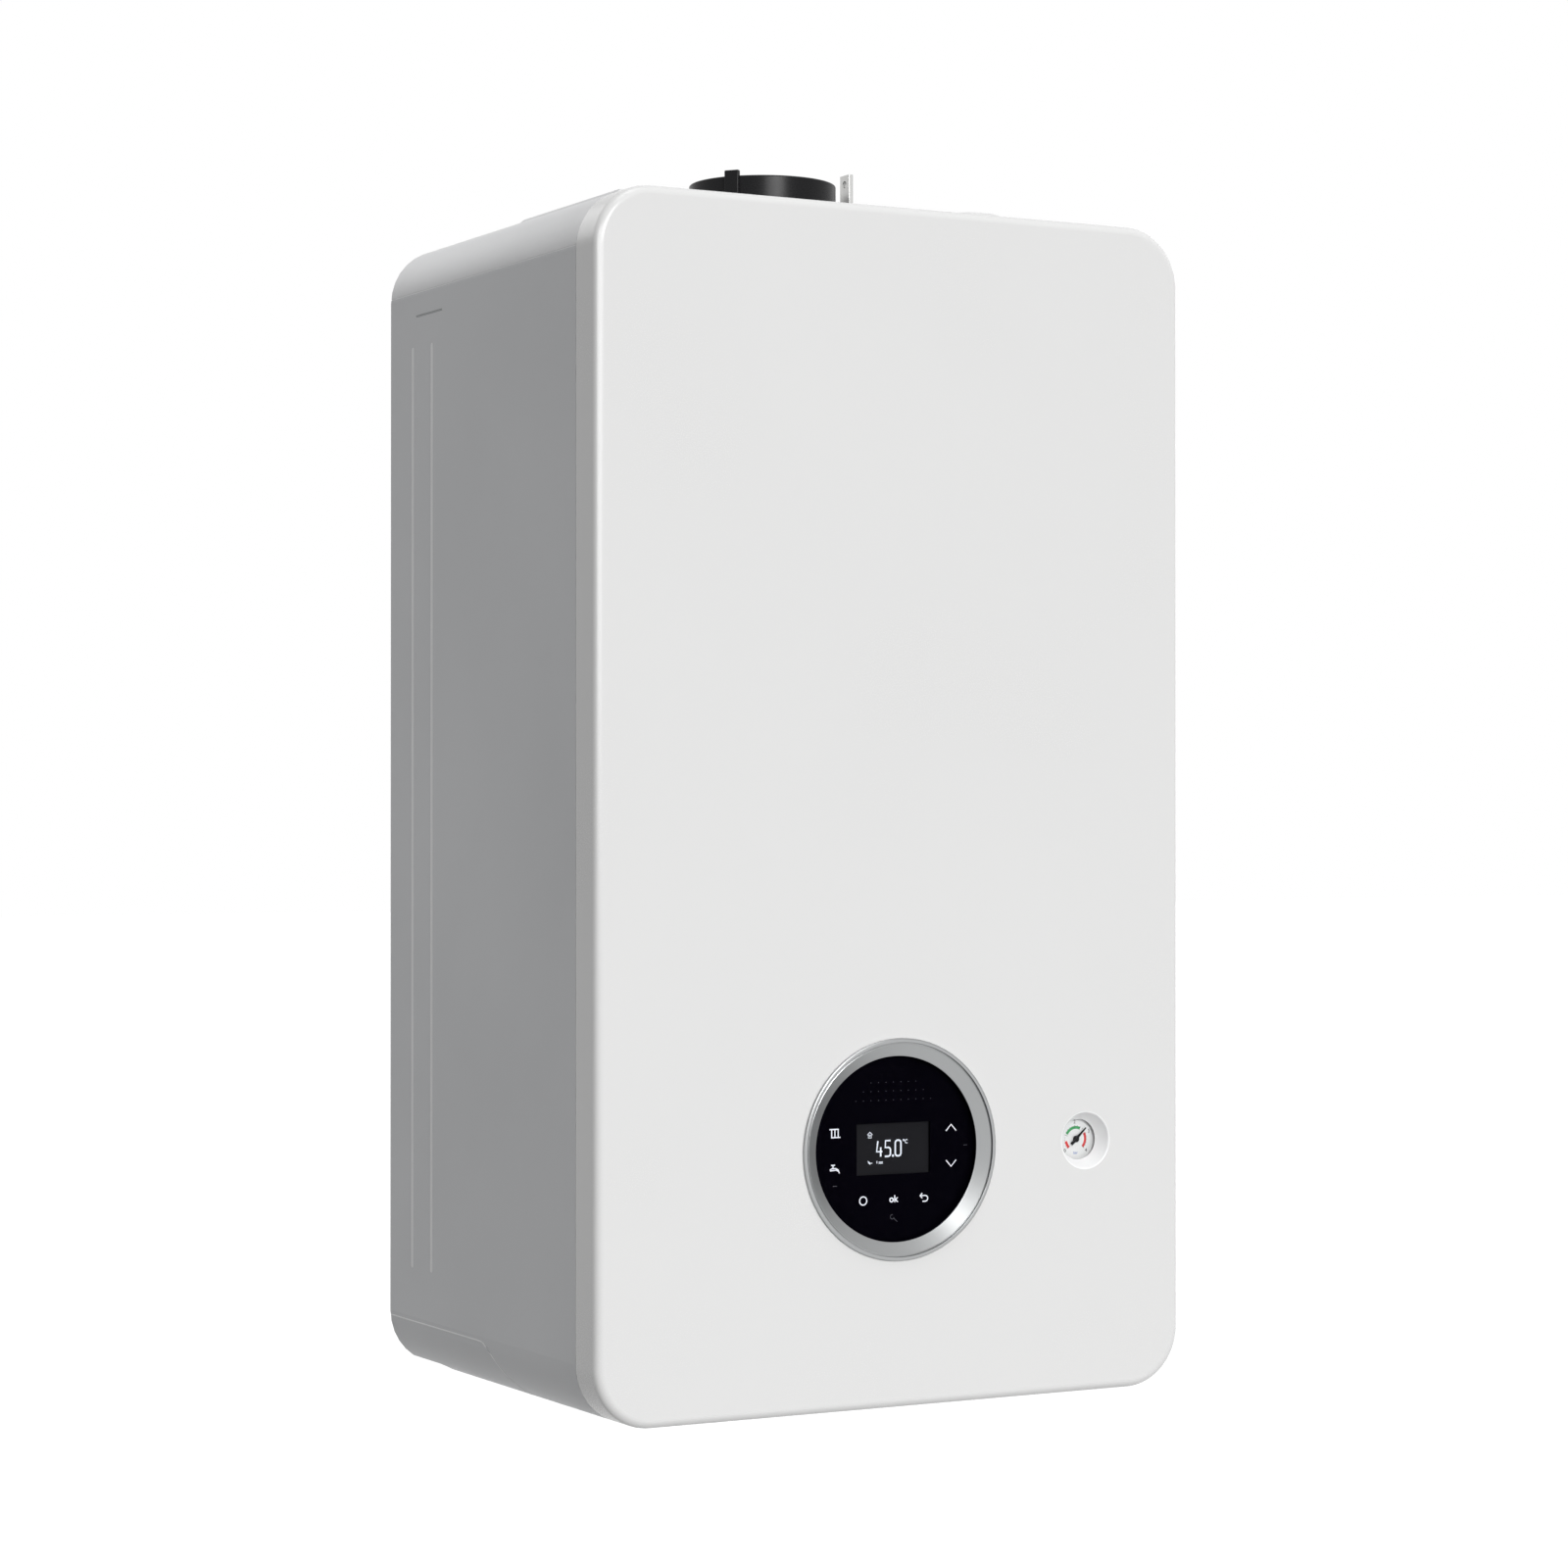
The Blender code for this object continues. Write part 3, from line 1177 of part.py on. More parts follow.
def control_parts():
    """The control box that swings down on its rod, with its lid and circuit board."""
    back = BOX_FRONT + BOX_DEPTH
    box = block(
        "control_box",
        (-BOX_LEFT, BOX_FRONT, BOX_LOW),
        (BOX_RIGHT, back, BOX_TOP),
        DARK_PLASTIC,
        BOX_EDGE,
        "Y",
    )
    board_front = BOX_FRONT + BOARD_SETBACK
    cut(
        box,
        block(
            "control_box_hollow",
            (-BOX_LEFT + BOX_WALL, BOX_FRONT + BOX_WALL, BOX_LOW + BOX_WALL),
            (BOX_RIGHT - BOX_WALL, back + OVERRUN, BOX_TOP - BOX_WALL),
        ),
    )
    margin = BOARD_MARGIN + BOARD_POST_RADIUS * 2
    for number, (x, z) in enumerate(
        (
            (-BOX_LEFT + margin, BOX_LOW + margin),
            (BOX_RIGHT - margin, BOX_LOW + margin),
            (-BOX_LEFT + margin, BOX_TOP - margin),
            (BOX_RIGHT - margin, BOX_TOP - margin),
        ),
        1,
    ):
        post_end = board_front - CLEARANCE
        add(
            box,
            cylinder(
                f"control_box_post_{number}",
                BOARD_POST_RADIUS,
                BOX_FRONT + BOX_WALL / 2,
                post_end,
                (x, z),
                "Y",
                sides=SMALL_SIDES,
            ),
        )
    rod_y, rod_z = HINGE_PLACE
    cut(
        box,
        cylinder(
            "control_box_display_hole",
            HOUSING_SLEEVE_RADIUS + ROUND_CLEARANCE,
            BOX_FRONT - OVERRUN,
            BOX_FRONT + BOX_WALL + OVERRUN,
            (0.0, DISPLAY_HEIGHT),
            "Y",
            sides=LARGE_SIDES,
        ),
        cylinder(
            "control_box_rod_hole",
            HINGE_ROD_RADIUS + CLEARANCE,
            -BOX_LEFT - OVERRUN,
            BOX_RIGHT + OVERRUN,
            (rod_y, rod_z),
            "X",
            sides=SMALL_SIDES,
        ),
    )
    lid = block(
        "control_box_lid",
        (-BOX_LEFT, back + CLEARANCE, BOX_LOW),
        (BOX_RIGHT, back + CLEARANCE + LID_THICKNESS, BOX_TOP),
        DARK_PLASTIC,
        BOX_EDGE,
        "Y",
    )
    inner = BOX_WALL + CLEARANCE
    add(
        lid,
        block(
            "control_box_lid_spigot",
            (-BOX_LEFT + inner, back - LID_SPIGOT, BOX_LOW + inner),
            (BOX_RIGHT - inner, back + CLEARANCE + LID_THICKNESS / 2, BOX_TOP - inner),
        ),
    )
    reach = HINGE_EAR_GAP + HINGE_EAR_SHEET + HINGE_ROD_END
    rod = cylinder(
        "control_hinge_rod",
        HINGE_ROD_RADIUS,
        -BOX_LEFT - reach,
        BOX_RIGHT + reach,
        (rod_y, rod_z),
        "X",
        STEEL,
        SMALL_SIDES,
    )
    return [box, lid, circuit_board(board_front)]


def circuit_board(front):
    board_back = front + BOARD_THICKNESS
    low = (-BOX_LEFT + BOARD_MARGIN, front, BOX_LOW + BOARD_MARGIN)
    high = (BOX_RIGHT - BOARD_MARGIN, board_back, BOX_TOP - BOARD_MARGIN)
    board = block("circuit_board", low, high, BOARD_GREEN)
    width = high[0] - low[0]
    height = high[2] - low[2]
    room = BOX_FRONT + BOX_DEPTH - LID_SPIGOT - board_back
    # Each part on the board: its name, then place, size and height as shares of the board and of the room.
    component_shares = (
        ("transformer", 0.08, 0.55, 0.20, 0.34, 0.85),
        ("relay_1", 0.36, 0.62, 0.08, 0.18, 0.55),
        ("relay_2", 0.47, 0.62, 0.08, 0.18, 0.55),
        ("relay_3", 0.58, 0.62, 0.08, 0.18, 0.55),
        ("connectors", 0.10, 0.06, 0.78, 0.11, 0.50),
        ("processor", 0.62, 0.30, 0.14, 0.20, 0.12),
        ("igniter", 0.78, 0.55, 0.14, 0.34, 0.75),
    )
    for name, left_share, low_share, wide_share, tall_share, room_share in component_shares:
        left = low[0] + width * left_share
        bottom = low[2] + height * low_share
        add(
            board,
            block(
                f"circuit_board_{name}",
                (left, front + BOARD_THICKNESS / 2, bottom),
                (left + width * wide_share, board_back + room * room_share, bottom + height * tall_share),
            ),
        )
    return board


def gauge_parts():
    """The pressure gauge behind its well in the cover, on a bracket that stands on the bottom plate."""
    front = -CASE_DEPTH + WELL_DEPTH + CLEARANCE
    place = (GAUGE_X, front, DISPLAY_HEIGHT)
    middle = (GAUGE_X, DISPLAY_HEIGHT)
    inner = GAUGE_RADIUS - GAUGE_WALL
    floor = DIAL_SETBACK + DIAL_THICKNESS + CLEARANCE
    stem_end = GAUGE_LENGTH + GAUGE_STEM_LENGTH
    cup = [
        (0.0, floor),
        (inner, floor),
        (inner, 0.0),
        (GAUGE_RADIUS, 0.0),
        (GAUGE_RADIUS, GAUGE_LENGTH),
        (GAUGE_STEM_RADIUS, GAUGE_LENGTH),
        (GAUGE_STEM_RADIUS, stem_end),
        (0.0, stem_end),
    ]
    body = turned("gauge_body", cup, place, "Y", WHITE_PLASTIC)
    pin_hole = NEEDLE_PIN_RADIUS + CLEARANCE
    pin_end = front + NEEDLE_SETBACK + NEEDLE_PIN_LENGTH
    hole_end = pin_end + CLEARANCE
    cut(body, cylinder("gauge_body_pin_hole", pin_hole, front, hole_end, middle, "Y", sides=SMALL_SIDES))
    disc = inner - CLEARANCE
    dial_front = front + DIAL_SETBACK
    dial = cylinder("gauge_dial", disc, dial_front, dial_front + DIAL_THICKNESS, middle, "Y", WHITE_PLASTIC)
    cut(
        dial,
        cylinder(
            "gauge_dial_hole",
            pin_hole,
            dial_front - CLEARANCE,
            dial_front + DIAL_THICKNESS + CLEARANCE,
            middle,
            "Y",
            sides=SMALL_SIDES,
        ),
    )
    cylinder("gauge_lens", disc, front, front + LENS_THICKNESS, middle, "Y", CLEAR_PLASTIC)
    gauge_needle(place, pin_end)
    sheet_front = front + GAUGE_LENGTH + CLEARANCE
    half = GAUGE_BRACKET_WIDTH / 2
    floor_z = BOTTOM_PLATE_HEIGHT + SHEET + CLEARANCE
    bracket_side = [
        (sheet_front, floor_z),
        (sheet_front + GAUGE_BRACKET_FOOT, floor_z),
        (sheet_front + GAUGE_BRACKET_FOOT, floor_z + SHEET),
        (sheet_front + SHEET, floor_z + SHEET),
        (sheet_front + SHEET, DISPLAY_HEIGHT + GAUGE_BRACKET_TOP),
        (sheet_front, DISPLAY_HEIGHT + GAUGE_BRACKET_TOP),
    ]
    bracket = outlined("gauge_bracket", bracket_side, GAUGE_X - half, GAUGE_X + half, "X", GALVANISED)
    cut(
        bracket,
        cylinder(
            "gauge_bracket_hole",
            GAUGE_STEM_RADIUS + ROUND_CLEARANCE,
            sheet_front - SHORT_OVERRUN,
            sheet_front + SHEET + SHORT_OVERRUN,
            middle,
            "Y",
            sides=ROUND_SIDES,
        ),
    )
    start = front + stem_end + CLEARANCE
    route = (
        (GAUGE_X, start, DISPLAY_HEIGHT),
        (GAUGE_X, start + CAPILLARY_FIRST_LEG, DISPLAY_HEIGHT),
        (CAPILLARY_SIDE_X, CAPILLARY_SIDE_Y, CAPILLARY_SIDE_Z),
        (CAPILLARY_SIDE_X, PIPE_Y, CAPILLARY_END_Z),
        (RETURN_X + HEATING_PIPE_RADIUS + CLEARANCE, PIPE_Y, CAPILLARY_END_Z),
    )
    tube("gauge_capillary", route, CAPILLARY_RADIUS, COPPER)


def gauge_needle(place, pin_end):
    """The pointer, drawn along +X and turned up to the pressure that the photograph shows."""
    front = place[1] + NEEDLE_SETBACK
    angle = math.radians(NEEDLE_REST_ANGLE)
    outline = [
        (NEEDLE_LENGTH, -NEEDLE_TIP_HALF_WIDTH),
        (NEEDLE_LENGTH, NEEDLE_TIP_HALF_WIDTH),
        (0.0, NEEDLE_HALF_WIDTH),
        (-NEEDLE_TAIL, NEEDLE_HALF_WIDTH),
        (-NEEDLE_TAIL, -NEEDLE_HALF_WIDTH),
        (0.0, -NEEDLE_HALF_WIDTH),
    ]
    cosine = math.cos(angle)
    sine = math.sin(angle)
    turned_outline = [(u * cosine - v * sine, u * sine + v * cosine) for u, v in outline]
    half = NEEDLE_THICKNESS / 2
    needle = outlined("gauge_needle", turned_outline, -half, half, "Y", BLACK_PLASTIC)
    needle.location = (place[0], front + NEEDLE_THICKNESS / 2, place[2])
    middle = (place[0], place[2])
    add(
        needle,
        cylinder(
            "gauge_needle_hub",
            NEEDLE_HUB_RADIUS,
            front - CLEARANCE / 2,
            front + NEEDLE_THICKNESS + CLEARANCE / 2,
            middle,
            "Y",
            sides=SMALL_SIDES,
        ),
        cylinder("gauge_needle_pin", NEEDLE_PIN_RADIUS, front, pin_end, middle, "Y", sides=SMALL_SIDES),
    )


def flue_parts():
    flange_top = CASE_HEIGHT - SHEET - CLEARANCE
    flange_low = flange_top - COLLAR_FLANGE
    rim = CASE_HEIGHT + COLLAR_RISE
    duct_hole = DUCT_RADIUS + ROUND_CLEARANCE
    collar_profile = [
        (duct_hole, flange_low),
        (duct_hole, flange_top),
        (COLLAR_RADIUS - COLLAR_WALL, flange_top),
        (COLLAR_RADIUS - COLLAR_WALL, rim),
        (COLLAR_RADIUS, rim),
        (COLLAR_RADIUS, flange_top),
        (COLLAR_FLANGE_RADIUS, flange_top),
        (COLLAR_FLANGE_RADIUS, flange_low),
    ]
    collar = turned("flue_collar", collar_profile, (0.0, FLUE_Y, 0.0), "Z", BLACK_PLASTIC, VISIBLE_SIDES)
    angle = math.radians(COLLAR_TAB_ANGLE)
    tab_high = rim + COLLAR_TAB_RISE
    tab_low = CASE_HEIGHT + SHEET + PLATEAU_HEIGHT
    tab = block(
        "flue_collar_tab",
        (COLLAR_RADIUS - COLLAR_WALL / 2, -COLLAR_TAB_WIDTH / 2, tab_low),
        (COLLAR_RADIUS + COLLAR_TAB_PROUD, COLLAR_TAB_WIDTH / 2, tab_high),
    )
    radial = COLLAR_RADIUS + (COLLAR_TAB_PROUD - COLLAR_WALL / 2) / 2
    tab.location = (radial * math.cos(angle), FLUE_Y + radial * math.sin(angle), (tab_low + tab_high) / 2)
    tab.rotation_euler = (0.0, 0.0, angle)
    add(collar, tab)
    port_circle = (duct_hole + COLLAR_RADIUS - COLLAR_WALL) / 2
    for number in range(COLLAR_PORT_COUNT):
        turn = 2 * math.pi * (number + COLLAR_PORT_TURN_SHARE) / COLLAR_PORT_COUNT
        x = port_circle * math.cos(turn)
        y = FLUE_Y + port_circle * math.sin(turn)
        port = cylinder(
            f"flue_collar_port_{number + 1}",
            COLLAR_PORT_RADIUS,
            flange_low - OVERRUN,
            flange_top + OVERRUN,
            (x, y),
            "Z",
            sides=SMALL_SIDES,
        )
        cut(collar, port)
    duct_top = rim - DUCT_DROP_BELOW_RIM
    duct_profile = [
        (DUCT_RADIUS - DUCT_WALL, EXCHANGER_Z),
        (DUCT_RADIUS - DUCT_WALL, duct_top),
        (DUCT_RADIUS, duct_top),
        (DUCT_RADIUS, EXCHANGER_Z),
    ]
    duct = turned("flue_duct", duct_profile, (0.0, FLUE_Y, 0.0), "Z", STEEL)
    cut(duct, exchanger_saddle("flue_duct_saddle"))
    plug_top = CASE_HEIGHT + PLUG_TOP
    plug_low = CASE_HEIGHT + PLATEAU_HEIGHT + CLEARANCE
    stem_low = CASE_HEIGHT - PLUG_STEM_LENGTH
    plug = [
        (0.0, plug_top),
        (PLUG_RADIUS - PLUG_CHAMFER, plug_top),
        (PLUG_RADIUS, plug_top - PLUG_CHAMFER),
        (PLUG_RADIUS, plug_low),
        (PLUG_STEM_RADIUS, plug_low),
        (PLUG_STEM_RADIUS, stem_low),
        (PLUG_STEM_RADIUS - PLUG_WALL, stem_low),
        (PLUG_STEM_RADIUS - PLUG_WALL, plug_top - PLUG_WALL),
        (0.0, plug_top - PLUG_WALL),
    ]
    turned("air_port_plug", plug, (PLUG_X, PLUG_Y, 0.0), "Z", WHITE_PLASTIC)
    foot_low = CASE_HEIGHT + PLATEAU_HEIGHT + CLEARANCE
    lug_outline = [
        (LUG_X - LUG_WIDTH / 2, foot_low),
        (LUG_X + LUG_WIDTH / 2 + LUG_FOOT, foot_low),
        (LUG_X + LUG_WIDTH / 2 + LUG_FOOT, foot_low + LUG_FOOT_THICKNESS),
        (LUG_X + LUG_WIDTH / 2, foot_low + LUG_FOOT_THICKNESS),
        (LUG_X + LUG_WIDTH / 2, CASE_HEIGHT + LUG_TOP),
        (LUG_X - LUG_WIDTH / 2, CASE_HEIGHT + LUG_TOP),
    ]
    lug = outlined("flue_lug", lug_outline, LUG_Y - LUG_LENGTH / 2, LUG_Y + LUG_LENGTH / 2, "Y", STEEL)
    cut(
        lug,
        cylinder(
            "flue_lug_hole",
            LUG_HOLE_RADIUS,
            LUG_X - LUG_WIDTH,
            LUG_X + LUG_WIDTH,
            (LUG_Y, CASE_HEIGHT + LUG_TOP - LUG_HOLE_DROP),
            "X",
            sides=SMALL_SIDES,
        ),
    )


def exchanger_saddle(name):
    """A cutter with the heat exchanger's outside, for what meets its round wall."""
    return cylinder(
        name,
        EXCHANGER_RADIUS + CLEARANCE,
        -EXCHANGER_FRONT - OVERRUN,
        -EXCHANGER_FRONT + EXCHANGER_LENGTH + OVERRUN,
        (EXCHANGER_X, EXCHANGER_Z),
        "Y",
        sides=LARGE_SIDES,
    )


def exchanger_parts():
    place = (EXCHANGER_X, -EXCHANGER_FRONT, EXCHANGER_Z)
    middle = (EXCHANGER_X, EXCHANGER_Z)
    inner = EXCHANGER_RADIUS - EXCHANGER_WALL
    shell_profile = [
        (inner, 0.0),
        (EXCHANGER_RADIUS, 0.0),
        (EXCHANGER_RADIUS, EXCHANGER_LENGTH),
        (0.0, EXCHANGER_LENGTH),
        (0.0, EXCHANGER_LENGTH - EXCHANGER_WALL),
        (inner, EXCHANGER_LENGTH - EXCHANGER_WALL),
    ]
    turned_shell = shell_profile[4:] + shell_profile[:4]
    shell = turned("heat_exchanger", turned_shell, place, "Y", STEEL, LARGE_SIDES)
    cut(
        shell,
        cylinder(
            "heat_exchanger_flue_hole",
            DUCT_RADIUS - DUCT_WALL,
            EXCHANGER_Z,
            EXCHANGER_Z + EXCHANGER_RADIUS + OVERRUN,
            (0.0, FLUE_Y),
            "Z",
            sides=ROUND_SIDES,
        ),
    )
    coil_outer = inner - CLEARANCE
    coil = []
    for number in range(COIL_COUNT):
        start = COIL_SETBACK + COIL_PITCH * number
        coil += [
            (coil_outer - COIL_RIB, start),
            (coil_outer, start + COIL_PITCH / 3),
            (coil_outer, start + COIL_PITCH * 2 / 3),
        ]
    coil_end = COIL_SETBACK + COIL_PITCH * COIL_COUNT
    coil.append((coil_outer - COIL_RIB, coil_end))
    coil.append((COIL_INNER_RADIUS, coil_end))
    coil.append((COIL_INNER_RADIUS, COIL_SETBACK))
    turned("exchanger_coil", coil, place, "Y", STEEL, LARGE_SIDES)
    door_back = -EXCHANGER_FRONT - CLEARANCE
    door_front = door_back - DOOR_THICKNESS
    door = cylinder("burner_door", DOOR_RADIUS, door_front, door_back, middle, "Y", ALUMINIUM, LARGE_SIDES)
    neck_front = door_front - DOOR_NECK_LENGTH
    neck_end = door_front + DOOR_THICKNESS / 2
    add(door, cylinder("burner_door_neck", DOOR_NECK_RADIUS, neck_front, neck_end, middle, "Y"))
    for number in range(DOOR_NUT_COUNT):
        turn = 2 * math.pi * (number + 0.5) / DOOR_NUT_COUNT
        x = EXCHANGER_X + DOOR_NUT_CIRCLE * math.cos(turn)
        z = EXCHANGER_Z + DOOR_NUT_CIRCLE * math.sin(turn)
        nut = cylinder(
            f"burner_door_nut_{number + 1}",
            DOOR_NUT_RADIUS,
            door_front - DOOR_NUT_LENGTH,
            neck_end,
            (x, z),
            "Y",
            sides=HEX_SIDES,
        )
        add(door, nut)
    electrode = (EXCHANGER_X + ELECTRODE_OFFSET, EXCHANGER_Z - ELECTRODE_OFFSET)
    cut(
        door,
        cylinder(
            "burner_door_bore",
            DOOR_BORE_RADIUS,
            neck_front - OVERRUN,
            door_back + OVERRUN,
            middle,
            "Y",
            sides=SMALL_SIDES,
        ),
        cylinder(
            "burner_door_electrode_hole",
            ELECTRODE_RADIUS + ROUND_CLEARANCE,
            door_front - OVERRUN,
            door_back + OVERRUN,
            electrode,
            "Y",
            sides=SMALL_SIDES,
        ),
    )
    tube_start = CLEARANCE
    burner = [
        (BURNER_RADIUS - BURNER_WALL, tube_start),
        (BURNER_RADIUS, tube_start),
        (BURNER_RADIUS, BURNER_LENGTH),
        (0.0, BURNER_LENGTH),
        (0.0, BURNER_LENGTH - BURNER_WALL),
        (BURNER_RADIUS - BURNER_WALL, BURNER_LENGTH - BURNER_WALL),
    ]
    turned("burner_tube", burner[4:] + burner[:4], (EXCHANGER_X, door_back, EXCHANGER_Z), "Y", STEEL)
    head_back = door_front - CLEARANCE
    head_front = head_back - ELECTRODE_HEAD
    electrode_profile = [
        (0.0, 0.0),
        (ELECTRODE_HEAD_RADIUS, 0.0),
        (ELECTRODE_HEAD_RADIUS, ELECTRODE_HEAD),
        (ELECTRODE_RADIUS, ELECTRODE_HEAD),
        (ELECTRODE_RADIUS, ELECTRODE_LENGTH),
        (0.0, ELECTRODE_LENGTH),
    ]
    electrode_place = (electrode[0], head_front, electrode[1])
    turned("ignition_electrode", electrode_profile, electrode_place, "Y", CERAMIC, SMALL_SIDES)


def vane_outline(hub, tip, count):
    """The outline of a wheel's straight vanes between its hub and its tip circle."""
    points = []
    pitch = 2 * math.pi / count
    for number in range(count):
        middle = pitch * number
        tip_half = pitch * VANE_WIDTH_SHARE * hub / tip / 2
        hub_half = pitch * VANE_WIDTH_SHARE / 2
        for radius, turn in (
            (hub, middle - hub_half),
            (tip, middle - tip_half),
            (tip, middle + tip_half),
            (hub, middle + hub_half),
        ):
            points.append((radius * math.cos(turn), radius * math.sin(turn)))
    return points


def fan_parts():
    middle = (FAN_X, FAN_Z)
    front = -FAN_FRONT
    back = front + FAN_DEPTH
    housing = cylinder("fan_housing", FAN_RADIUS, front, back, middle, "Y", ALUMINIUM, LARGE_SIDES)
    outlet_right = FAN_X + FAN_RADIUS
    outlet_left = outlet_right - FAN_OUTLET_WIDTH
    outlet_low = (outlet_left, front, FAN_Z)
    outlet_high = (outlet_right, back, FAN_Z + FAN_OUTLET_RISE)
    add(housing, block("fan_housing_outlet", outlet_low, outlet_high))
    cut(
        housing,
        cylinder(
            "fan_housing_hollow",
            FAN_RADIUS - FAN_WALL,
            front + FAN_WALL,
            back - FAN_WALL,
            middle,
            "Y",
            sides=LARGE_SIDES,
        ),
        block(
            "fan_housing_outlet_hollow",
            (outlet_left + FAN_WALL, front + FAN_WALL, FAN_Z),
            (outlet_right - FAN_WALL, back - FAN_WALL, FAN_Z + FAN_OUTLET_RISE - FAN_WALL),
        ),
        cylinder(
            "fan_housing_outlet_bore",
            DUCT_TUBE_RADIUS - DUCT_TUBE_WALL,
            FAN_Z + FAN_OUTLET_RISE - FAN_WALL - OVERRUN,
            FAN_Z + FAN_OUTLET_RISE + OVERRUN,
            ((outlet_left + outlet_right) / 2, (front + back) / 2),
            "Z",
            sides=SMALL_SIDES,
        ),
        cylinder(
            "fan_housing_inlet",
            FAN_INLET_RADIUS,
            back - FAN_WALL - SHORT_OVERRUN,
            back + OVERRUN,
            middle,
            "Y",
            sides=ROUND_SIDES,
        ),
        cylinder(
            "fan_housing_shaft_hole",
            FAN_SHAFT_HOLE_RADIUS,
            front - OVERRUN,
            front + FAN_WALL + SHORT_OVERRUN,
            middle,
            "Y",
            sides=SMALL_SIDES,
        ),
    )
    motor_back = front - CLEARANCE
    motor_front = motor_back - FAN_MOTOR_LENGTH
    motor = [
        (0.0, 0.0),
        (FAN_MOTOR_RADIUS - FAN_MOTOR_EDGE, 0.0),
        (FAN_MOTOR_RADIUS, FAN_MOTOR_EDGE),
        (FAN_MOTOR_RADIUS, FAN_MOTOR_LENGTH),
        (0.0, FAN_MOTOR_LENGTH),
    ]
    turned("fan_motor", motor, (FAN_X, motor_front, FAN_Z), "Y", BLACK_PLASTIC)
    disc_front = front + WHEEL_SETBACK
    disc_back = disc_front + WHEEL_DISC
    wheel = cylinder("fan_impeller", WHEEL_RADIUS, disc_front, disc_back, middle, "Y", DARK_PLASTIC)
    vanes = outlined(
        "fan_impeller_vanes",
        vane_outline(WHEEL_HUB_RADIUS, WHEEL_RADIUS - FAN_WALL, WHEEL_VANES),
        -WHEEL_BLADE / 2,
        WHEEL_BLADE / 2,
        "Y",
    )
    vanes.location = (FAN_X, disc_front + WHEEL_DISC / 2 + WHEEL_BLADE / 2, FAN_Z)
    shaft_end = motor_back + CLEARANCE
    add(
        wheel,
        vanes,
        cylinder(
            "fan_impeller_shaft",
            FAN_SHAFT_RADIUS,
            shaft_end,
            disc_back,
            middle,
            "Y",
            sides=SMALL_SIDES,
        ),
    )
    outlet_x = (outlet_left + outlet_right) / 2
    outlet_y = (front + back) / 2
    outlet_z = FAN_Z + FAN_OUTLET_RISE + CLEARANCE
    neck_y = -EXCHANGER_FRONT - CLEARANCE - DOOR_THICKNESS - DOOR_NECK_LENGTH - CLEARANCE
    run_y = -CASE_DEPTH + SHEET + DUCT_TUBE_RADIUS + DUCT_COVER_GAP
    route = (
        (outlet_x, outlet_y, outlet_z),
        (outlet_x, outlet_y, outlet_z + DUCT_FIRST_LEG),
        (outlet_x - DUCT_FIRST_LEG, run_y, EXCHANGER_Z),
        (EXCHANGER_X, run_y, EXCHANGER_Z),
        (EXCHANGER_X, neck_y, EXCHANGER_Z),
    )
    tube("mixing_duct", route, DUCT_TUBE_RADIUS, ALUMINIUM, DUCT_TUBE_WALL)


def gas_parts():
    valve = block("gas_valve", VALVE_LOW, VALVE_HIGH, ALUMINIUM, VALVE_EDGE)
    middle_y = (VALVE_LOW[1] + VALVE_HIGH[1]) / 2
    middle_z = (VALVE_LOW[2] + VALVE_HIGH[2]) / 2
    width = VALVE_HIGH[0] - VALVE_LOW[0]
    for number, share in enumerate(VALVE_COIL_PLACE_SHARES, 1):
        coil = cylinder(
            f"gas_valve_coil_{number}",
            VALVE_COIL_RADIUS,
            VALVE_HIGH[2] - VALVE_EDGE,
            VALVE_HIGH[2] + VALVE_COIL_RISE,
            (VALVE_LOW[0] + width * share, middle_y),
            "Z",
            sides=ROUND_SIDES,
        )
        add(valve, coil)
    venturi_front = -FAN_FRONT + FAN_DEPTH + CLEARANCE
    venturi_back = venturi_front + VENTURI_LENGTH
    middle = (FAN_X, FAN_Z)
    add(
        valve,
        cylinder("gas_valve_venturi", VENTURI_RADIUS, venturi_front, venturi_back, middle, "Y"),
        cylinder(
            "gas_valve_arm",
            VENTURI_ARM_RADIUS,
            VALVE_HIGH[0] - VALVE_EDGE,
            FAN_X - VENTURI_RADIUS + VENTURI_WALL,
            (middle_y, middle_z),
            "X",
        ),
    )
    cut(
        valve,
        cylinder(
            "gas_valve_venturi_bore",
            VENTURI_RADIUS - VENTURI_WALL,
            venturi_front - OVERRUN,
            venturi_back + OVERRUN,
            middle,
            "Y",
        ),
    )
    inlet_x = VALVE_LOW[0] + width / 2
    route = (
        (GAS_X, PIPE_Y, PIPE_LOW),
        (GAS_X, PIPE_Y, GAS_BEND_LOW),
        (inlet_x, middle_y, GAS_BEND_HIGH),
        (inlet_x, middle_y, VALVE_LOW[2] - CLEARANCE),
    )
    connection("gas_pipe", route, GAS_PIPE_RADIUS, GAS_X, STEEL)


def connection(name, route, radius, x, finish):
    """A connection pipe through the bottom plate, with its union nut below the plate."""
    pipe = tube(name, route, radius, finish, PIPE_WALL)
    add(
        pipe,
        cylinder(
            name + "_nut",
            radius + NUT_PROUD,
            NUT_LOW,
            NUT_LOW + NUT_HEIGHT,
            (x, PIPE_Y),
            "Z",
            sides=HEX_SIDES,
        ),
    )
    cut(
        pipe,
        cylinder(
            name + "_nut_bore",
            (radius - PIPE_WALL) * NUT_BORE_SHARE,
            PIPE_LOW - OVERRUN,
            NUT_LOW + NUT_HEIGHT + OVERRUN,
            (x, PIPE_Y),
            "Z",
            sides=SMALL_SIDES,
        ),
    )
    return pipe


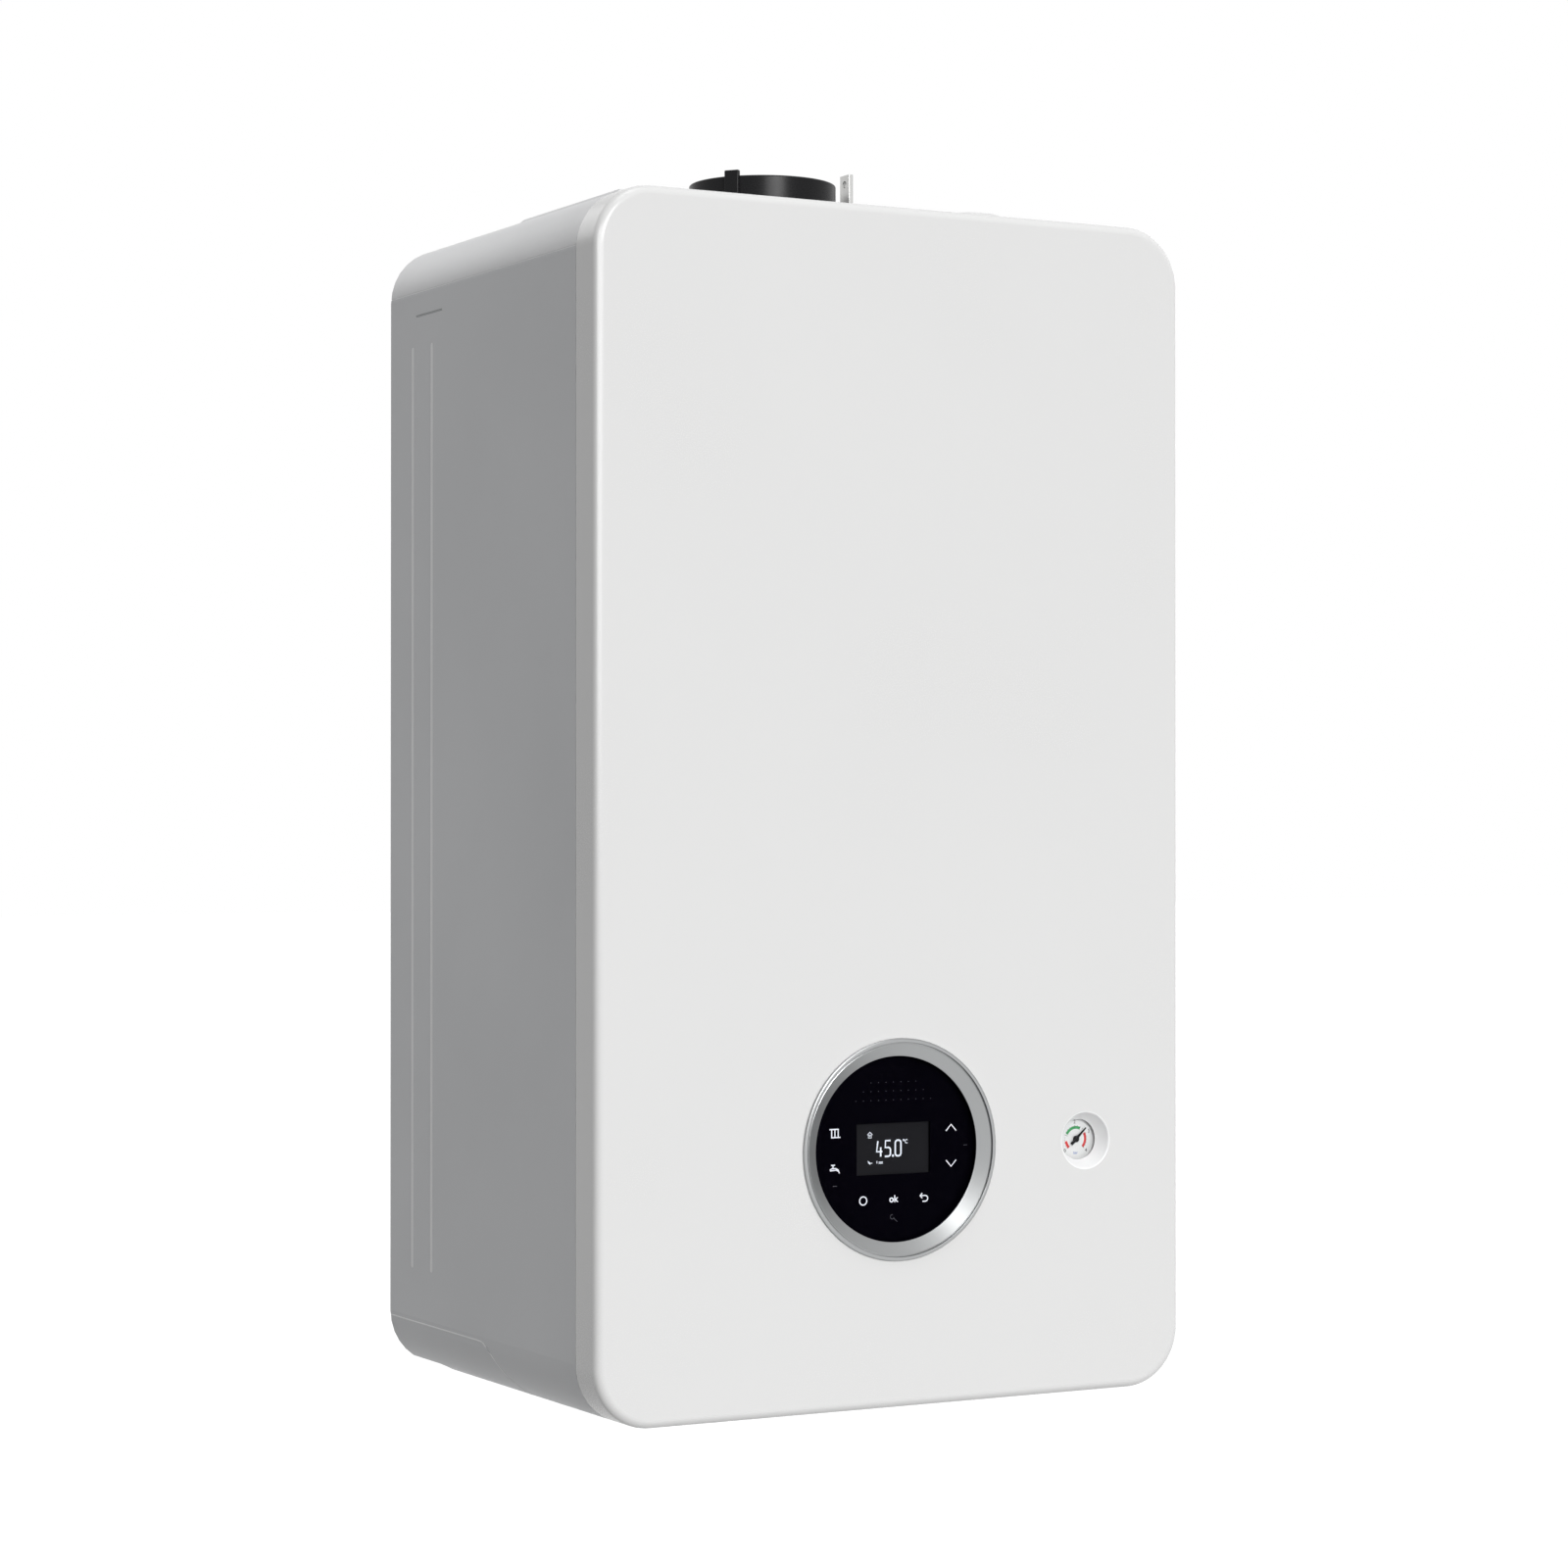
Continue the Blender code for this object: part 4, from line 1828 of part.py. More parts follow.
def vessel_parts():
    """The flat round expansion vessel against the rear panel, and its hose to the pump."""
    back = WEB_FRONT - CLEARANCE
    depth = VESSEL_FRONT + back
    place = (0.0, -VESSEL_FRONT, VESSEL_Z)

    def shell(inset):
        rim = VESSEL_RIM
        return [
            (0.0, inset),
            (VESSEL_CROWN_RADIUS - inset, inset),
            (VESSEL_RADIUS - rim / 3 - inset, rim / 4 + inset),
            (VESSEL_RADIUS - inset, rim),
            (VESSEL_RADIUS - inset, depth - rim),
            (VESSEL_RADIUS - rim / 3 - inset, depth - rim / 4 - inset),
            (VESSEL_CROWN_RADIUS - inset, depth - inset),
            (0.0, depth - inset),
        ]

    vessel = turned("expansion_vessel", shell(0.0), place, "Y", RED_PAINT, LARGE_SIDES)
    port_y = -VESSEL_FRONT + depth / 2
    low = VESSEL_Z - VESSEL_RADIUS
    cut(
        vessel,
        turned("expansion_vessel_hollow", shell(VESSEL_SHEET), place, "Y", sides=LARGE_SIDES),
        cylinder(
            "expansion_vessel_port",
            VESSEL_PORT_RADIUS,
            low - OVERRUN,
            low + VESSEL_RIM,
            (0.0, port_y),
            "Z",
            sides=SMALL_SIDES,
        ),
    )
    route = (
        (0.0, port_y, low - CLEARANCE),
        (0.0, port_y, HOSE_BEND_HIGH),
        (HOSE_END_X, PIPE_Y, HOSE_BEND_LOW),
        (HOSE_END_X, PIPE_Y, PUMP_Z + PUMP_WALL),
    )
    hose = tube("vessel_hose", route, HOSE_RADIUS, RUBBER)
    cut(hose, pump_saddle("vessel_hose_saddle"))


def pump_saddle(name):
    """A cutter with the pump's round outside, for what stands on it."""
    return cylinder(
        name,
        PUMP_RADIUS + CLEARANCE,
        -PUMP_FRONT - OVERRUN,
        -PUMP_BACK + OVERRUN,
        (PUMP_X, PUMP_Z),
        "Y",
    )


def hydraulic_parts():
    plates = block("plate_exchanger", PLATES_LOW, PLATES_HIGH, STEEL, PLATES_CORNER, "Y")
    lug_z = (PLATES_LOW[2] + PLATES_HIGH[2]) / 2
    lug_half = PLATES_LUG_WIDTH / 2
    add(
        plates,
        block(
            "plate_exchanger_lug",
            (-lug_half, PLATES_HIGH[1] - PLATES_WALL / 2, lug_z - PLATES_LUG_HEIGHT / 2),
            (lug_half, WEB_FRONT - CLEARANCE, lug_z + PLATES_LUG_HEIGHT / 2),
        ),
    )
    inner_low = [v + PLATES_WALL for v in PLATES_LOW]
    inner_high = [v - PLATES_WALL for v in PLATES_HIGH]
    inner_corner = PLATES_CORNER - PLATES_WALL
    cut(plates, block("plate_exchanger_hollow", inner_low, inner_high, None, inner_corner, "Y"))
    plates_y = (PLATES_LOW[1] + PLATES_HIGH[1]) / 2
    for number, x in enumerate((HOT_X, COLD_X), 1):
        port = cylinder(
            f"plate_exchanger_port_{number}",
            PLATES_PORT_RADIUS,
            PLATES_LOW[2] - OVERRUN,
            PLATES_LOW[2] + PLATES_WALL * 2,
            (x, plates_y),
            "Z",
            sides=SMALL_SIDES,
        )
        cut(plates, port)
    pump_parts()
    diverter_parts(plates_y)
    relief_parts()
    trap_parts()
    water_pipes(plates_y)


def pump_parts():
    middle = (PUMP_X, PUMP_Z)
    front = -PUMP_FRONT
    back = -PUMP_BACK
    body = cylinder("pump_body", PUMP_RADIUS, front, back, middle, "Y", CAST_IRON)
    add(
        body,
        block(
            "pump_body_lug",
            (PUMP_X - PUMP_LUG_WIDTH / 2, back - PUMP_WALL / 2, PUMP_Z - PUMP_LUG_HEIGHT / 2),
            (PUMP_X + PUMP_LUG_WIDTH / 2, WEB_FRONT - CLEARANCE, PUMP_Z + PUMP_LUG_HEIGHT / 2),
        ),
        cylinder(
            "pump_body_outlet",
            PUMP_PORT_RADIUS,
            PUMP_Z,
            PUMP_OUTLET_Z,
            (PUMP_OUTLET_X, PIPE_Y),
            "Z",
            sides=SMALL_SIDES,
        ),
    )
    cut(
        body,
        cylinder(
            "pump_body_hollow",
            PUMP_RADIUS - PUMP_WALL,
            front - OVERRUN,
            back - PUMP_WALL,
            middle,
            "Y",
        ),
        cylinder(
            "pump_body_outlet_bore",
            PUMP_PORT_BORE,
            PUMP_Z,
            PUMP_OUTLET_Z + OVERRUN,
            (PUMP_OUTLET_X, PIPE_Y),
            "Z",
            sides=SMALL_SIDES,
        ),
        cylinder(
            "pump_body_inlet_bore",
            PUMP_PORT_BORE,
            PUMP_Z - PUMP_RADIUS - OVERRUN,
            PUMP_Z,
            (RETURN_X, PIPE_Y),
            "Z",
            sides=SMALL_SIDES,
        ),
    )
    motor_back = front - CLEARANCE
    motor_front = motor_back - PUMP_MOTOR_LENGTH
    motor_profile = [
        (0.0, 0.0),
        (PUMP_MOTOR_RADIUS - PUMP_MOTOR_EDGE * 2, 0.0),
        (PUMP_MOTOR_RADIUS - PUMP_MOTOR_EDGE, PUMP_MOTOR_EDGE),
        (PUMP_MOTOR_RADIUS - PUMP_MOTOR_EDGE, PUMP_MOTOR_LENGTH - PUMP_WALL),
        (PUMP_RADIUS, PUMP_MOTOR_LENGTH - PUMP_WALL),
        (PUMP_RADIUS, PUMP_MOTOR_LENGTH),
        (0.0, PUMP_MOTOR_LENGTH),
    ]
    motor = turned("pump_motor", motor_profile, (PUMP_X, motor_front, PUMP_Z), "Y", BLACK_PLASTIC)
    terminal_left = PUMP_X - PUMP_TERMINAL / 2
    add(
        motor,
        block(
            "pump_motor_terminals",
            (terminal_left, motor_front + PUMP_MOTOR_EDGE * 2, PUMP_Z + PUMP_MOTOR_RADIUS / 2),
            (
                terminal_left + PUMP_TERMINAL,
                motor_front + PUMP_MOTOR_EDGE * 2 + PUMP_TERMINAL,
                PUMP_Z + PUMP_MOTOR_RADIUS + PUMP_MOTOR_EDGE * 2,
            ),
        ),
    )
    wheel_back = back - PUMP_WALL * 2
    wheel_front = wheel_back - PUMP_WHEEL_DEPTH
    disc_front = wheel_front - WHEEL_DISC
    wheel = cylinder(
        "pump_impeller", PUMP_WHEEL_RADIUS, disc_front, wheel_front, middle, "Y", DARK_PLASTIC
    )
    vanes = outlined(
        "pump_impeller_vanes",
        vane_outline(PUMP_WHEEL_HUB, PUMP_WHEEL_RADIUS - WHEEL_DISC, PUMP_WHEEL_VANES),
        -PUMP_WHEEL_DEPTH / 2,
        PUMP_WHEEL_DEPTH / 2,
        "Y",
    )
    vanes.location = (PUMP_X, wheel_front - WHEEL_DISC / 2 + PUMP_WHEEL_DEPTH / 2, PUMP_Z)
    add(
        wheel,
        vanes,
        cylinder(
            "pump_impeller_shaft",
            FAN_SHAFT_RADIUS,
            motor_back + CLEARANCE,
            wheel_front,
            middle,
            "Y",
            sides=SMALL_SIDES,
        ),
    )
    vent_profile = [
        (0.0, VENT_LOW),
        (VENT_RADIUS, VENT_LOW),
        (VENT_RADIUS, VENT_TOP),
        (VENT_CAP_RADIUS, VENT_TOP),
        (VENT_CAP_RADIUS, VENT_TOP + VENT_CAP_RISE),
        (0.0, VENT_TOP + VENT_CAP_RISE),
    ]
    vent = turned("air_vent", vent_profile, (VENT_X, PIPE_Y, 0.0), "Z", BRASS)
    cut(vent, pump_saddle("air_vent_saddle"))


def diverter_parts(plates_y):
    valve = block("diverter_valve", DIVERTER_LOW, DIVERTER_HIGH, BRASS, DIVERTER_EDGE)
    middle_z = (DIVERTER_LOW[2] + DIVERTER_HIGH[2]) / 2
    arm_low = middle_z - DIVERTER_ARM_HEIGHT / 2
    arm_high = middle_z + DIVERTER_ARM_HEIGHT / 2
    inside_x = DIVERTER_HIGH[0] - DIVERTER_OVERLAP
    arm_left = DIVERTER_ARM_RIGHT - DIVERTER_ARM_HEIGHT
    add(
        valve,
        block(
            "diverter_valve_arm",
            (inside_x, DIVERTER_HIGH[1] - DIVERTER_OVERLAP, arm_low),
            (DIVERTER_ARM_RIGHT - DIVERTER_EDGE, plates_y + DIVERTER_EDGE, arm_high),
        ),
        block(
            "diverter_valve_riser",
            (arm_left, plates_y - DIVERTER_ARM_HEIGHT / 2, arm_low + DIVERTER_EDGE),
            (DIVERTER_ARM_RIGHT - DIVERTER_EDGE, plates_y + DIVERTER_EDGE, PLATES_LOW[2] - CLEARANCE),
        ),
    )
    actuator_back = DIVERTER_LOW[1] - CLEARANCE
    actuator_front = actuator_back - ACTUATOR_LENGTH
    block(
        "diverter_actuator",
        (DIVERTER_LOW[0] + ACTUATOR_INSET, actuator_front, DIVERTER_LOW[2] + ACTUATOR_INSET),
        (DIVERTER_HIGH[0] - ACTUATOR_INSET, actuator_back, DIVERTER_HIGH[2] - ACTUATOR_INSET),
        BLACK_PLASTIC,
        ACTUATOR_EDGE,
    )


def relief_parts():
    """The safety valve on the pump, with its drain through the bottom plate and its turning knob."""
    middle = (RELIEF_X, RELIEF_Z)
    body = cylinder("relief_valve", RELIEF_RADIUS, -RELIEF_FRONT, -RELIEF_BACK, middle, "Y", BRASS)
    add(
        body,
        cylinder(
            "relief_valve_arm",
            RELIEF_ARM_RADIUS,
            RELIEF_X,
            PUMP_X - PUMP_RADIUS + PUMP_WALL,
            (PIPE_Y - RELIEF_ARM_RADIUS, RELIEF_Z),
            "X",
            sides=SMALL_SIDES,
        ),
        cylinder(
            "relief_valve_drain",
            RELIEF_DRAIN_RADIUS,
            RELIEF_DRAIN_LOW,
            RELIEF_Z,
            (RELIEF_X, RELIEF_DRAIN_Y),
            "Z",
            sides=SMALL_SIDES,
        ),
    )
    cut(
        body,
        cylinder(
            "relief_valve_drain_bore",
            RELIEF_DRAIN_BORE,
            RELIEF_DRAIN_LOW - OVERRUN,
            RELIEF_Z - RELIEF_RADIUS - OVERRUN,
            (RELIEF_X, RELIEF_DRAIN_Y),
            "Z",
            sides=SMALL_SIDES,
        ),
        pump_saddle("relief_valve_saddle"),
    )
    knob = [
        (0.0, 0.0),
        (RELIEF_KNOB_RADIUS, 0.0),
        (RELIEF_KNOB_RADIUS, RELIEF_KNOB_LENGTH / 2),
        (RELIEF_KNOB_WAIST, RELIEF_KNOB_LENGTH),
        (0.0, RELIEF_KNOB_LENGTH),
    ]
    knob_front = -RELIEF_FRONT - CLEARANCE - RELIEF_KNOB_LENGTH
    turned("relief_knob", knob, (RELIEF_X, knob_front, RELIEF_Z), "Y", RED_PLASTIC, SMALL_SIDES)


def trap_parts():
    """The condensate trap, whose stub passes through the bottom plate, and its hose."""
    inner = TRAP_RADIUS - TRAP_WALL
    profile = [
        (TRAP_STUB_BORE, TRAP_STUB_LOW),
        (TRAP_STUB_RADIUS, TRAP_STUB_LOW),
        (TRAP_STUB_RADIUS, TRAP_LOW),
        (TRAP_RADIUS, TRAP_LOW),
        (TRAP_RADIUS, TRAP_TOP - TRAP_CAP),
        (TRAP_CAP_RADIUS, TRAP_TOP - TRAP_CAP),
        (TRAP_CAP_RADIUS, TRAP_TOP),
        (TRAP_STUB_BORE, TRAP_TOP),
        (TRAP_STUB_BORE, TRAP_TOP - TRAP_WALL),
        (inner, TRAP_TOP - TRAP_CAP),
        (inner, TRAP_LOW + TRAP_WALL),
        (TRAP_STUB_BORE, TRAP_LOW + TRAP_WALL),
    ]
    turned("condensate_trap", profile, (TRAP_X, TRAP_Y, 0.0), "Z", GREY_PLASTIC)
    offset = TRAP_HOSE_X - EXCHANGER_X
    drum_low = EXCHANGER_Z - math.sqrt(EXCHANGER_RADIUS**2 - offset**2)
    route = (
        (TRAP_X, TRAP_Y, TRAP_TOP + CLEARANCE),
        (TRAP_X, TRAP_Y, TRAP_HOSE_BEND_LOW),
        (TRAP_HOSE_X, TRAP_HOSE_Y, TRAP_HOSE_BEND_HIGH),
        (TRAP_HOSE_X, TRAP_HOSE_Y, drum_low + TRAP_HOSE_RADIUS),
    )
    hose = tube("condensate_hose", route, TRAP_HOSE_RADIUS, RUBBER, TRAP_HOSE_WALL)
    cut(hose, exchanger_saddle("condensate_hose_saddle"))


def water_pipes(plates_y):
    flow_route = ((FLOW_X, PIPE_Y, PIPE_LOW), (FLOW_X, PIPE_Y, DIVERTER_LOW[2] - CLEARANCE))
    connection("flow_pipe", flow_route, HEATING_PIPE_RADIUS, FLOW_X, COPPER)
    return_end = PUMP_Z - PUMP_RADIUS - CLEARANCE
    return_route = ((RETURN_X, PIPE_Y, PIPE_LOW), (RETURN_X, PIPE_Y, return_end))
    connection("return_pipe", return_route, HEATING_PIPE_RADIUS, RETURN_X, COPPER)
    for name, x in (("hot_water_pipe", HOT_X), ("cold_water_pipe", COLD_X)):
        plates_end = PLATES_LOW[2] - CLEARANCE
        route = (
            (x, PIPE_Y, PIPE_LOW),
            (x, PIPE_Y, WATER_BEND_LOW),
            (x, plates_y, WATER_BEND_HIGH),
            (x, plates_y, plates_end),
        )
        pipe = connection(name, route, WATER_PIPE_RADIUS, x, COPPER)
        if x == COLD_X:
            add(
                pipe,
                block(
                    "cold_water_pipe_filling_body",
                    (COLD_X + WATER_PIPE_RADIUS - PIPE_WALL, PIPE_Y - FILLING_BODY_HALF, FILLING_BODY_LOW),
                    (
                        FILLING_X + FILLING_BODY_HALF,
                        PIPE_Y + FILLING_BODY_HALF,
                        FILLING_BODY_LOW + FILLING_BODY_HEIGHT,
                    ),
                ),
            )
    knob = [
        (0.0, FILLING_KNOB_LOW),
        (FILLING_KNOB_RADIUS, FILLING_KNOB_LOW),
        (FILLING_KNOB_RADIUS, FILLING_KNOB_TOP),
        (FILLING_STEM_RADIUS, FILLING_KNOB_TOP),
        (FILLING_STEM_RADIUS, FILLING_BODY_LOW - CLEARANCE),
        (0.0, FILLING_BODY_LOW - CLEARANCE),
    ]
    turned("filling_knob", knob, (FILLING_X, PIPE_Y, 0.0), "Z", BLUE_PLASTIC, SMALL_SIDES)
    flow_up = (
        (FLOW_X, PIPE_Y, DIVERTER_HIGH[2] + CLEARANCE),
        (FLOW_X, PIPE_Y, BOILER_FLOW_BEND_LOW),
        (BOILER_FLOW_X, BOILER_PIPE_Y, BOILER_FLOW_BEND_HIGH),
        (BOILER_FLOW_X, BOILER_PIPE_Y, EXCHANGER_Z - EXCHANGER_RADIUS / 3),
    )
    flow = tube("boiler_flow_pipe", flow_up, BOILER_PIPE_RADIUS, COPPER, PIPE_WALL)
    cut(flow, exchanger_saddle("boiler_flow_pipe_saddle"))
    return_up = (
        (PUMP_OUTLET_X, PIPE_Y, PUMP_OUTLET_Z + CLEARANCE),
        (PUMP_OUTLET_X, PIPE_Y, BOILER_RETURN_BEND_LOW),
        (BOILER_RETURN_X, BOILER_PIPE_Y, BOILER_RETURN_BEND_HIGH),
        (BOILER_RETURN_X, BOILER_PIPE_Y, EXCHANGER_Z - EXCHANGER_RADIUS / 3),
    )
    back = tube("boiler_return_pipe", return_up, BOILER_PIPE_RADIUS, COPPER, PIPE_WALL)
    cut(back, exchanger_saddle("boiler_return_pipe_saddle"))
    gland = [
        (GLAND_BORE, GLAND_LOW),
        (GLAND_RADIUS, GLAND_LOW),
        (GLAND_RADIUS, BOTTOM_PLATE_HEIGHT + SHEET + CLEARANCE),
        (GLAND_FLANGE_RADIUS, BOTTOM_PLATE_HEIGHT + SHEET + CLEARANCE),
        (GLAND_FLANGE_RADIUS, BOTTOM_PLATE_HEIGHT + SHEET + CLEARANCE + GLAND_FLANGE),
        (GLAND_RADIUS, GLAND_TOP),
        (GLAND_BORE, GLAND_TOP),
    ]
    turned("cable_gland", gland, (GLAND_X, GLAND_Y, 0.0), "Z", BLACK_PLASTIC, SMALL_SIDES)


def hang_on(pivot_name, place, pieces):
    """Hangs the pieces of a moving body on an empty that lies on its joint's axis."""
    pivot = new_empty(pivot_name, place)
    pivot.parent = BOILER
    for piece in pieces:
        piece.parent = pivot
        piece.location = Vector(piece.location) - Vector(place)


clear_scene()
PARTS = new_collection("condensing_boiler")
CUTTERS = new_collection("cutters")
BOILER = new_empty("boiler", (0.0, 0.0, -BRACKET_HEIGHT))

WHITE_PAINT = new_finish("white_paint", (0.80, 0.80, 0.80), 0.35)
WHITE_PLASTIC = new_finish("white_plastic", (0.78, 0.78, 0.78), 0.4)
GREY_PAINT = new_finish("grey_paint", (0.72, 0.73, 0.74), 0.45)
GALVANISED = new_finish("galvanised_steel", (0.55, 0.57, 0.58), 0.4, 1.0)
SATIN_METAL = new_finish("satin_metal", (0.44, 0.45, 0.45), 0.3, 1.0)
BLACK_GLASS = new_finish("black_glass", (0.004, 0.004, 0.008), 0.08)
BLACK_PLASTIC = new_finish("black_plastic", (0.012, 0.012, 0.013), 0.4)
DARK_PLASTIC = new_finish("dark_plastic", (0.04, 0.042, 0.045), 0.5)
GREY_PLASTIC = new_finish("grey_plastic", (0.35, 0.36, 0.37), 0.5)
CLEAR_PLASTIC = new_finish("clear_plastic", (0.90, 0.92, 0.92), 0.05)
LCD_GREY = new_finish("lcd_grey", (0.018, 0.018, 0.020), 0.2)
BOARD_GREEN = new_finish("board_green", (0.03, 0.16, 0.07), 0.5)
STEEL = new_finish("stainless_steel", (0.56, 0.56, 0.55), 0.35, 1.0)
ALUMINIUM = new_finish("cast_aluminium", (0.60, 0.61, 0.62), 0.5, 1.0)
CAST_IRON = new_finish("cast_iron", (0.10, 0.10, 0.11), 0.6, 1.0)
BRASS = new_finish("brass", (0.68, 0.50, 0.22), 0.35, 1.0)
COPPER = new_finish("copper", (0.72, 0.36, 0.22), 0.35, 1.0)
RUBBER = new_finish("rubber", (0.02, 0.02, 0.02), 0.7)
CERAMIC = new_finish("ceramic", (0.82, 0.80, 0.76), 0.4)
RED_PAINT = new_finish("red_paint", (0.50, 0.04, 0.03), 0.4)
RED_PLASTIC = new_finish("red_plastic", (0.62, 0.03, 0.03), 0.4)
BLUE_PLASTIC = new_finish("blue_plastic", (0.03, 0.12, 0.45), 0.4)

case_parts()
control_unit = display_parts() + control_parts()
hang_on("control_pivot", (0.0, *HINGE_PLACE), control_unit)
gauge_parts()
flue_parts()
exchanger_parts()
fan_parts()
gas_parts()
vessel_parts()
hydraulic_parts()
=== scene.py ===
"""Looks of a wall-hung condensing boiler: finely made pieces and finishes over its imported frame.

Sizes are in metres in the frame's own place: X to the right, Y to the wall, Z up.
"""

import contextlib
import json
import math

import bpy
from bpy.props import FloatProperty, FloatVectorProperty, PointerProperty
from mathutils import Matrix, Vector

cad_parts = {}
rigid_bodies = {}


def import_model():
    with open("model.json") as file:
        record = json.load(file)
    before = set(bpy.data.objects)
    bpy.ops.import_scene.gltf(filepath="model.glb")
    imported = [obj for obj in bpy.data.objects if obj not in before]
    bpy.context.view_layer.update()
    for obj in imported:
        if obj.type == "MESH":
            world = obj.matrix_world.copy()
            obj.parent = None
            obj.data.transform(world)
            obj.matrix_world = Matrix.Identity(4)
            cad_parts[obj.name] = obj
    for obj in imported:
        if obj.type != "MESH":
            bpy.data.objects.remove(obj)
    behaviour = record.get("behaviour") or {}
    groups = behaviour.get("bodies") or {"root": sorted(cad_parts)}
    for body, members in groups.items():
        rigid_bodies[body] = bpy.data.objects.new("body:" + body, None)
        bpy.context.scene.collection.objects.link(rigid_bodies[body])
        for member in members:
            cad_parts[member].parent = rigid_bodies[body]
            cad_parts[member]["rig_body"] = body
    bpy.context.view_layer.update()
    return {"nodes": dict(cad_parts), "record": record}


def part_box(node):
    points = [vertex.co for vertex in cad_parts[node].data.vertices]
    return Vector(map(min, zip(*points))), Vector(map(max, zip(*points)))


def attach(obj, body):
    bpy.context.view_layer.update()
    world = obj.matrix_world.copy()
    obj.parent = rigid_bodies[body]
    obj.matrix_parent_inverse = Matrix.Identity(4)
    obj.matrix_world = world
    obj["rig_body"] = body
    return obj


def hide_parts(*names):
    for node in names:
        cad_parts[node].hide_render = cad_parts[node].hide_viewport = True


bl_info = {
    "name": "Condensing Boiler Looks",
    "version": (1, 0, 0),
    "blender": (4, 5, 0),
    "location": "View3D > Sidebar > Boiler",
    "description": "Models the visible pieces and finishes of a wall-hung condensing boiler",
    "category": "Object",
}

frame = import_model()
SLOT_COLOURS = {entry["slot"]: entry["base_color"][:3] for entry in frame["record"]["materials"]}
NODE_BODIES = {node: obj["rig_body"] for node, obj in frame["nodes"].items()}
NODE_SLOTS = {
    node: obj.data.materials[0].name.split(".")[0] if obj.data.materials else "white_paint"
    for node, obj in frame["nodes"].items()
}

MM = 0.001
SHOWN_SIDES = 160
QUARTER = math.pi / 2
SMOOTH_ANGLE = math.radians(38)
SAME_PLANE = math.radians(0.4)
SAME_POINT = 0.01 * MM
FACING = (0.0, -1.0, 0.0)
BACKWARD = (0.0, 1.0, 0.0)
UPWARD = (0.0, 0.0, 1.0)


def centre_of(node):
    low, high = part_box(node)
    return (low + high) / 2


def at_front(place, node):
    """A place brought to the depth of a piece's front face."""
    return Vector((place.x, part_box(node)[0].y, place.z))


def front_of(node):
    """The middle of a piece's front face."""
    return at_front(centre_of(node), node)


DISPLAY_PLACE = at_front(centre_of("display_ring"), "front_cover")
GAUGE_PLACE = at_front(centre_of("gauge_body"), "front_cover")


def length(name, description, millimetres):
    """A length property, given in millimetres."""
    default = millimetres * MM
    return FloatProperty(name=name, description=description, default=default, min=0.0, unit="LENGTH")


def colour(name, description, value):
    return FloatVectorProperty(
        name=name, description=description, default=value, min=0.0, max=1.0, subtype="COLOR"
    )


def level(name, description, value):
    """A plain strength that isn't under nought."""
    return FloatProperty(name=name, description=description, default=value, min=0.0)


class BoilerCoverSizes(bpy.types.PropertyGroup):
    """Sizes of the front cover and the gauge well pressed into it."""

    corner_radius: length("Corner radius", "Radius of the case's four corners seen from the front", 36)
    edge_radius: length("Edge radius", "Rounding between the front and the return", 5.2)
    sheet: length("Sheet", "Thickness of the cover's sheet", 1.5)
    display_hole: length("Display hole", "Radius of the hole behind the ring", 62.8)
    well_radius: length("Well radius", "Radius of the gauge well below its rounded rim", 16.5)
    well_rim: length("Well rim", "Rounding of the gauge well's rim", 1.2)
    well_floor: length("Well floor", "Radius of the gauge well's opening at its floor", 12.4)
    well_depth: length("Well depth", "Depth of the gauge well", 8.3)


class BoilerDisplaySizes(bpy.types.PropertyGroup):
    """Sizes of the ring, the glass and the lit marks behind it."""

    ring_radius: length("Ring radius", "Outer radius of the metal ring", 66)
    ring_proud: length("Ring height", "How far the ring stands out of the cover", 1.8)
    ring_opening: length("Ring opening", "Radius of the opening inside the ring", 55.2)
    glass_radius: length("Glass radius", "Radius of the glass", 57.5)
    glass_depth: length("Glass depth", "How far the glass lies behind the cover's face", 5.5)
    glass_thickness: length("Glass thickness", "Thickness of the glass", 2)
    mark_width: length("Mark width", "Width of the lines of a touch mark", 0.72)
    digit_width: length("Digit width", "Width of the lines of the temperature digits", 1.05)
    digit_height: length("Digit height", "Height of the temperature digits", 9.3)
    mark_colour: colour("Mark colour", "Colour of the lit touch marks", (0.86, 0.88, 0.92))
    digit_colour: colour("Digit colour", "Colour of the digits on the display", (0.78, 0.82, 0.88))


class BoilerGaugeSizes(bpy.types.PropertyGroup):
    """Sizes of the pressure gauge's print."""

    band_radius: length("Band radius", "Middle radius of the coloured bands", 7)
    band_width: length("Band width", "Width of the coloured bands", 2)
    number_radius: length("Number radius", "Distance of the numbers from the needle's pin", 10.4)
    number_size: length("Number size", "Height of the numbers", 3.1)


class BoilerFlueSizes(bpy.types.PropertyGroup):
    """Sizes of the flue collar and what stands on the top cover."""

    collar_radius: length("Collar radius", "Outer radius of the flue collar", 46.5)
    collar_wall: length("Collar wall", "Thickness of the flue collar's wall", 2.5)
    flange_radius: length("Flange radius", "Radius of the collar's flange under the top cover", 54)
    rim_radius: length("Rim rounding", "Rounding of the collar's rim", 1.1)
    tab_width: length("Tab width", "Width of the rib on the collar", 9.5)
    tab_angle: FloatProperty(
        name="Tab angle",
        description="Direction of the rib round the collar",
        default=math.radians(-142),
        subtype="ANGLE",
    )


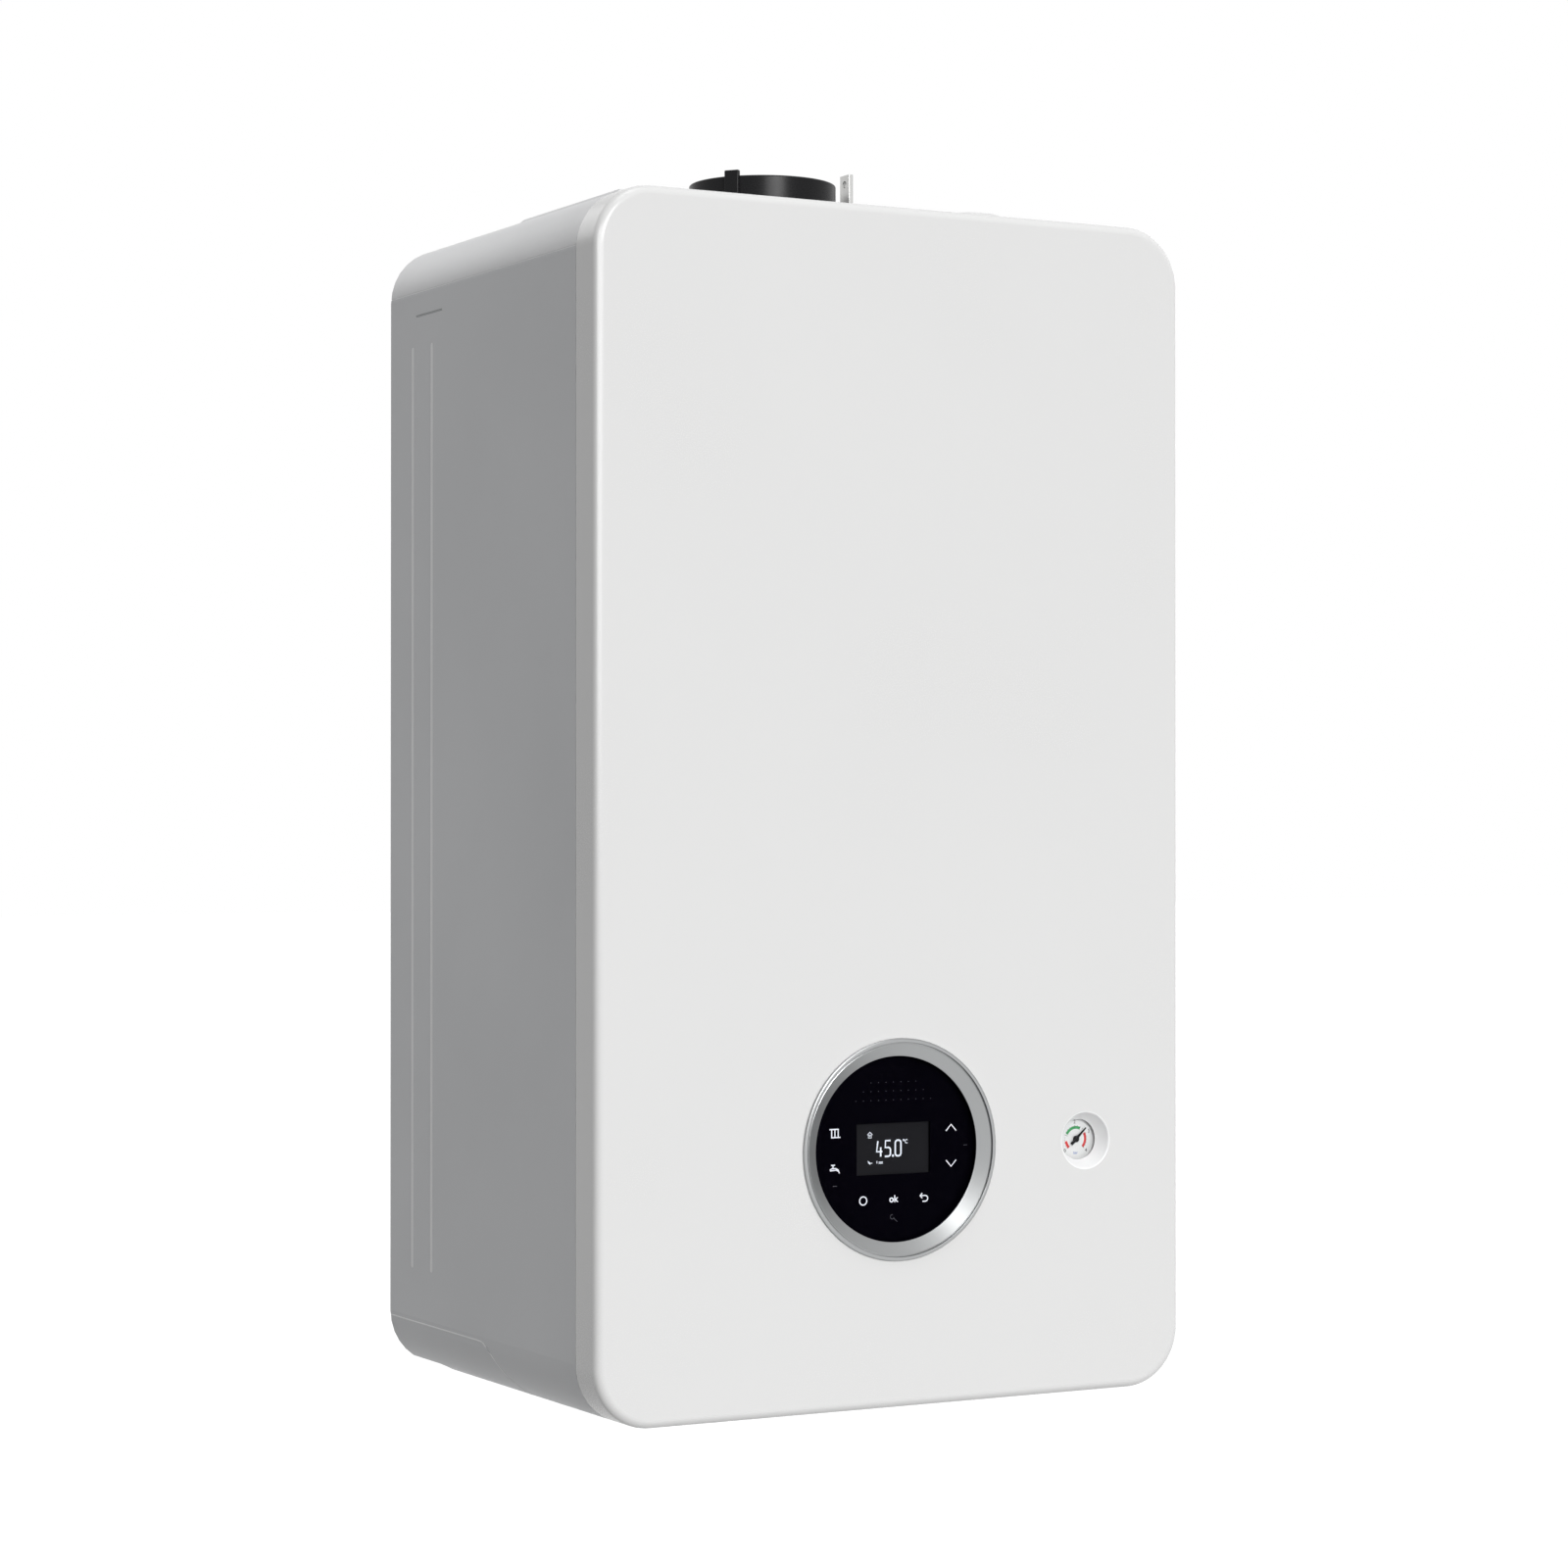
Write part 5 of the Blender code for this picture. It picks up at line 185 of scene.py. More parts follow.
class BoilerFittingSizes(bpy.types.PropertyGroup):
    """Sizes of the screws, nuts, leads and the painted highlight lines along the case's grooves, trims and
    top seam.
    """

    screw_radius: length("Screw radius", "Radius of a screw's head", 3.4)
    nut_radius: length("Nut radius", "Radius of a nut to its corners", 6)
    lead_radius: length("Lead radius", "Radius of a cable lead", 1.9)
    # A painted highlight: a whiter strip in each groove of the side panels, for the light on the groove's
    # wall.
    line_width: length("Line width", "Width of the pale line in a groove of the side panels", 3.8)
    # A painted highlight: a whiter lead round each corner trim, for the light on the trim's edge.
    seal_radius: length("Seal radius", "Radius of the pale sealing line round a corner trim", 0.8)


class BoilerFinishSettings(bpy.types.PropertyGroup):
    """Colours and strengths of the finishes."""

    cover_colour: colour("Cover colour", "Enamel of the front cover", (0.80, 0.80, 0.797))
    ring_colour: colour("Ring colour", "Satin plating of the ring", (0.345, 0.352, 0.355))
    display_colour: colour("Display colour", "Black behind the glass", (0.0012, 0.0009, 0.0026))
    soften: length("Softened edge", "Width of the softened edges on the carried-over pieces", 0.4)
    wear: level("Edge wear", "How strongly metal edges are worn bright", 1.0)


class BoilerStageSettings(bpy.types.PropertyGroup):
    """Camera, floor and lamps."""

    camera_place: FloatVectorProperty(
        name="Camera place",
        description="Where the camera stands",
        default=(-1.14111, -2.23965, -0.3),
        subtype="TRANSLATION",
    )
    camera_turn: FloatVectorProperty(
        name="Camera turn",
        description="The camera's rotation",
        default=(math.radians(90.375), 0.0, math.radians(-28.715)),
        subtype="EULER",
    )
    lens: FloatProperty(
        name="Lens", description="Focal length on a 36 mm sensor", default=87.04, unit="CAMERA"
    )
    floor_height: FloatProperty(
        name="Floor", description="Height of the floor", default=-1.25, unit="LENGTH"
    )
    ambient: level("Ambient", "Even light from all round", 0.335)
    key: level("Key lamp", "Strength of the lamp in front", 1.76)
    overhead: level("Overhead lamp", "Strength of the lamp above", 0.65)
    fill: level("Fill lamp", "Strength of the lamp in front and below", 0.64)
    strip_lamp: level("Strip lamp", "Strength of the gloss on the cover's rounded edge", 56.0)
    collar_lamp: level("Collar lamp", "Strength of the gloss on the flue collar", 50.0)
    ring_lamp: level("Ring lamp", "Strength of the gloss on the ring", 7.0)
    shoulder_lamp: level("Shoulder lamp", "Strength of the gloss on the top cover", 4.0)


# Modelling helpers


def pick(*objects):
    """Selects only these objects and makes the first one active."""
    bpy.ops.object.select_all(action="DESELECT")
    for obj in objects:
        obj.select_set(True)
    bpy.context.view_layer.objects.active = objects[0]


@contextlib.contextmanager
def editing(obj, action="SELECT", kind="VERT"):
    """Edit mode on one object, with all or nothing of its mesh selected."""
    pick(obj)
    bpy.ops.object.mode_set(mode="EDIT")
    bpy.ops.mesh.select_mode(type=kind)
    bpy.ops.mesh.select_all(action=action)
    yield
    bpy.ops.object.mode_set(mode="OBJECT")


@contextlib.contextmanager
def editing_only(obj, kind, wanted):
    """Edit mode on one object, with only the vertices or faces selected that a test picks."""
    with editing(obj, "DESELECT", kind):
        pass
    for part in obj.data.vertices if kind == "VERT" else obj.data.polygons:
        part.select = wanted(part)
    pick(obj)
    bpy.ops.object.mode_set(mode="EDIT")
    yield
    bpy.ops.object.mode_set(mode="OBJECT")


def take_new(name):
    """Names the primitive that was just added."""
    obj = bpy.context.active_object
    obj.name = name
    obj.data.name = name
    return obj


def settle(obj):
    """Puts the object's place, turn and scale into its mesh."""
    pick(obj)
    bpy.ops.object.transform_apply(location=True, rotation=True, scale=True)
    return obj


def apply_modifier(obj, kind, **settings):
    modifier = obj.modifiers.new(kind.title(), kind)
    for key, value in settings.items():
        setattr(modifier, key, value)
    pick(obj)
    bpy.ops.object.modifier_apply(modifier=modifier.name)


def smooth(obj):
    """Smooth shading that keeps flat faces flat beside rounded edges."""
    pick(obj)
    bpy.ops.object.shade_smooth_by_angle(angle=SMOOTH_ANGLE)
    apply_modifier(obj, "WEIGHTED_NORMAL", keep_sharp=True)
    return obj


def closed_up(obj):
    """Merges doubled points and turns every face outwards."""
    with editing(obj):
        bpy.ops.mesh.remove_doubles(threshold=SAME_POINT)
        bpy.ops.mesh.normals_make_consistent(inside=False)
    return obj


AXIS_TURNS = {"Z": (0.0, 0.0, 0.0), "Y": (-QUARTER, 0.0, 0.0)}


def turned(name, profile, place=(0.0, 0.0, 0.0), axis="Z", sides=SHOWN_SIDES, solid=False):
    """A round piece: a circle drawn out from one (radius, height) to the next.

    A solid one is filled at its first and last ring. Any other is closed where its ends meet.
    """
    radius, height = profile[0]
    fill = "NGON" if solid else "NOTHING"
    bpy.ops.object.select_all(action="DESELECT")
    bpy.ops.mesh.primitive_circle_add(vertices=sides, radius=radius, fill_type=fill)
    obj = take_new(name)
    with editing(obj):
        bpy.ops.transform.translate(value=(0.0, 0.0, height))
        for next_radius, next_height in profile[1:]:
            rise = (0.0, 0.0, next_height - height)
            bpy.ops.mesh.extrude_region_move(TRANSFORM_OT_translate={"value": rise})
            ratio = next_radius / radius
            bpy.ops.transform.resize(value=(ratio, ratio, 1.0), center_override=(0.0, 0.0, next_height))
            radius, height = next_radius, next_height
    closed_up(obj)
    obj.rotation_euler = AXIS_TURNS[axis]
    obj.location = place
    return smooth(settle(obj))


def arc(centre, radius, start, end, count):
    """Points of an arc in a profile or a drawing, from one angle to another in degrees."""
    turns = [math.radians(start + (end - start) * step / count) for step in range(count + 1)]
    return [(centre[0] + radius * math.cos(turn), centre[1] + radius * math.sin(turn)) for turn in turns]


def scaled(points):
    """Profile points given in millimetres."""
    return [(radius * MM, height * MM) for radius, height in points]


def soft_block(name, low, high, edge, segments=3):
    """A block with rounded edges, from its lowest to its highest corner."""
    low, high = Vector(low), Vector(high)
    bpy.ops.object.select_all(action="DESELECT")
    bpy.ops.mesh.primitive_cube_add(size=1.0, location=(low + high) / 2)
    obj = take_new(name)
    obj.scale = high - low
    settle(obj)
    with editing(obj, kind="EDGE"):
        bpy.ops.mesh.bevel(offset=min(edge, min(high - low) / 2.1), segments=segments, affect="EDGES")
    return smooth(obj)


def carve(obj, *cutters):
    """Cuts the cutters out of the object and clears them away."""
    for cutter in cutters:
        apply_modifier(obj, "BOOLEAN", operation="DIFFERENCE", solver="EXACT", object=cutter)
        bpy.data.objects.remove(cutter)
    return obj


def joined(name, pieces):
    pick(*pieces)
    if len(pieces) > 1:
        bpy.ops.object.join()
    return take_new(name)


def parted(name, obj, wanted):
    """Moves the faces that a test picks to a piece of their own."""
    with editing_only(obj, "FACE", wanted):
        bpy.ops.mesh.separate(type="SELECTED")
    pick(next(other for other in bpy.context.selected_objects if other != obj))
    return take_new(name)


def at_millimetres(points):
    return [Vector(point) * MM for point in points]


def block_between(name, corners, edge, segments=3):
    """A soft block between two opposite corners, given in millimetres of the frame."""
    low, high = [Vector(map(choose, *at_millimetres(corners))) for choose in (min, max)]
    return soft_block(name, low, high, edge, segments)


def swept(name, paths, radius, roundness, kind="POLY"):
    """A round section swept along each path of places. A path whose ends meet is closed."""
    drawing = bpy.data.curves.new(name, "CURVE")
    drawing.dimensions = "3D"
    drawing.bevel_depth = radius
    drawing.bevel_resolution = roundness
    drawing.resolution_u = 10
    drawing.use_fill_caps = True
    for path in paths:
        line = drawing.splines.new(kind)
        line.points.add(len(path) - 1)
        for point, place in zip(line.points, path):
            point.co = (*place, 1.0)
        line.use_cyclic_u = math.dist(path[0], path[-1]) < SAME_POINT
        if kind == "NURBS":
            line.order_u = 3
            line.use_endpoint_u = True
    obj = bpy.data.objects.new(name, drawing)
    bpy.context.scene.collection.objects.link(obj)
    pick(obj)
    bpy.ops.object.convert(target="MESH")
    return take_new(name)


def strokes(name, paths, width, place, rise=0.06 * MM, segments=1):
    """Flat printed lines that face the room, drawn in (x, z) millimetres from a place."""
    upright = [[(x * MM, 0.0, z * MM) for x, z in path] for path in paths]
    obj = swept(name, upright, width / 2, segments)
    obj.scale = (1.0, 2 * rise / width, 1.0)
    obj.location = place
    return smooth(closed_up(settle(obj)))


def lead(name, points, radius):
    """A round lead that bends through points in millimetres of the frame."""
    return smooth(closed_up(swept(name, [at_millimetres(points)], radius, 3, "NURBS")))


def letters(name, text, size, place, rise=0.05 * MM, bold=0.0):
    """Printed figures that face the room, centred on a place."""
    bpy.ops.object.select_all(action="DESELECT")
    bpy.ops.object.text_add()
    obj = bpy.context.active_object
    obj.data.body = text
    obj.data.size = size
    obj.data.extrude = rise
    obj.data.offset = bold
    obj.data.resolution_u = 6
    obj.data.align_x = "CENTER"
    obj.data.align_y = "CENTER"
    pick(obj)
    bpy.ops.object.convert(target="MESH")
    obj = take_new(name)
    obj.rotation_euler = (QUARTER, 0.0, 0.0)
    obj.location = place
    return closed_up(settle(obj))


def on_circle(centre, radius, count, start=0.0):
    """Places evenly round a centre, in the plane that faces the room."""
    turns = [math.radians(start) + 2 * math.pi * number / count for number in range(count)]
    return [centre + Vector((radius * math.cos(turn), 0.0, radius * math.sin(turn))) for turn in turns]


def spread(master, name, spots, direction=FACING):
    """Copies of a piece made upright at the origin, turned to a direction at each spot and joined."""
    copies = []
    for spot in spots:
        pick(master)
        bpy.ops.object.duplicate(linked=False)
        copy = bpy.context.active_object
        copy.rotation_euler = Vector(direction).to_track_quat("Z", "Y").to_euler()
        copy.location = spot
        copies.append(settle(copy))
    bpy.data.objects.remove(master)
    return joined(name, copies)


def screw_head(radius):
    """A pan head with a cross recess, upright at the origin."""
    height, reach, slot = 0.6 * radius, 0.62 * radius, 0.13 * radius
    profile = [(radius, 0.0), (radius, 0.4 * height), (0.86 * radius, 0.8 * height), (0.5 * radius, height)]
    head = turned("screw_head", profile, sides=24, solid=True)
    arms = [
        soft_block(f"screw_cut_{number}", (-x, -y, 0.45 * height), (x, y, 2 * height), 0.02 * MM, 1)
        for number, (x, y) in enumerate([(reach, slot), (slot, reach)])
    ]
    return carve(head, *arms)


def screws(name, sizes, spots, direction=FACING):
    """Screws of the one size, a head on each spot."""
    return spread(screw_head(sizes.screw_radius), name, spots, direction)


def hex_nut(radius):
    """A hexagon nut on its washer with the stud's end in it, upright at the origin."""
    height = 0.85 * radius
    nut = [(radius, 0.0), (radius, 0.8 * height), (0.88 * radius, height)]
    washer = [(1.25 * radius, -0.05 * radius), (1.25 * radius, 0.15 * radius)]
    stud = [(0.45 * radius, 0.5 * height), (0.45 * radius, 1.25 * height), (0.35 * radius, 1.35 * height)]
    shapes = (("nut", nut, 6), ("washer", washer, 32), ("stud", stud, 20))
    return joined("nut", [turned(name, profile, sides=sides, solid=True) for name, profile, sides in shapes])


def show(obj, slot, body, *nodes, material=None):
    """Gives a piece its finish, the body it moves with and the frame's pieces it stands for."""
    obj.data.materials.clear()
    obj.data.materials.append(bpy.data.materials[material or slot])
    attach(obj, body)
    if nodes:
        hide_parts(*nodes)
    return obj


def let_light_through(obj):
    """Lets the lamps shine through a clear piece, so that what lies behind it is lit without noise."""
    obj.visible_shadow = False
    obj.visible_diffuse = False


# The frame pieces whose finish is another than the one that their slot names.
OWN_FINISHES = {
    "display_housing": "display_black",
    "gauge_needle": "black_plastic",
    "top_cover": "top_plastic",
}


def refined(node, edge):
    """A copy of a frame piece with flat faces joined, edges softened and round faces shaded round."""
    source = frame["nodes"][node]
    copy = source.copy()
    copy.data = source.data.copy()
    bpy.context.scene.collection.objects.link(copy)
    for key in list(copy.keys()):
        del copy[key]
    copy.parent = None
    copy.name = f"{node}_made"
    copy.data.name = copy.name
    with editing(copy):
        bpy.ops.mesh.remove_doubles(threshold=SAME_POINT)
        bpy.ops.mesh.dissolve_limited(angle_limit=SAME_PLANE)
    if edge > 0.0:
        apply_modifier(
            copy,
            "BEVEL",
            width=edge,
            segments=2,
            limit_method="ANGLE",
            angle_limit=SMOOTH_ANGLE,
            use_clamp_overlap=True,
            miter_outer="MITER_ARC",
        )
    smooth(copy)
    return show(copy, NODE_SLOTS[node], NODE_BODIES[node], node, material=OWN_FINISHES.get(node))


# Finishes


def new_group(name, values, outputs):
    """An empty shared effect: its tree, its input sockets and its output node.

    It takes the place on the piece and named values, and puts out masks and heights.
    """
    group = bpy.data.node_groups.new(name, "ShaderNodeTree")
    group.interface.new_socket("Place", in_out="INPUT", socket_type="NodeSocketVector")
    for label, default in values.items():
        kind = "Vector" if isinstance(default, tuple) else "Float"
        socket = group.interface.new_socket(label, in_out="INPUT", socket_type=f"NodeSocket{kind}")
        socket.default_value = default
    for label in outputs:
        group.interface.new_socket(label, in_out="OUTPUT", socket_type="NodeSocketFloat")
    return group, group.nodes.new("NodeGroupInput").outputs, group.nodes.new("NodeGroupOutput")


def feed(tree, node, links):
    """Links (socket name or number, source socket) pairs to a node, or sets a plain value there."""
    for socket, source in links:
        if hasattr(source, "node"):
            tree.links.new(source, node.inputs[socket])
        else:
            node.inputs[socket].default_value = source


def add_node(tree, kind, links=(), **settings):
    """Adds a node, sets it and feeds its inputs."""
    node = tree.nodes.new(f"ShaderNode{kind}")
    for key, value in settings.items():
        setattr(node, key, value)
    feed(tree, node, links)
    return node


def combined(tree, operation, *values):
    """The result of a Math node over sockets and plain values."""
    return add_node(tree, "Math", enumerate(values), operation=operation).outputs[0]


def mapped(tree, value, side, low, high):
    """A value mapped between limits, which are those of the From or the To side."""
    links = [("Value", value), (f"{side} Min", low), (f"{side} Max", high)]
    return add_node(tree, "MapRange", links).outputs[0]


def noise(tree, place, scale, detail):
    return add_node(tree, "TexNoise", [("Vector", place), ("Scale", scale), ("Detail", detail)]).outputs[0]


def blended(tree, mask, first, second):
    """A colour between two others, by a mask."""
    return add_node(tree, "Mix", [(0, mask), (6, first), (7, second)], data_type="RGBA").outputs[2]


def grain_group():
    """Fine relief: noise stretched along the axes, with a height and a mask."""
    group, entry, leave = new_group("Surface Grain", {"Stretch": EVEN, "Scale": 400.0}, ("Height", "Mask"))
    links = [(0, entry["Place"]), (1, entry["Stretch"])]
    stretched = add_node(group, "VectorMath", links, operation="MULTIPLY").outputs[0]
    fine = noise(group, stretched, entry["Scale"], 3.0)
    feed(group, leave, [("Height", fine), ("Mask", mapped(group, fine, "From", 0.35, 0.65))])


def patches_group():
    """Broad uneven patches, as handling and dust leave them."""
    group, entry, leave = new_group("Broad Patches", {"Scale": 7.0}, ("Mask",))
    broad = noise(group, entry["Place"], entry["Scale"], 4.0)
    feed(group, leave, [("Mask", mapped(group, broad, "From", 0.3, 0.7))])


def wear_group():
    """Edge wear: outward edges, broken up by noise."""
    group, entry, leave = new_group("Edge Wear", {"Amount": 0.35, "Scale": 120.0}, ("Mask",))
    shape = add_node(group, "NewGeometry").outputs["Pointiness"]
    edge = mapped(group, shape, "From", 0.53, 0.62)
    flecks = mapped(group, noise(group, entry["Place"], entry["Scale"], 5.0), "From", 0.4, 0.7)
    worn = combined(group, "MULTIPLY", edge, flecks)
    feed(group, leave, [("Mask", combined(group, "MULTIPLY", worn, entry["Amount"]))])


def spangle_group():
    """The crystal pattern of galvanised sheet."""
    group, entry, leave = new_group("Zinc Spangle", {"Scale": 110.0}, ("Mask",))
    crystals = add_node(group, "TexVoronoi", [("Vector", entry["Place"]), ("Scale", entry["Scale"])])
    shade = add_node(group, "SeparateColor", [("Color", crystals.outputs["Color"])])
    feed(group, leave, [("Mask", shade.outputs[0])])


def tracks_group():
    """Copper tracks under the lacquer of a circuit board."""
    group, entry, leave = new_group("Board Tracks", {"Scale": 95.0}, ("Mask",))
    upright = add_node(group, "Mapping", [("Vector", entry["Place"]), ("Rotation", (QUARTER, 0.0, 0.0))])
    links = [("Vector", upright.outputs[0]), ("Scale", entry["Scale"]), ("Mortar Size", 0.06), ("Bias", 0.0)]
    bricks = add_node(group, "TexBrick", links, offset=0.37, squash=0.6, squash_frequency=3)
    feed(group, leave, [("Mask", bricks.outputs["Fac"])])


# What a row of the finishes table holds. The grain's height is in millimetres, and the patches darken
# the colour by their share.
FIELDS = ("roughness", "spread", "metallic", "scale", "height", "stretch", "patches", "specular")
EVEN = (1.0, 1.0, 1.0)
UPRIGHT = (1.0, 1.0, 0.04)
LEVEL = (0.04, 1.0, 1.0)
FINISHES = {
    "white_paint": (0.26, 0.04, 0.0, 1500.0, 0.001, EVEN, 0.02, 0.5),
    "cover_paint": (0.24, 0.03, 0.0, 1500.0, 0.001, EVEN, 0.012, 0.5),
    "white_plastic": (0.30, 0.05, 0.0, 900.0, 0.006, EVEN, 0.02, 0.5),
    "grey_paint": (0.38, 0.05, 0.0, 1500.0, 0.002, EVEN, 0.03, 0.3),
    "galvanised_steel": (0.38, 0.14, 0.9, 700.0, 0.006, LEVEL, 0.12, 0.5),
    "satin_metal": (0.30, 0.04, 1.0, 1400.0, 0.003, EVEN, 0.03, 0.5),
    "black_plastic": (0.25, 0.05, 0.0, 1300.0, 0.010, EVEN, 0.12, 0.11),
    "display_black": (0.20, 0.04, 0.0, 600.0, 0.001, EVEN, 0.10, 0.01),
    "dark_plastic": (0.50, 0.08, 0.0, 1500.0, 0.040, EVEN, 0.10, 0.4),
    "grey_plastic": (0.45, 0.08, 0.0, 1200.0, 0.030, EVEN, 0.06, 0.5),
    "lcd_grey": (0.22, 0.04, 0.0, 600.0, 0.001, EVEN, 0.10, 0.01),
    "board_green": (0.35, 0.08, 0.0, 500.0, 0.010, EVEN, 0.45, 0.5),
    "stainless_steel": (0.30, 0.10, 1.0, 900.0, 0.010, UPRIGHT, 0.06, 0.5),
    "cast_aluminium": (0.46, 0.12, 1.0, 330.0, 0.120, EVEN, 0.14, 0.5),
    "cast_iron": (0.58, 0.12, 0.3, 300.0, 0.160, EVEN, 0.20, 0.5),
    "brass": (0.30, 0.12, 1.0, 500.0, 0.030, EVEN, 0.16, 0.5),
    "copper": (0.30, 0.14, 1.0, 420.0, 0.012, UPRIGHT, 0.22, 0.5),
    "rubber": (0.62, 0.10, 0.0, 900.0, 0.050, EVEN, 0.18, 0.3),
    "ceramic": (0.18, 0.05, 0.0, 300.0, 0.010, EVEN, 0.05, 0.5),
    "red_paint": (0.34, 0.08, 0.0, 330.0, 0.030, EVEN, 0.10, 0.5),
    "red_plastic": (0.40, 0.08, 0.0, 1100.0, 0.020, EVEN, 0.06, 0.5),
    "blue_plastic": (0.42, 0.08, 0.0, 1100.0, 0.020, EVEN, 0.06, 0.5),
    "print_green": (0.45, 0.05, 0.0, 900.0, 0.002, EVEN, 0.10, 0.3),
    "top_plastic": (0.42, 0.05, 0.0, 1500.0, 0.002, EVEN, 0.02, 0.3),
    # A whiter white for painted light: the painted highlights along the case's grooves, trims and top seam,
    # and the lifted shade in the gauge well.
    "pale_line": (0.40, 0.05, 0.0, 1500.0, 0.002, EVEN, 0.02, 0.4),
}
# How strongly outward edges are worn, and the colour that shows there.
WORN = {
    "galvanised_steel": (0.2, (0.75, 0.76, 0.77)),
    "black_plastic": (0.1, (0.05, 0.05, 0.05)),
    "dark_plastic": (0.2, (0.10, 0.10, 0.10)),
    "grey_plastic": (0.1, (0.45, 0.46, 0.47)),
    "stainless_steel": (0.3, (0.80, 0.80, 0.79)),
    "cast_aluminium": (0.4, (0.82, 0.83, 0.84)),
    "cast_iron": (0.4, (0.30, 0.30, 0.31)),
    "brass": (0.4, (0.90, 0.74, 0.42)),
    "copper": (0.3, (0.93, 0.58, 0.42)),
    "rubber": (0.1, (0.06, 0.06, 0.06)),
    "red_paint": (0.2, (0.72, 0.20, 0.16)),
    "red_plastic": (0.1, (0.75, 0.12, 0.10)),
    "blue_plastic": (0.1, (0.10, 0.22, 0.60)),
}
COATS = {"board_green": 0.3, "ceramic": 0.5, "red_paint": 0.2}
OWN_COLOURS = {
    "print_green": (0.06, 0.34, 0.12),
    "top_plastic": (0.80, 0.805, 0.815),
    # The whiter white of the painted highlights and of the gauge well's painted light.
    "pale_line": (0.97, 0.975, 0.98),
    "grey_paint": (0.71, 0.72, 0.735),
}
# The finishes whose mask is a pattern of their own in place of the broad patches.
PATTERNS = {"galvanised_steel": "Zinc Spangle", "board_green": "Board Tracks"}


def new_material(name):
    """A new material: its tree, its shader and the place on the piece."""
    material = bpy.data.materials.new(name)
    material.use_nodes = True
    tree = material.node_tree
    return tree, tree.nodes["Principled BSDF"], add_node(tree, "TexCoord").outputs["Object"]


def effect(tree, label, place, **values):
    """The outputs of a shared effect, placed in a material with its own values."""
    links = [("Place", place), *values.items()]
    return add_node(tree, "Group", links, node_tree=bpy.data.node_groups[label]).outputs


def make_finish(name, base, recipe, wear):
    """A finish with patches and wear in its colour, uneven gloss and a fine relief."""
    tree, shader, place = new_material(name)
    grain = effect(tree, "Surface Grain", place, Scale=recipe["scale"], Stretch=recipe["stretch"])
    mask = effect(tree, PATTERNS.get(name, "Broad Patches"), place)["Mask"]
    relief = mask if name == "board_green" else grain["Height"]
    shaded = [channel * (1.0 - recipe["patches"]) for channel in base]
    tone = blended(tree, mask, (*base, 1.0), (*shaded, 1.0))
    if name in WORN:
        share, bright = WORN[name]
        worn = effect(tree, "Edge Wear", place, Amount=share * wear)["Mask"]
        tone = blended(tree, worn, tone, (*bright, 1.0))
    roughness, half = recipe["roughness"], recipe["spread"] / 2
    gloss = mapped(tree, grain["Mask"], "To", roughness - half, roughness + half)
    depth = recipe["height"] * MM
    bump = add_node(tree, "Bump", [("Height", relief), ("Distance", depth), ("Strength", 1.0)])
    links = [
        ("Base Color", tone),
        ("Roughness", combined(tree, "MULTIPLY_ADD", mask, recipe["spread"], gloss)),
        ("Normal", bump.outputs[0]),
        ("Metallic", recipe["metallic"]),
        ("Coat Weight", COATS.get(name, 0.0)),
        ("Specular IOR Level", recipe["specular"]),
    ]
    feed(tree, shader, links)


def make_glass(name, tint, ior):
    """Clear glass or plastic with faint smears in its gloss."""
    tree, shader, place = new_material(name)
    smears = effect(tree, "Broad Patches", place, Scale=45.0)["Mask"]
    links = [("Roughness", mapped(tree, smears, "To", 0.0, 0.03)), ("Base Color", (*tint, 1.0))]
    feed(tree, shader, [*links, ("Transmission Weight", 1.0), ("IOR", ior)])


def make_lit(name, tint, strength):
    """Lit print: a faintly uneven glow."""
    tree, shader, place = new_material(name)
    patches = effect(tree, "Broad Patches", place, Scale=160.0)["Mask"]
    dimmer, unlit = [[channel * share for channel in tint] for share in (0.82, 0.4)]
    glow = blended(tree, patches, (*tint, 1.0), (*dimmer, 1.0))
    links = [("Emission Color", glow), ("Emission Strength", strength)]
    feed(tree, shader, [*links, ("Base Color", (*unlit, 1.0)), ("Roughness", 0.5)])


class OBJECT_OT_boiler_finishes(bpy.types.Operator):
    """Make the finishes and give each piece of the frame its own"""

    bl_idname = "object.boiler_finishes"
    bl_label = "Finishes"

    def execute(self, context):
        settings = context.scene.boiler_finish
        display = context.scene.boiler_display
        for make_group in (grain_group, patches_group, wear_group, spangle_group, tracks_group):
            make_group()
        for material in list(bpy.data.materials):
            material.name = f"frame_{material.name}"
        colours = {
            **SLOT_COLOURS,
            **OWN_COLOURS,
            "cover_paint": settings.cover_colour,
            "satin_metal": settings.ring_colour,
            "display_black": settings.display_colour,
        }
        for name, row in FINISHES.items():
            make_finish(name, tuple(colours[name]), dict(zip(FIELDS, row)), settings.wear)
        make_glass("black_glass", (0.92, 0.93, 0.96), 1.0)
        make_glass("clear_plastic", (0.97, 0.98, 0.98), 1.10)
        make_lit("lit_mark", tuple(display.mark_colour), 0.75)
        make_lit("lit_digit", tuple(display.digit_colour), 0.8)
        make_lit("panel_frame", (0.035, 0.035, 0.038), 0.3)
        # The unlit marks get a faint glow of their own: painted light, as nothing lights them from behind.
        make_lit("faint_mark", (0.04, 0.04, 0.05), 0.3)
        for node, obj in frame["nodes"].items():
            for place in range(len(obj.data.materials)):
                obj.data.materials[place] = bpy.data.materials[NODE_SLOTS[node]]
        return {"FINISHED"}


# Pieces


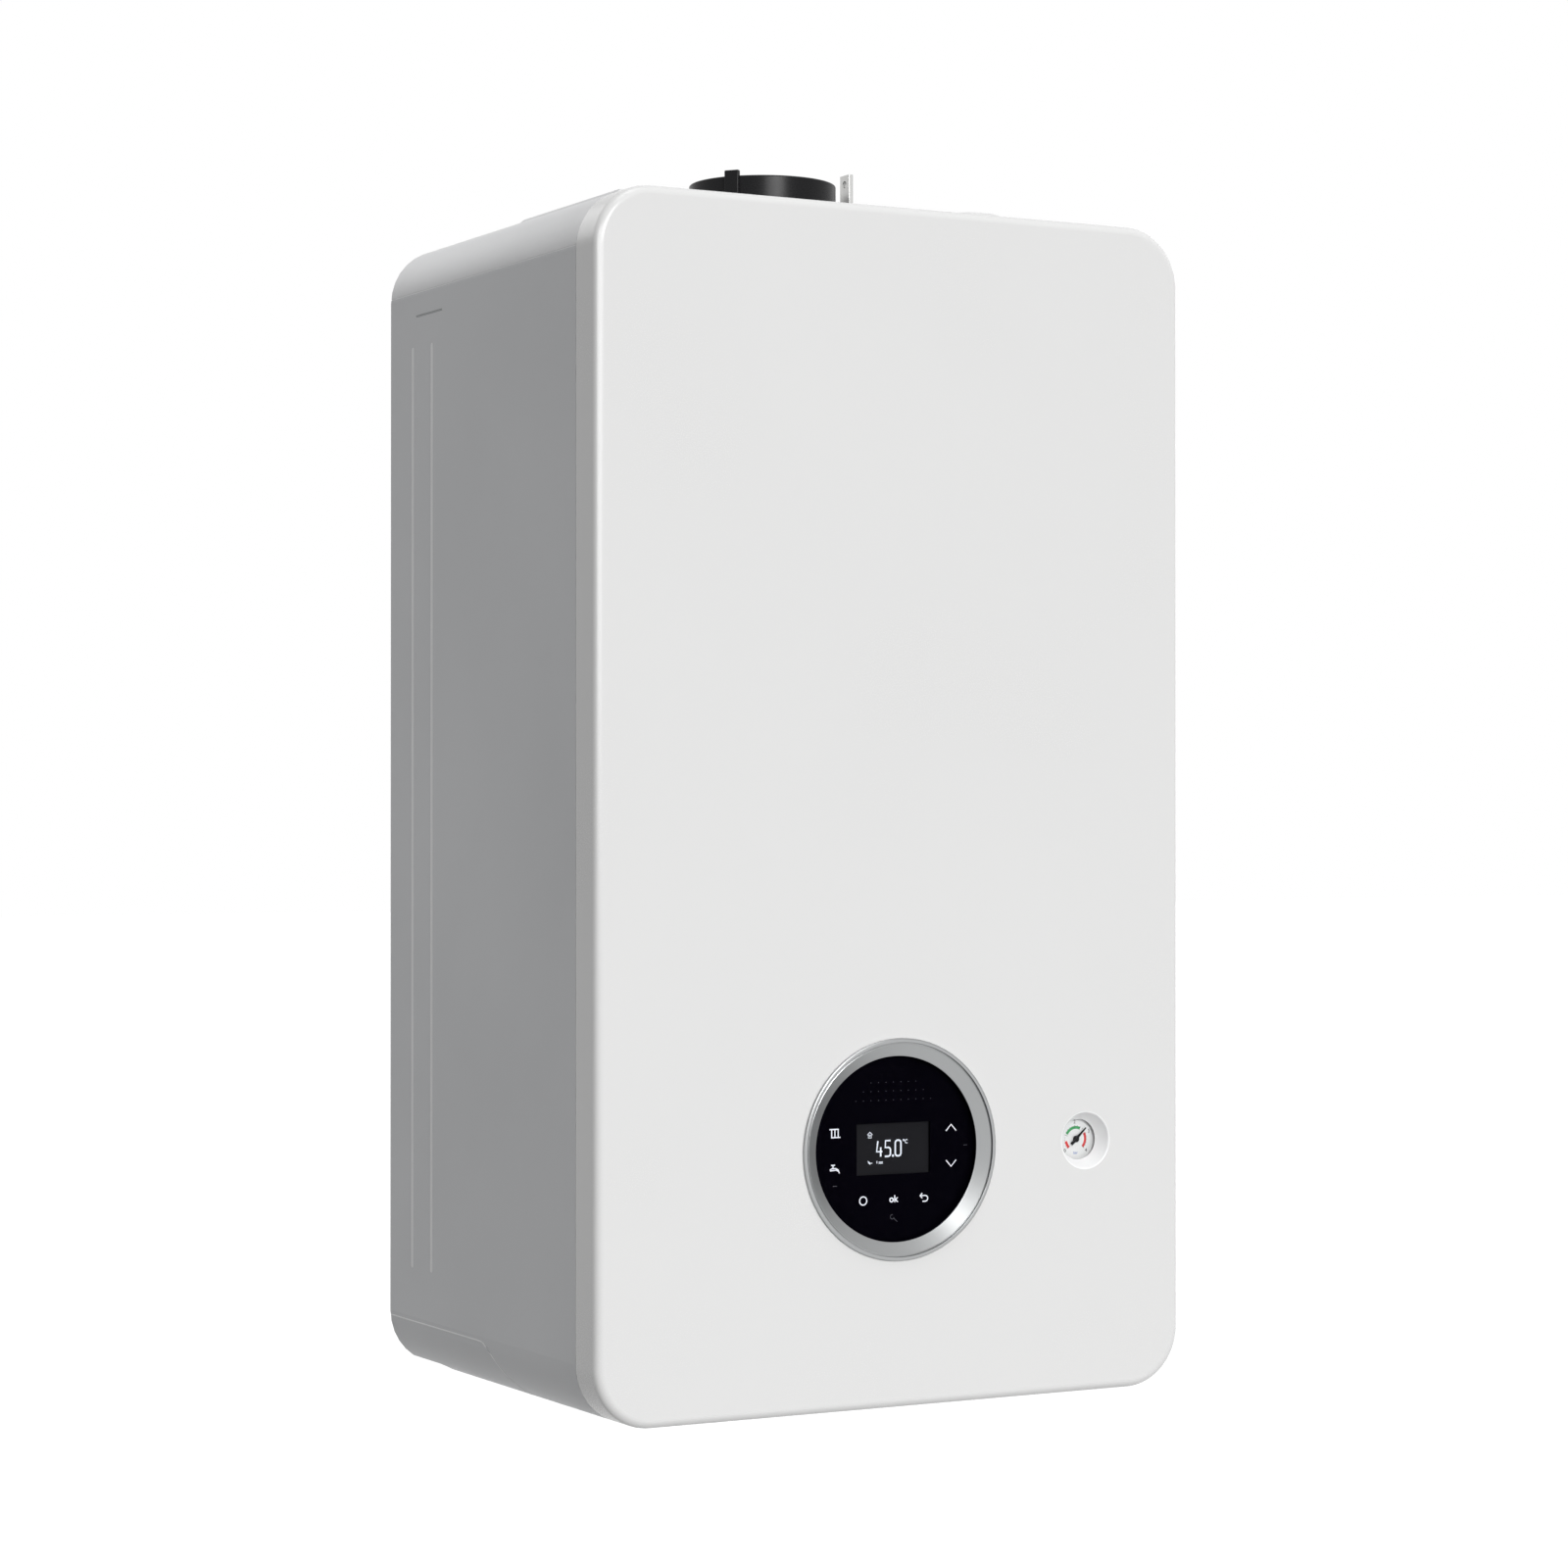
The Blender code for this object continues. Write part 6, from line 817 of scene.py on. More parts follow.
def rounded_front(name, inset, front, back, sizes):
    """A bar with the case's outline, rounded towards the front."""
    low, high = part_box("front_cover")
    middle = (low + high) / 2
    bpy.ops.object.select_all(action="DESELECT")
    bpy.ops.mesh.primitive_plane_add(
        size=1.0, location=(middle.x, back, middle.z), rotation=(QUARTER, 0.0, 0.0)
    )
    obj = take_new(name)
    obj.scale = (high.x - low.x - 2 * inset, high.z - low.z - 2 * inset, 1.0)
    settle(obj)
    with editing(obj):
        bpy.ops.mesh.bevel(offset=sizes.corner_radius - inset, segments=28, affect="VERTICES")
        bpy.ops.mesh.select_all(action="SELECT")
        bpy.ops.mesh.extrude_region_move(TRANSFORM_OT_translate={"value": (0.0, front - back, 0.0)})
        bpy.ops.mesh.select_all(action="SELECT")
        bpy.ops.mesh.normals_make_consistent(inside=False)
    with editing_only(obj, "VERT", lambda vertex: abs(vertex.co.y - front) < SAME_POINT):
        bpy.ops.mesh.select_mode(type="EDGE")
        bpy.ops.mesh.bevel(offset=sizes.edge_radius - inset, segments=9, affect="EDGES")
    return obj


def on_rounding(face):
    """Whether a face of the cover lies on its rounded edge, between the front and the return."""
    return -0.999 < face.normal.y < -0.01


# The gauge well's bowl: shares of the way in from its mouth and of the way down to its floor.
BOWL_CURVE = ((0.22, 0.25), (0.47, 0.52), (0.72, 0.78), (0.88, 0.94), (1.0, 1.0))


def gauge_well(sizes):
    """The bowl pressed into the cover, open at its floor, with its outside behind the cover."""
    mouth, depth = sizes.well_radius + sizes.well_rim, sizes.well_depth
    reach, drop = sizes.well_radius - sizes.well_floor, depth - sizes.well_rim
    lip = 0.15 * MM
    profile = [
        *arc((mouth, sizes.well_rim), sizes.well_rim, 270, 180, 8),
        *[
            (sizes.well_floor + reach * (1.0 - across), sizes.well_rim + drop * down)
            for across, down in BOWL_CURVE
        ],
        (sizes.well_floor, depth + lip),
        (sizes.well_floor + 2.5 * MM, depth + lip),
        (mouth - 0.5 * MM, 0.7 * depth),
        (mouth - 0.02 * MM, sizes.sheet),
        (mouth, 0.0),
    ]
    return turned("front_cover_gauge_well", profile, GAUGE_PLACE, "Y")


class OBJECT_OT_boiler_front_cover(bpy.types.Operator):
    """Model the front cover with its rounded edge, display hole and gauge well"""

    bl_idname = "object.boiler_front_cover"
    bl_label = "Front Cover"

    def execute(self, context):
        sizes = context.scene.boiler_cover
        front, back = [corner.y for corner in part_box("front_cover")]
        spare = 5 * MM
        cover = rounded_front("front_cover_shell", 0.0, front, back, sizes)
        hollow = rounded_front("cover_hollow", sizes.sheet, front + sizes.sheet, back + spare, sizes)
        openings = (
            ("display_hole", sizes.display_hole, DISPLAY_PLACE),
            ("gauge_hole", sizes.well_radius + sizes.well_rim, GAUGE_PLACE),
        )
        holes = [
            turned(name, [(radius, -spare), (radius, sizes.sheet + spare)], place, "Y", solid=True)
            for name, radius, place in openings
        ]
        carve(cover, hollow, *holes)
        rounding = parted("front_cover_rounding", cover, on_rounding)
        show(smooth(cover), "white_paint", "cover", "front_cover", material="cover_paint")
        show(smooth(rounding), "white_paint", "cover", material="cover_paint")
        # The well takes a whiter finish than the cover: painted light that lifts the shade on its walls.
        show(gauge_well(sizes), "white_paint", "cover", material="pale_line")
        return {"FINISHED"}


class OBJECT_OT_boiler_display_ring(bpy.types.Operator):
    """Model the metal ring round the display"""

    bl_idname = "object.boiler_display_ring"
    bl_label = "Display Ring"

    def execute(self, context):
        sizes = context.scene.boiler_display
        outer, opening = sizes.ring_radius / MM, sizes.ring_opening / MM
        proud = sizes.ring_proud / MM
        sleeve, bore, end = 62.2, 60.7, 9.0
        profile = [
            (sleeve, -0.3),
            (outer, -0.3),
            (outer, -proud + 0.9),
            (outer - 0.15, -proud + 0.5),
            (outer - 0.5, -proud + 0.15),
            (outer - 1.0, -proud),
            (outer - 2.0, -proud),
            (outer - 2.3, -proud + 0.1),
            (outer - 2.45, -proud + 0.4),
            (outer - 2.5, -proud + 1.7),
            (outer - 3.1, -proud + 1.7),
            (outer - 3.15, -proud + 0.9),
            (outer - 3.4, -proud + 0.8),
            (opening + 0.5, 3.45),
            (opening + 0.12, 3.65),
            (opening, 3.95),
            (opening, 4.4),
            (bore, 2.4),
            (bore, end),
            (sleeve, end),
            (sleeve, -0.3),
        ]
        ring = turned("display_ring_turned", scaled(profile), DISPLAY_PLACE, "Y", sides=192)
        show(ring, "satin_metal", "cover", "display_ring")
        return {"FINISHED"}


def touch_marks():
    """Each touch mark's lines, in millimetres from the glass's middle."""
    marks = []
    x, z = -40.0, 10.5
    marks += [[(x + step, z - 2.6), (x + step, z + 2.6)] for step in (-2.2, 0.0, 2.2)]
    marks += [[(x - 3.7, z + 2.4), (x + 2.6, z + 2.4)], [(x - 2.6, z - 2.4), (x + 3.7, z - 2.4)]]
    z = -10.5
    marks += [
        [(x - 3.5, z - 0.6), (x - 2.2, z + 0.3), (x + 0.6, z + 0.3), (x + 2.2, z - 0.5), (x + 3.0, z - 2.6)],
        [(x - 3.3, z - 0.9), (x + 0.9, z - 0.6), (x + 2.6, z - 1.5)],
        [(x - 1.3, z + 0.2), (x - 1.3, z + 2.6)],
        [(x - 2.6, z + 2.3), (x, z + 2.3)],
    ]
    x = 40.0
    marks += [[(x - 3.5, 10.9 - 1.9), (x, 10.9 + 1.9), (x + 3.5, 10.9 - 1.9)]]
    marks += [[(x - 3.5, -10.5 + 1.9), (x, -10.5 - 1.9), (x + 3.5, -10.5 + 1.9)]]
    x, z = -20.8, -30.2
    marks += [arc((x, z), 2.45, 90, 450, 24)]
    x = 21.0
    marks += [
        [(x - 2.6, z + 1.2), *arc((x + 1.0, z - 0.5), 1.7, 90, -90, 10), (x - 1.0, z - 2.2)],
        [(x - 1.1, z + 2.7), (x - 2.7, z + 1.2), (x - 1.1, z - 0.3)],
    ]
    return marks


def faint_marks():
    """The unlit marks: rows of dots, two dashes and the service mark."""
    dots = []
    for height, count in ((39.5, 7), (34.3, 9), (28.9, 11)):
        for number in range(count):
            middle = (number - (count - 1) / 2) * 5.15
            dots.append([(middle - 0.25, height), (middle + 0.25, height)])
    dashes = [[(-41.4, -20.6), (-38.6, -20.6)], [(48.8, 0.0), (51.2, 0.0)]]
    spanner = [arc((-0.9, -40.6), 1.3, 70, 340, 10), [(0.1, -41.5), (2.6, -43.6)]]
    return dots + dashes + spanner


def digit_lines(height):
    """The temperature on the display and the small signs round it, from the display's middle."""
    width, top, low = height * 0.42, height / 2, -height / 2
    bar, round_side = low + height * 0.32, width * 0.42
    stem = width * 0.72
    four = [[(0.9, top), (0.0, bar), (width, bar)], [(stem, bar + height * 0.28), (stem, low)]]
    five = [
        [(width, top), (0.5, top), (0.3, 0.6), (width - 1.4, 0.6)]
        + arc((width - 1.6, 0.6 - 1.6), 1.6, 80, 0, 4)
        + arc((width - 1.6, low + 1.6), 1.6, 0, -90, 4)
        + [(0.0, low)]
    ]
    point = [arc((0.3, low + 0.2), 0.28, 0, 360, 8)]
    nought = [
        arc((width - round_side, top - round_side), round_side, 0, 90, 5)
        + arc((round_side, top - round_side), round_side, 90, 180, 5)
        + arc((round_side, low + round_side), round_side, 180, 270, 5)
        + arc((width - round_side, low + round_side), round_side, 270, 360, 5)
        + [(width, top - round_side)]
    ]
    lines, x = [], -10.6
    for shape, room in ((four, width + 1.7), (five, width + 1.4), (point, 1.9), (nought, width + 1.4)):
        lines += [[(x + px, pz) for px, pz in path] for path in shape]
        x += room
    small = [
        arc((x + 0.5, top - 0.1), 0.45, 0, 360, 8),
        arc((x + 2.5, top - 0.9), 1.05, 50, 310, 9),
        [(-16.9, 8.5), (-15.2, 10.1), (-13.5, 8.5)],
        [(-16.2, 8.4), (-16.2, 6.7), (-14.2, 6.7), (-14.2, 8.4), (-16.2, 8.4)],
        [(-15.6, 7.6), (-14.8, 7.6)],
        [(-16.6, -7.0), (-15.0, -8.3), (-13.6, -8.3)],
        [(-16.4, -7.8), (-15.0, -9.0)],
        [(-10.4, -7.2), (-10.4, -8.6)],
        [(-9.2, -7.9), (-6.4, -7.9)],
        [(-9.2, -8.6), (-6.4, -8.6)],
    ]
    return lines, small


class OBJECT_OT_boiler_display(bpy.types.Operator):
    """Model the glass, the housing and the lit marks behind the glass"""

    bl_idname = "object.boiler_display"
    bl_label = "Display"

    def execute(self, context):
        sizes = context.scene.boiler_display
        radius, thickness, bevel = sizes.glass_radius / MM, sizes.glass_thickness / MM, 0.4
        place = DISPLAY_PLACE + Vector((0.0, sizes.glass_depth, 0.0))
        profile = [(radius - bevel, 0.0), (radius, bevel)]
        profile += [(radius, thickness - bevel), (radius - bevel, thickness)]
        glass = turned("display_glass_disc", scaled(profile), place, "Y", solid=True)
        show(glass, "black_glass", "control_unit", "display_glass")
        let_light_through(glass)
        marks = at_front(DISPLAY_PLACE, "display_housing")
        lit = strokes("touch_marks", touch_marks(), sizes.mark_width, marks, segments=2)
        below = marks + Vector((0.0, 0.0, -30.1 * MM))
        confirm = letters("confirm_mark", "ok", 5.8 * MM, below, bold=0.12 * MM)
        show(joined("touch_marks", [lit, confirm]), "white_plastic", "control_unit", material="lit_mark")
        faint = strokes("faint_marks", faint_marks(), 0.5 * MM, marks)
        # The unlit marks glow faintly: painted light.
        show(faint, "grey_plastic", "control_unit", material="faint_mark")
        panel = at_front(marks, "lcd_module")
        lines, small = digit_lines(sizes.digit_height / MM)
        digits = strokes("display_digits", lines, sizes.digit_width, panel, segments=2)
        signs = strokes("display_signs", small, 0.55 * MM, panel)
        show(joined("display_digits", [digits, signs]), "white_plastic", "control_unit", material="lit_digit")
        low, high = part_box("lcd_module")
        inset = 1.4
        x, z = (high.x - low.x) / 2 / MM - inset, (high.z - low.z) / 2 / MM - inset
        outline = [(-x, -z), (x, -z), (x, z), (-x, z), (-x, -z)]
        edge = strokes("display_edge", [outline], 0.4 * MM, panel)
        show(edge, "grey_plastic", "control_unit", material="panel_frame")
        refined("lcd_module", 0.15 * MM)
        refined("display_housing", 0.15 * MM)
        return {"FINISHED"}


def dial_line(angle, inner, outer):
    turn = math.radians(angle)
    return [(reach * math.cos(turn), reach * math.sin(turn)) for reach in (inner, outer)]


# Where 0, 1, 2, 3 and 4 bar stand on the dial, in degrees.
DIAL_ANGLES = (222, 161, 94, 24, -44)


class OBJECT_OT_boiler_gauge(bpy.types.Operator):
    """Model the pressure gauge's dial print, lens and body"""

    bl_idname = "object.boiler_gauge"
    bl_label = "Pressure Gauge"

    def execute(self, context):
        sizes = context.scene.boiler_gauge
        front = at_front(GAUGE_PLACE, "gauge_dial")
        band, width, rise = sizes.band_radius / MM, sizes.band_width, 0.03 * MM
        safe = strokes("dial_green_band", [arc((0, 0), band, 154, 63, 30)], width, front, rise)
        limits = [arc((0, 0), band, 30, -44, 24), arc((0, 0), band, 190, 227, 12)]
        danger = strokes("dial_red_band", limits, width, front, rise)
        ticks = [dial_line(angle, band - 1, band + 1.6) for angle in DIAL_ANGLES]
        ticks += [
            dial_line(start + (end - start) * step / 5, band + 0.4, band + 1.3)
            for start, end in zip(DIAL_ANGLES, DIAL_ANGLES[1:])
            for step in range(1, 5)
        ]
        scale = [strokes("dial_scale", ticks, 0.22 * MM, front)]
        for number, angle in enumerate(DIAL_ANGLES):
            x, z = dial_line(angle, 0, sizes.number_radius / MM)[1]
            spot = front + Vector((x * MM, 0.0, z * MM))
            scale.append(letters(f"dial_number_{number}", str(number), sizes.number_size, spot))
        unit = letters("dial_unit", "bar", 2.4 * MM, front + Vector((0.0, 0.0, -8.5 * MM)))
        show(safe, "board_green", "case", material="print_green")
        show(danger, "red_plastic", "case")
        show(joined("dial_scale", scale), "black_plastic", "case")
        show(unit, "blue_plastic", "case")
        profile = [(1.0, 0.0), (9.0, 0.08), (14.2, 0.3), (15.2, 0.55), (15.2, 1.0), (1.0, 1.0)]
        place = at_front(GAUGE_PLACE, "gauge_lens")
        lens = turned("gauge_lens_domed", scaled(profile), place, "Y", sides=96, solid=True)
        show(lens, "clear_plastic", "case", "gauge_lens")
        let_light_through(lens)
        for node in ("gauge_body", "gauge_dial"):
            refined(node, 0.2 * MM)
        refined("gauge_needle", 0.0)
        return {"FINISHED"}


def flue_collar(sizes):
    """The collar turned with its flange and the groove under its rim, and the rib up its side."""
    low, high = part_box("flue_collar")
    outer, wall, soft = sizes.collar_radius / MM, sizes.collar_wall / MM, sizes.rim_radius / MM
    inner = outer - wall
    foot = low.z / MM
    plate = foot + 2.5
    rim = foot + 40.5
    duct = 30.6
    flange = sizes.flange_radius / MM
    profile = [
        (inner, plate),
        (duct, plate),
        (duct, foot),
        (flange, foot),
        (flange, plate),
        (outer, plate),
        (outer, rim - 7.0),
        (outer, rim - soft),
        *arc((outer - soft, rim - soft), soft, 0, 90, 5),
        *arc((inner + soft, rim - soft), soft, 90, 180, 5),
        (inner, rim - 4.5),
        (inner - 0.5, rim - 5.0),
        (inner - 0.5, rim - 6.2),
        (inner, rim - 6.7),
        (inner, plate),
    ]
    middle = centre_of("flue_duct")
    place = (middle.x, middle.y, 0.0)
    collar = turned("flue_collar_turned", scaled(profile), place)
    half = sizes.tab_width / 2
    tab_low = (sizes.collar_radius - sizes.collar_wall * 0.6, -half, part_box("top_cover")[1].z)
    tab_high = (sizes.collar_radius + 2 * MM, half, high.z)
    tab = soft_block("flue_collar_rib", tab_low, tab_high, 0.7 * MM)
    tab.rotation_euler = (0.0, 0.0, sizes.tab_angle)
    tab.location = place
    return joined("flue_collar_made", [collar, settle(tab)])


def air_port_plug():
    """The round plug on the top cover, with a flange on the cover and a rounded edge."""
    low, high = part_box("air_port_plug")
    foot, top = low.z / MM, high.z / MM
    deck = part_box("top_cover")[1].z / MM + 0.3
    neck, head, soft = 21.0, 25.0, 3.0
    profile = [
        (neck - soft, foot),
        (neck, foot),
        (neck, deck),
        (head, deck),
        (head, top - 3.2),
        *arc((head - soft, top - soft), soft, 14.324, 74.485, 3),
        (21.6, top),
        (1.0, top),
    ]
    middle = centre_of("air_port_plug")
    place = (middle.x, middle.y, 0.0)
    return turned("air_port_plug_turned", scaled(profile), place, sides=128, solid=True)


class OBJECT_OT_boiler_flue(bpy.types.Operator):
    """Model the flue collar with its rib, the inner duct, the plug and the lug"""

    bl_idname = "object.boiler_flue"
    bl_label = "Flue Collar"

    def execute(self, context):
        show(flue_collar(context.scene.boiler_flue), "black_plastic", "case", "flue_collar")
        refined("flue_duct", 0.0)
        show(air_port_plug(), "white_plastic", "case", "air_port_plug")
        refined("flue_lug", 0.4 * MM)
        return {"FINISHED"}


# Round pieces of the heat cell, as (radius, distance from the front) profiles in millimetres.
DOOR_FACE = 5.0
DOOR_PROFILE = (
    (9.2, 0.0), (16.2, 0.0), (17.0, 0.8), (17.0, 4.0), (18.4, DOOR_FACE), (61.0, DOOR_FACE),
    (62.4, 3.4), (66.6, 3.4), (68.0, DOOR_FACE), (88.5, DOOR_FACE), (91.0, 5.7), (92.6, 7.6),
    (93.0, 9.4), (93.0, 17.0), (9.2, 17.0), (9.2, 0.0),
)
DOOR_SEAL = ((92.0, 16.4), (94.0, 16.4), (94.0, 17.6), (92.0, 17.6), (92.0, 16.4))
SIGHT_FRAME = ((5.2, -3.4), (8.2, -3.4), (8.8, -2.6), (8.8, 0.2), (5.2, 0.2), (5.2, -3.4))
SIGHT_PANE = ((5.1, -1.8), (5.1, -0.2))
MOTOR_RADIUS = 32.0
MOTOR_GROOVES = (8.0, 15.5, 23.0)
MOTOR_CAP = ((12.0, -0.9), (13.0, -0.6), (13.6, 0.3))
BOOT_PROFILE = ((3.2, -16.0), (4.6, -14.6), (5.2, -6.0), (6.4, -5.0), (6.4, 0.0))
NIPPLE_PROFILE = ((4.4, -0.2), (4.4, 1.6), (3.0, 2.0), (3.0, 6.5), (3.6, 7.0), (3.6, 8.2), (2.4, 8.6))

# Each rib of the burner door: where it starts and ends from the middle, half its width and its height.
DOOR_RIB = (20.0, 60.0, 2.2, 2.4)
DOOR_RIBS = 5

# The leads' routes, in millimetres of the frame. They end on the bottom plate.
LEAD_ROUTES = {
    "fan_lead": (
        (143, -260, -325), (158, -262, -325), (176, -256, -330), (187, -240, -360),
        (187, -228, -430), (187, -226, -540), (187, -224, -608),
    ),
    "ignition_lead": (
        (4, -262, -193.7), (4, -276, -196), (12, -280, -225), (60, -276, -248), (130, -268, -254),
        (172, -262, -262), (183, -250, -310), (183, -232, -400), (183, -226, -540), (183, -224, -608),
    ),
    "valve_lead": (
        (42, -197, -326), (56, -204, -330), (60, -206, -362), (40, -206, -392), (-60, -206, -400),
        (-150, -208, -402), (-184, -214, -412), (-186, -220, -470), (-186, -222, -608),
    ),
    "pump_lead": (
        (150, -160, -462), (160, -172, -456), (176, -186, -462),
        (185, -205, -490), (187, -220, -540), (186, -222, -608),
    ),
}


def routed(name, sizes):
    return lead(name, LEAD_ROUTES[name], sizes.lead_radius)


def round_piece(name, profile, place, sides, solid=True):
    """A round piece that faces the room, from a profile in millimetres."""
    return turned(name, scaled(profile), place, "Y", sides=sides, solid=solid)


def burner_door(sizes):
    """The cast door with its raised ring, ribs, nuts, sight glass and seal."""
    front = front_of("burner_door")
    face = front + Vector((0.0, DOOR_FACE * MM, 0.0))
    door = round_piece("burner_door_plate", DOOR_PROFILE, front, 192, solid=False)
    inner, outer, half, height = [value * MM for value in DOOR_RIB]
    ribs = []
    for number in range(DOOR_RIBS):
        rib = soft_block(f"burner_door_rib_{number}", (inner, -half, -MM), (outer, half, height), 0.8 * MM)
        rib.rotation_euler = (0.0, 0.0, math.radians(36) + 2 * math.pi * number / DOOR_RIBS)
        ribs.append(settle(rib))
    ribs = spread(joined("burner_door_ribs", ribs), "burner_door_ribs", [face])
    show(joined("burner_door_made", [door, ribs]), "cast_aluminium", "case", "burner_door")
    nuts = spread(hex_nut(sizes.nut_radius), "burner_door_nuts", on_circle(face, 79.5 * MM, 5, 36.0))
    show(nuts, "stainless_steel", "case")
    sight = on_circle(face, 40 * MM, 1, 216.0)[0]
    show(round_piece("sight_glass_frame", SIGHT_FRAME, sight, 48, solid=False), "stainless_steel", "case")
    show(round_piece("sight_glass_pane", SIGHT_PANE, sight, 48), "clear_plastic", "case")
    show(round_piece("burner_door_seal", DOOR_SEAL, front, SHOWN_SIDES, solid=False), "rubber", "case")


def fan_motor_profile():
    """The motor with its rounded front and the cooling grooves round it."""
    skin, floor = MOTOR_RADIUS, MOTOR_RADIUS - 1.4
    profile = [(24.0, 0.0), (29.0, 0.5), (31.4, 2.0), (skin, 4.0)]
    for start in MOTOR_GROOVES:
        profile += [(skin, start), (floor, start + 0.6), (floor, start + 2.4), (skin, start + 3.0)]
    return [*profile, (skin, 34.0)]


def fan_fittings(sizes):
    """The fan's motor with its cap, screws, plug and lead, and the electrode's lead and boot."""
    front = front_of("fan_motor")
    motor = round_piece("fan_motor_turned", fan_motor_profile(), front, 96)
    show(motor, "black_plastic", "case", "fan_motor", material="dark_plastic")
    show(round_piece("fan_motor_cap", MOTOR_CAP, front, 64), "stainless_steel", "case")
    spots = on_circle(front, 21 * MM, 3, 90.0)
    spots += on_circle(at_front(front, "fan_housing"), 44.5 * MM, 6, 20.0)
    show(screws("fan_screws", sizes, spots), "stainless_steel", "case")
    plug = block_between("fan_plug", [(134, -268, -334), (146, -252, -316)], 1.2 * MM)
    show(plug, "dark_plastic", "case")
    loom = [routed(name, sizes) for name in ("fan_lead", "ignition_lead")]
    show(joined("fan_leads", loom), "rubber", "case")
    electrode = Vector((4.0, -256.0, -193.7)) * MM
    show(round_piece("ignition_boot", BOOT_PROFILE, electrode, 40), "rubber", "case")


def valve_fittings(sizes):
    """The gas valve's screws, test nipples, plug and lead."""
    face = -190
    spots = at_millimetres([(x, face, z) for z in (-351, -309) for x in (3, 53)])
    show(screws("valve_screws", sizes, spots), "stainless_steel", "case")
    nipple = turned("nipple", scaled(NIPPLE_PROFILE), sides=28, solid=True)
    nipples = spread(nipple, "valve_nipples", at_millimetres([(x, face, -346) for x in (16, 30)]))
    show(nipples, "brass", "case")
    plug = [block_between("valve_plug", [(13, -203, -332), (43, -188, -314)], 1.4 * MM)]
    for number in range(5):
        x = 16 + 5 * number
        corners = [(x, -204, -330), (x + 2, -202, -316)]
        plug.append(block_between(f"valve_plug_ridge_{number}", corners, 0.4 * MM))
    show(joined("valve_plug", plug), "dark_plastic", "case")
    show(routed("valve_lead", sizes), "rubber", "case")


def pump_fittings(sizes):
    """The pump's front disc, vent screw, casing screws and lead."""
    low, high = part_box("pump_motor")
    front = Vector(((low.x + high.x) / 2, low.y, low.z + (high.x - low.x) / 2))
    disc = round_piece("pump_disc", [(22.0, -1.4), (24.0, -1.2), (25.0, 0.2)], front, 96)
    show(disc, "stainless_steel", "case")
    vent = round_piece("pump_vent", [(6.0, -3.6), (7.0, -3.0), (7.0, -1.2)], front, 48)
    slot_low, slot_high = [front + Vector(corner) * MM for corner in ((-8.0, -5.0, -0.6), (8.0, -2.6, 0.6))]
    slot = soft_block("pump_vent_slot", slot_low, slot_high, 0.05 * MM, 1)
    show(carve(vent, slot), "brass", "case")
    casing = screws("pump_screws", sizes, on_circle(front, 32 * MM, 4, 45.0))
    show(casing, "stainless_steel", "case")
    show(routed("pump_lead", sizes), "rubber", "case")


def control_fittings(sizes):
    """The control box's lid screws, its louvres and the raised panel of its lid."""
    lid_low, lid_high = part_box("control_box_lid")
    inset, rim = 9 * MM, 16 * MM
    spots = [
        Vector((x, lid_high.y, z))
        for x in (lid_low.x + inset, (lid_low.x + lid_high.x) / 2, lid_high.x - inset)
        for z in (lid_low.z + inset, lid_high.z - inset)
    ]
    show(screws("lid_screws", sizes, spots, BACKWARD), "stainless_steel", "control_unit")
    low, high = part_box("control_box")
    first, pitch, width, end = 24 * MM, 11 * MM, 5 * MM, 14 * MM
    louvres = []
    for number in range(21):
        x = low.x + first + pitch * number
        start, stop = (x, low.y + end, high.z - 0.5 * MM), (x + width, high.y - end, high.z + 1.3 * MM)
        louvres.append(soft_block(f"louvre_{number}", start, stop, 0.6 * MM))
    show(joined("control_box_louvres", louvres), "dark_plastic", "control_unit")
    start = (lid_low.x + rim, lid_high.y - 0.5 * MM, lid_low.z + rim)
    stop = (lid_high.x - rim, lid_high.y + 1.2 * MM, lid_high.z - rim)
    show(soft_block("lid_panel", start, stop, 0.8 * MM), "dark_plastic", "control_unit")


def case_fittings(sizes):
    """The screws of the shelf and the bottom plate, the leads' clips and the vessel's seam."""
    low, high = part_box("exchanger_shelf")
    ends = (low.x + 12 * MM, high.x - 12 * MM)
    spots = [Vector((x, y, high.z)) for y in (low.y + 14 * MM, (low.y + high.y) / 2) for x in ends]
    made = [screws("shelf_screws", sizes, spots, UPWARD)]
    low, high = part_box("bottom_plate")
    floor = low.z + 1.5 * MM
    ends = (low.x + 14 * MM, high.x - 14 * MM)
    spots = [Vector((x, y * MM, floor)) for x in ends for y in (-240, -150, -40)]
    made.append(screws("plate_screws", sizes, spots, UPWARD))
    show(joined("case_screws", made), "stainless_steel", "case")
    clips = [
        block_between(f"lead_clip_{number}", [(180, -234, z - 5), (198, -217, z + 5)], 1.2 * MM)
        for number, z in enumerate((-430, -520, -590))
    ]
    show(joined("lead_clips", clips), "grey_plastic", "case")
    low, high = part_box("expansion_vessel")
    centre = Vector((0.0, low.y, (low.z + high.z) / 2))
    reach, depth = (high.x - low.x) / 2 / MM, (high.y - low.y) / 2 / MM
    root, crest = reach - 1.0, reach + 1.6
    seam = [(root, depth - 3.0), (crest, depth - 2.4), (crest, depth + 2.4), (root, depth + 3.0)]
    show(round_piece("vessel_seam", [*seam, seam[0]], centre, 192, solid=False), "red_paint", "case")


def side_x(side, z):
    """Where the case's outside lies at a height in millimetres, rounded under at its lower corners."""
    low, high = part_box("left_side_panel")[0] / MM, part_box("right_side_panel")[1] / MM
    radius = bpy.context.scene.boiler_cover.corner_radius / MM
    under = max(0.0, low.z + radius - z)
    return side * (high.x - radius + math.sqrt(max(0.0, radius * radius - under * under)))


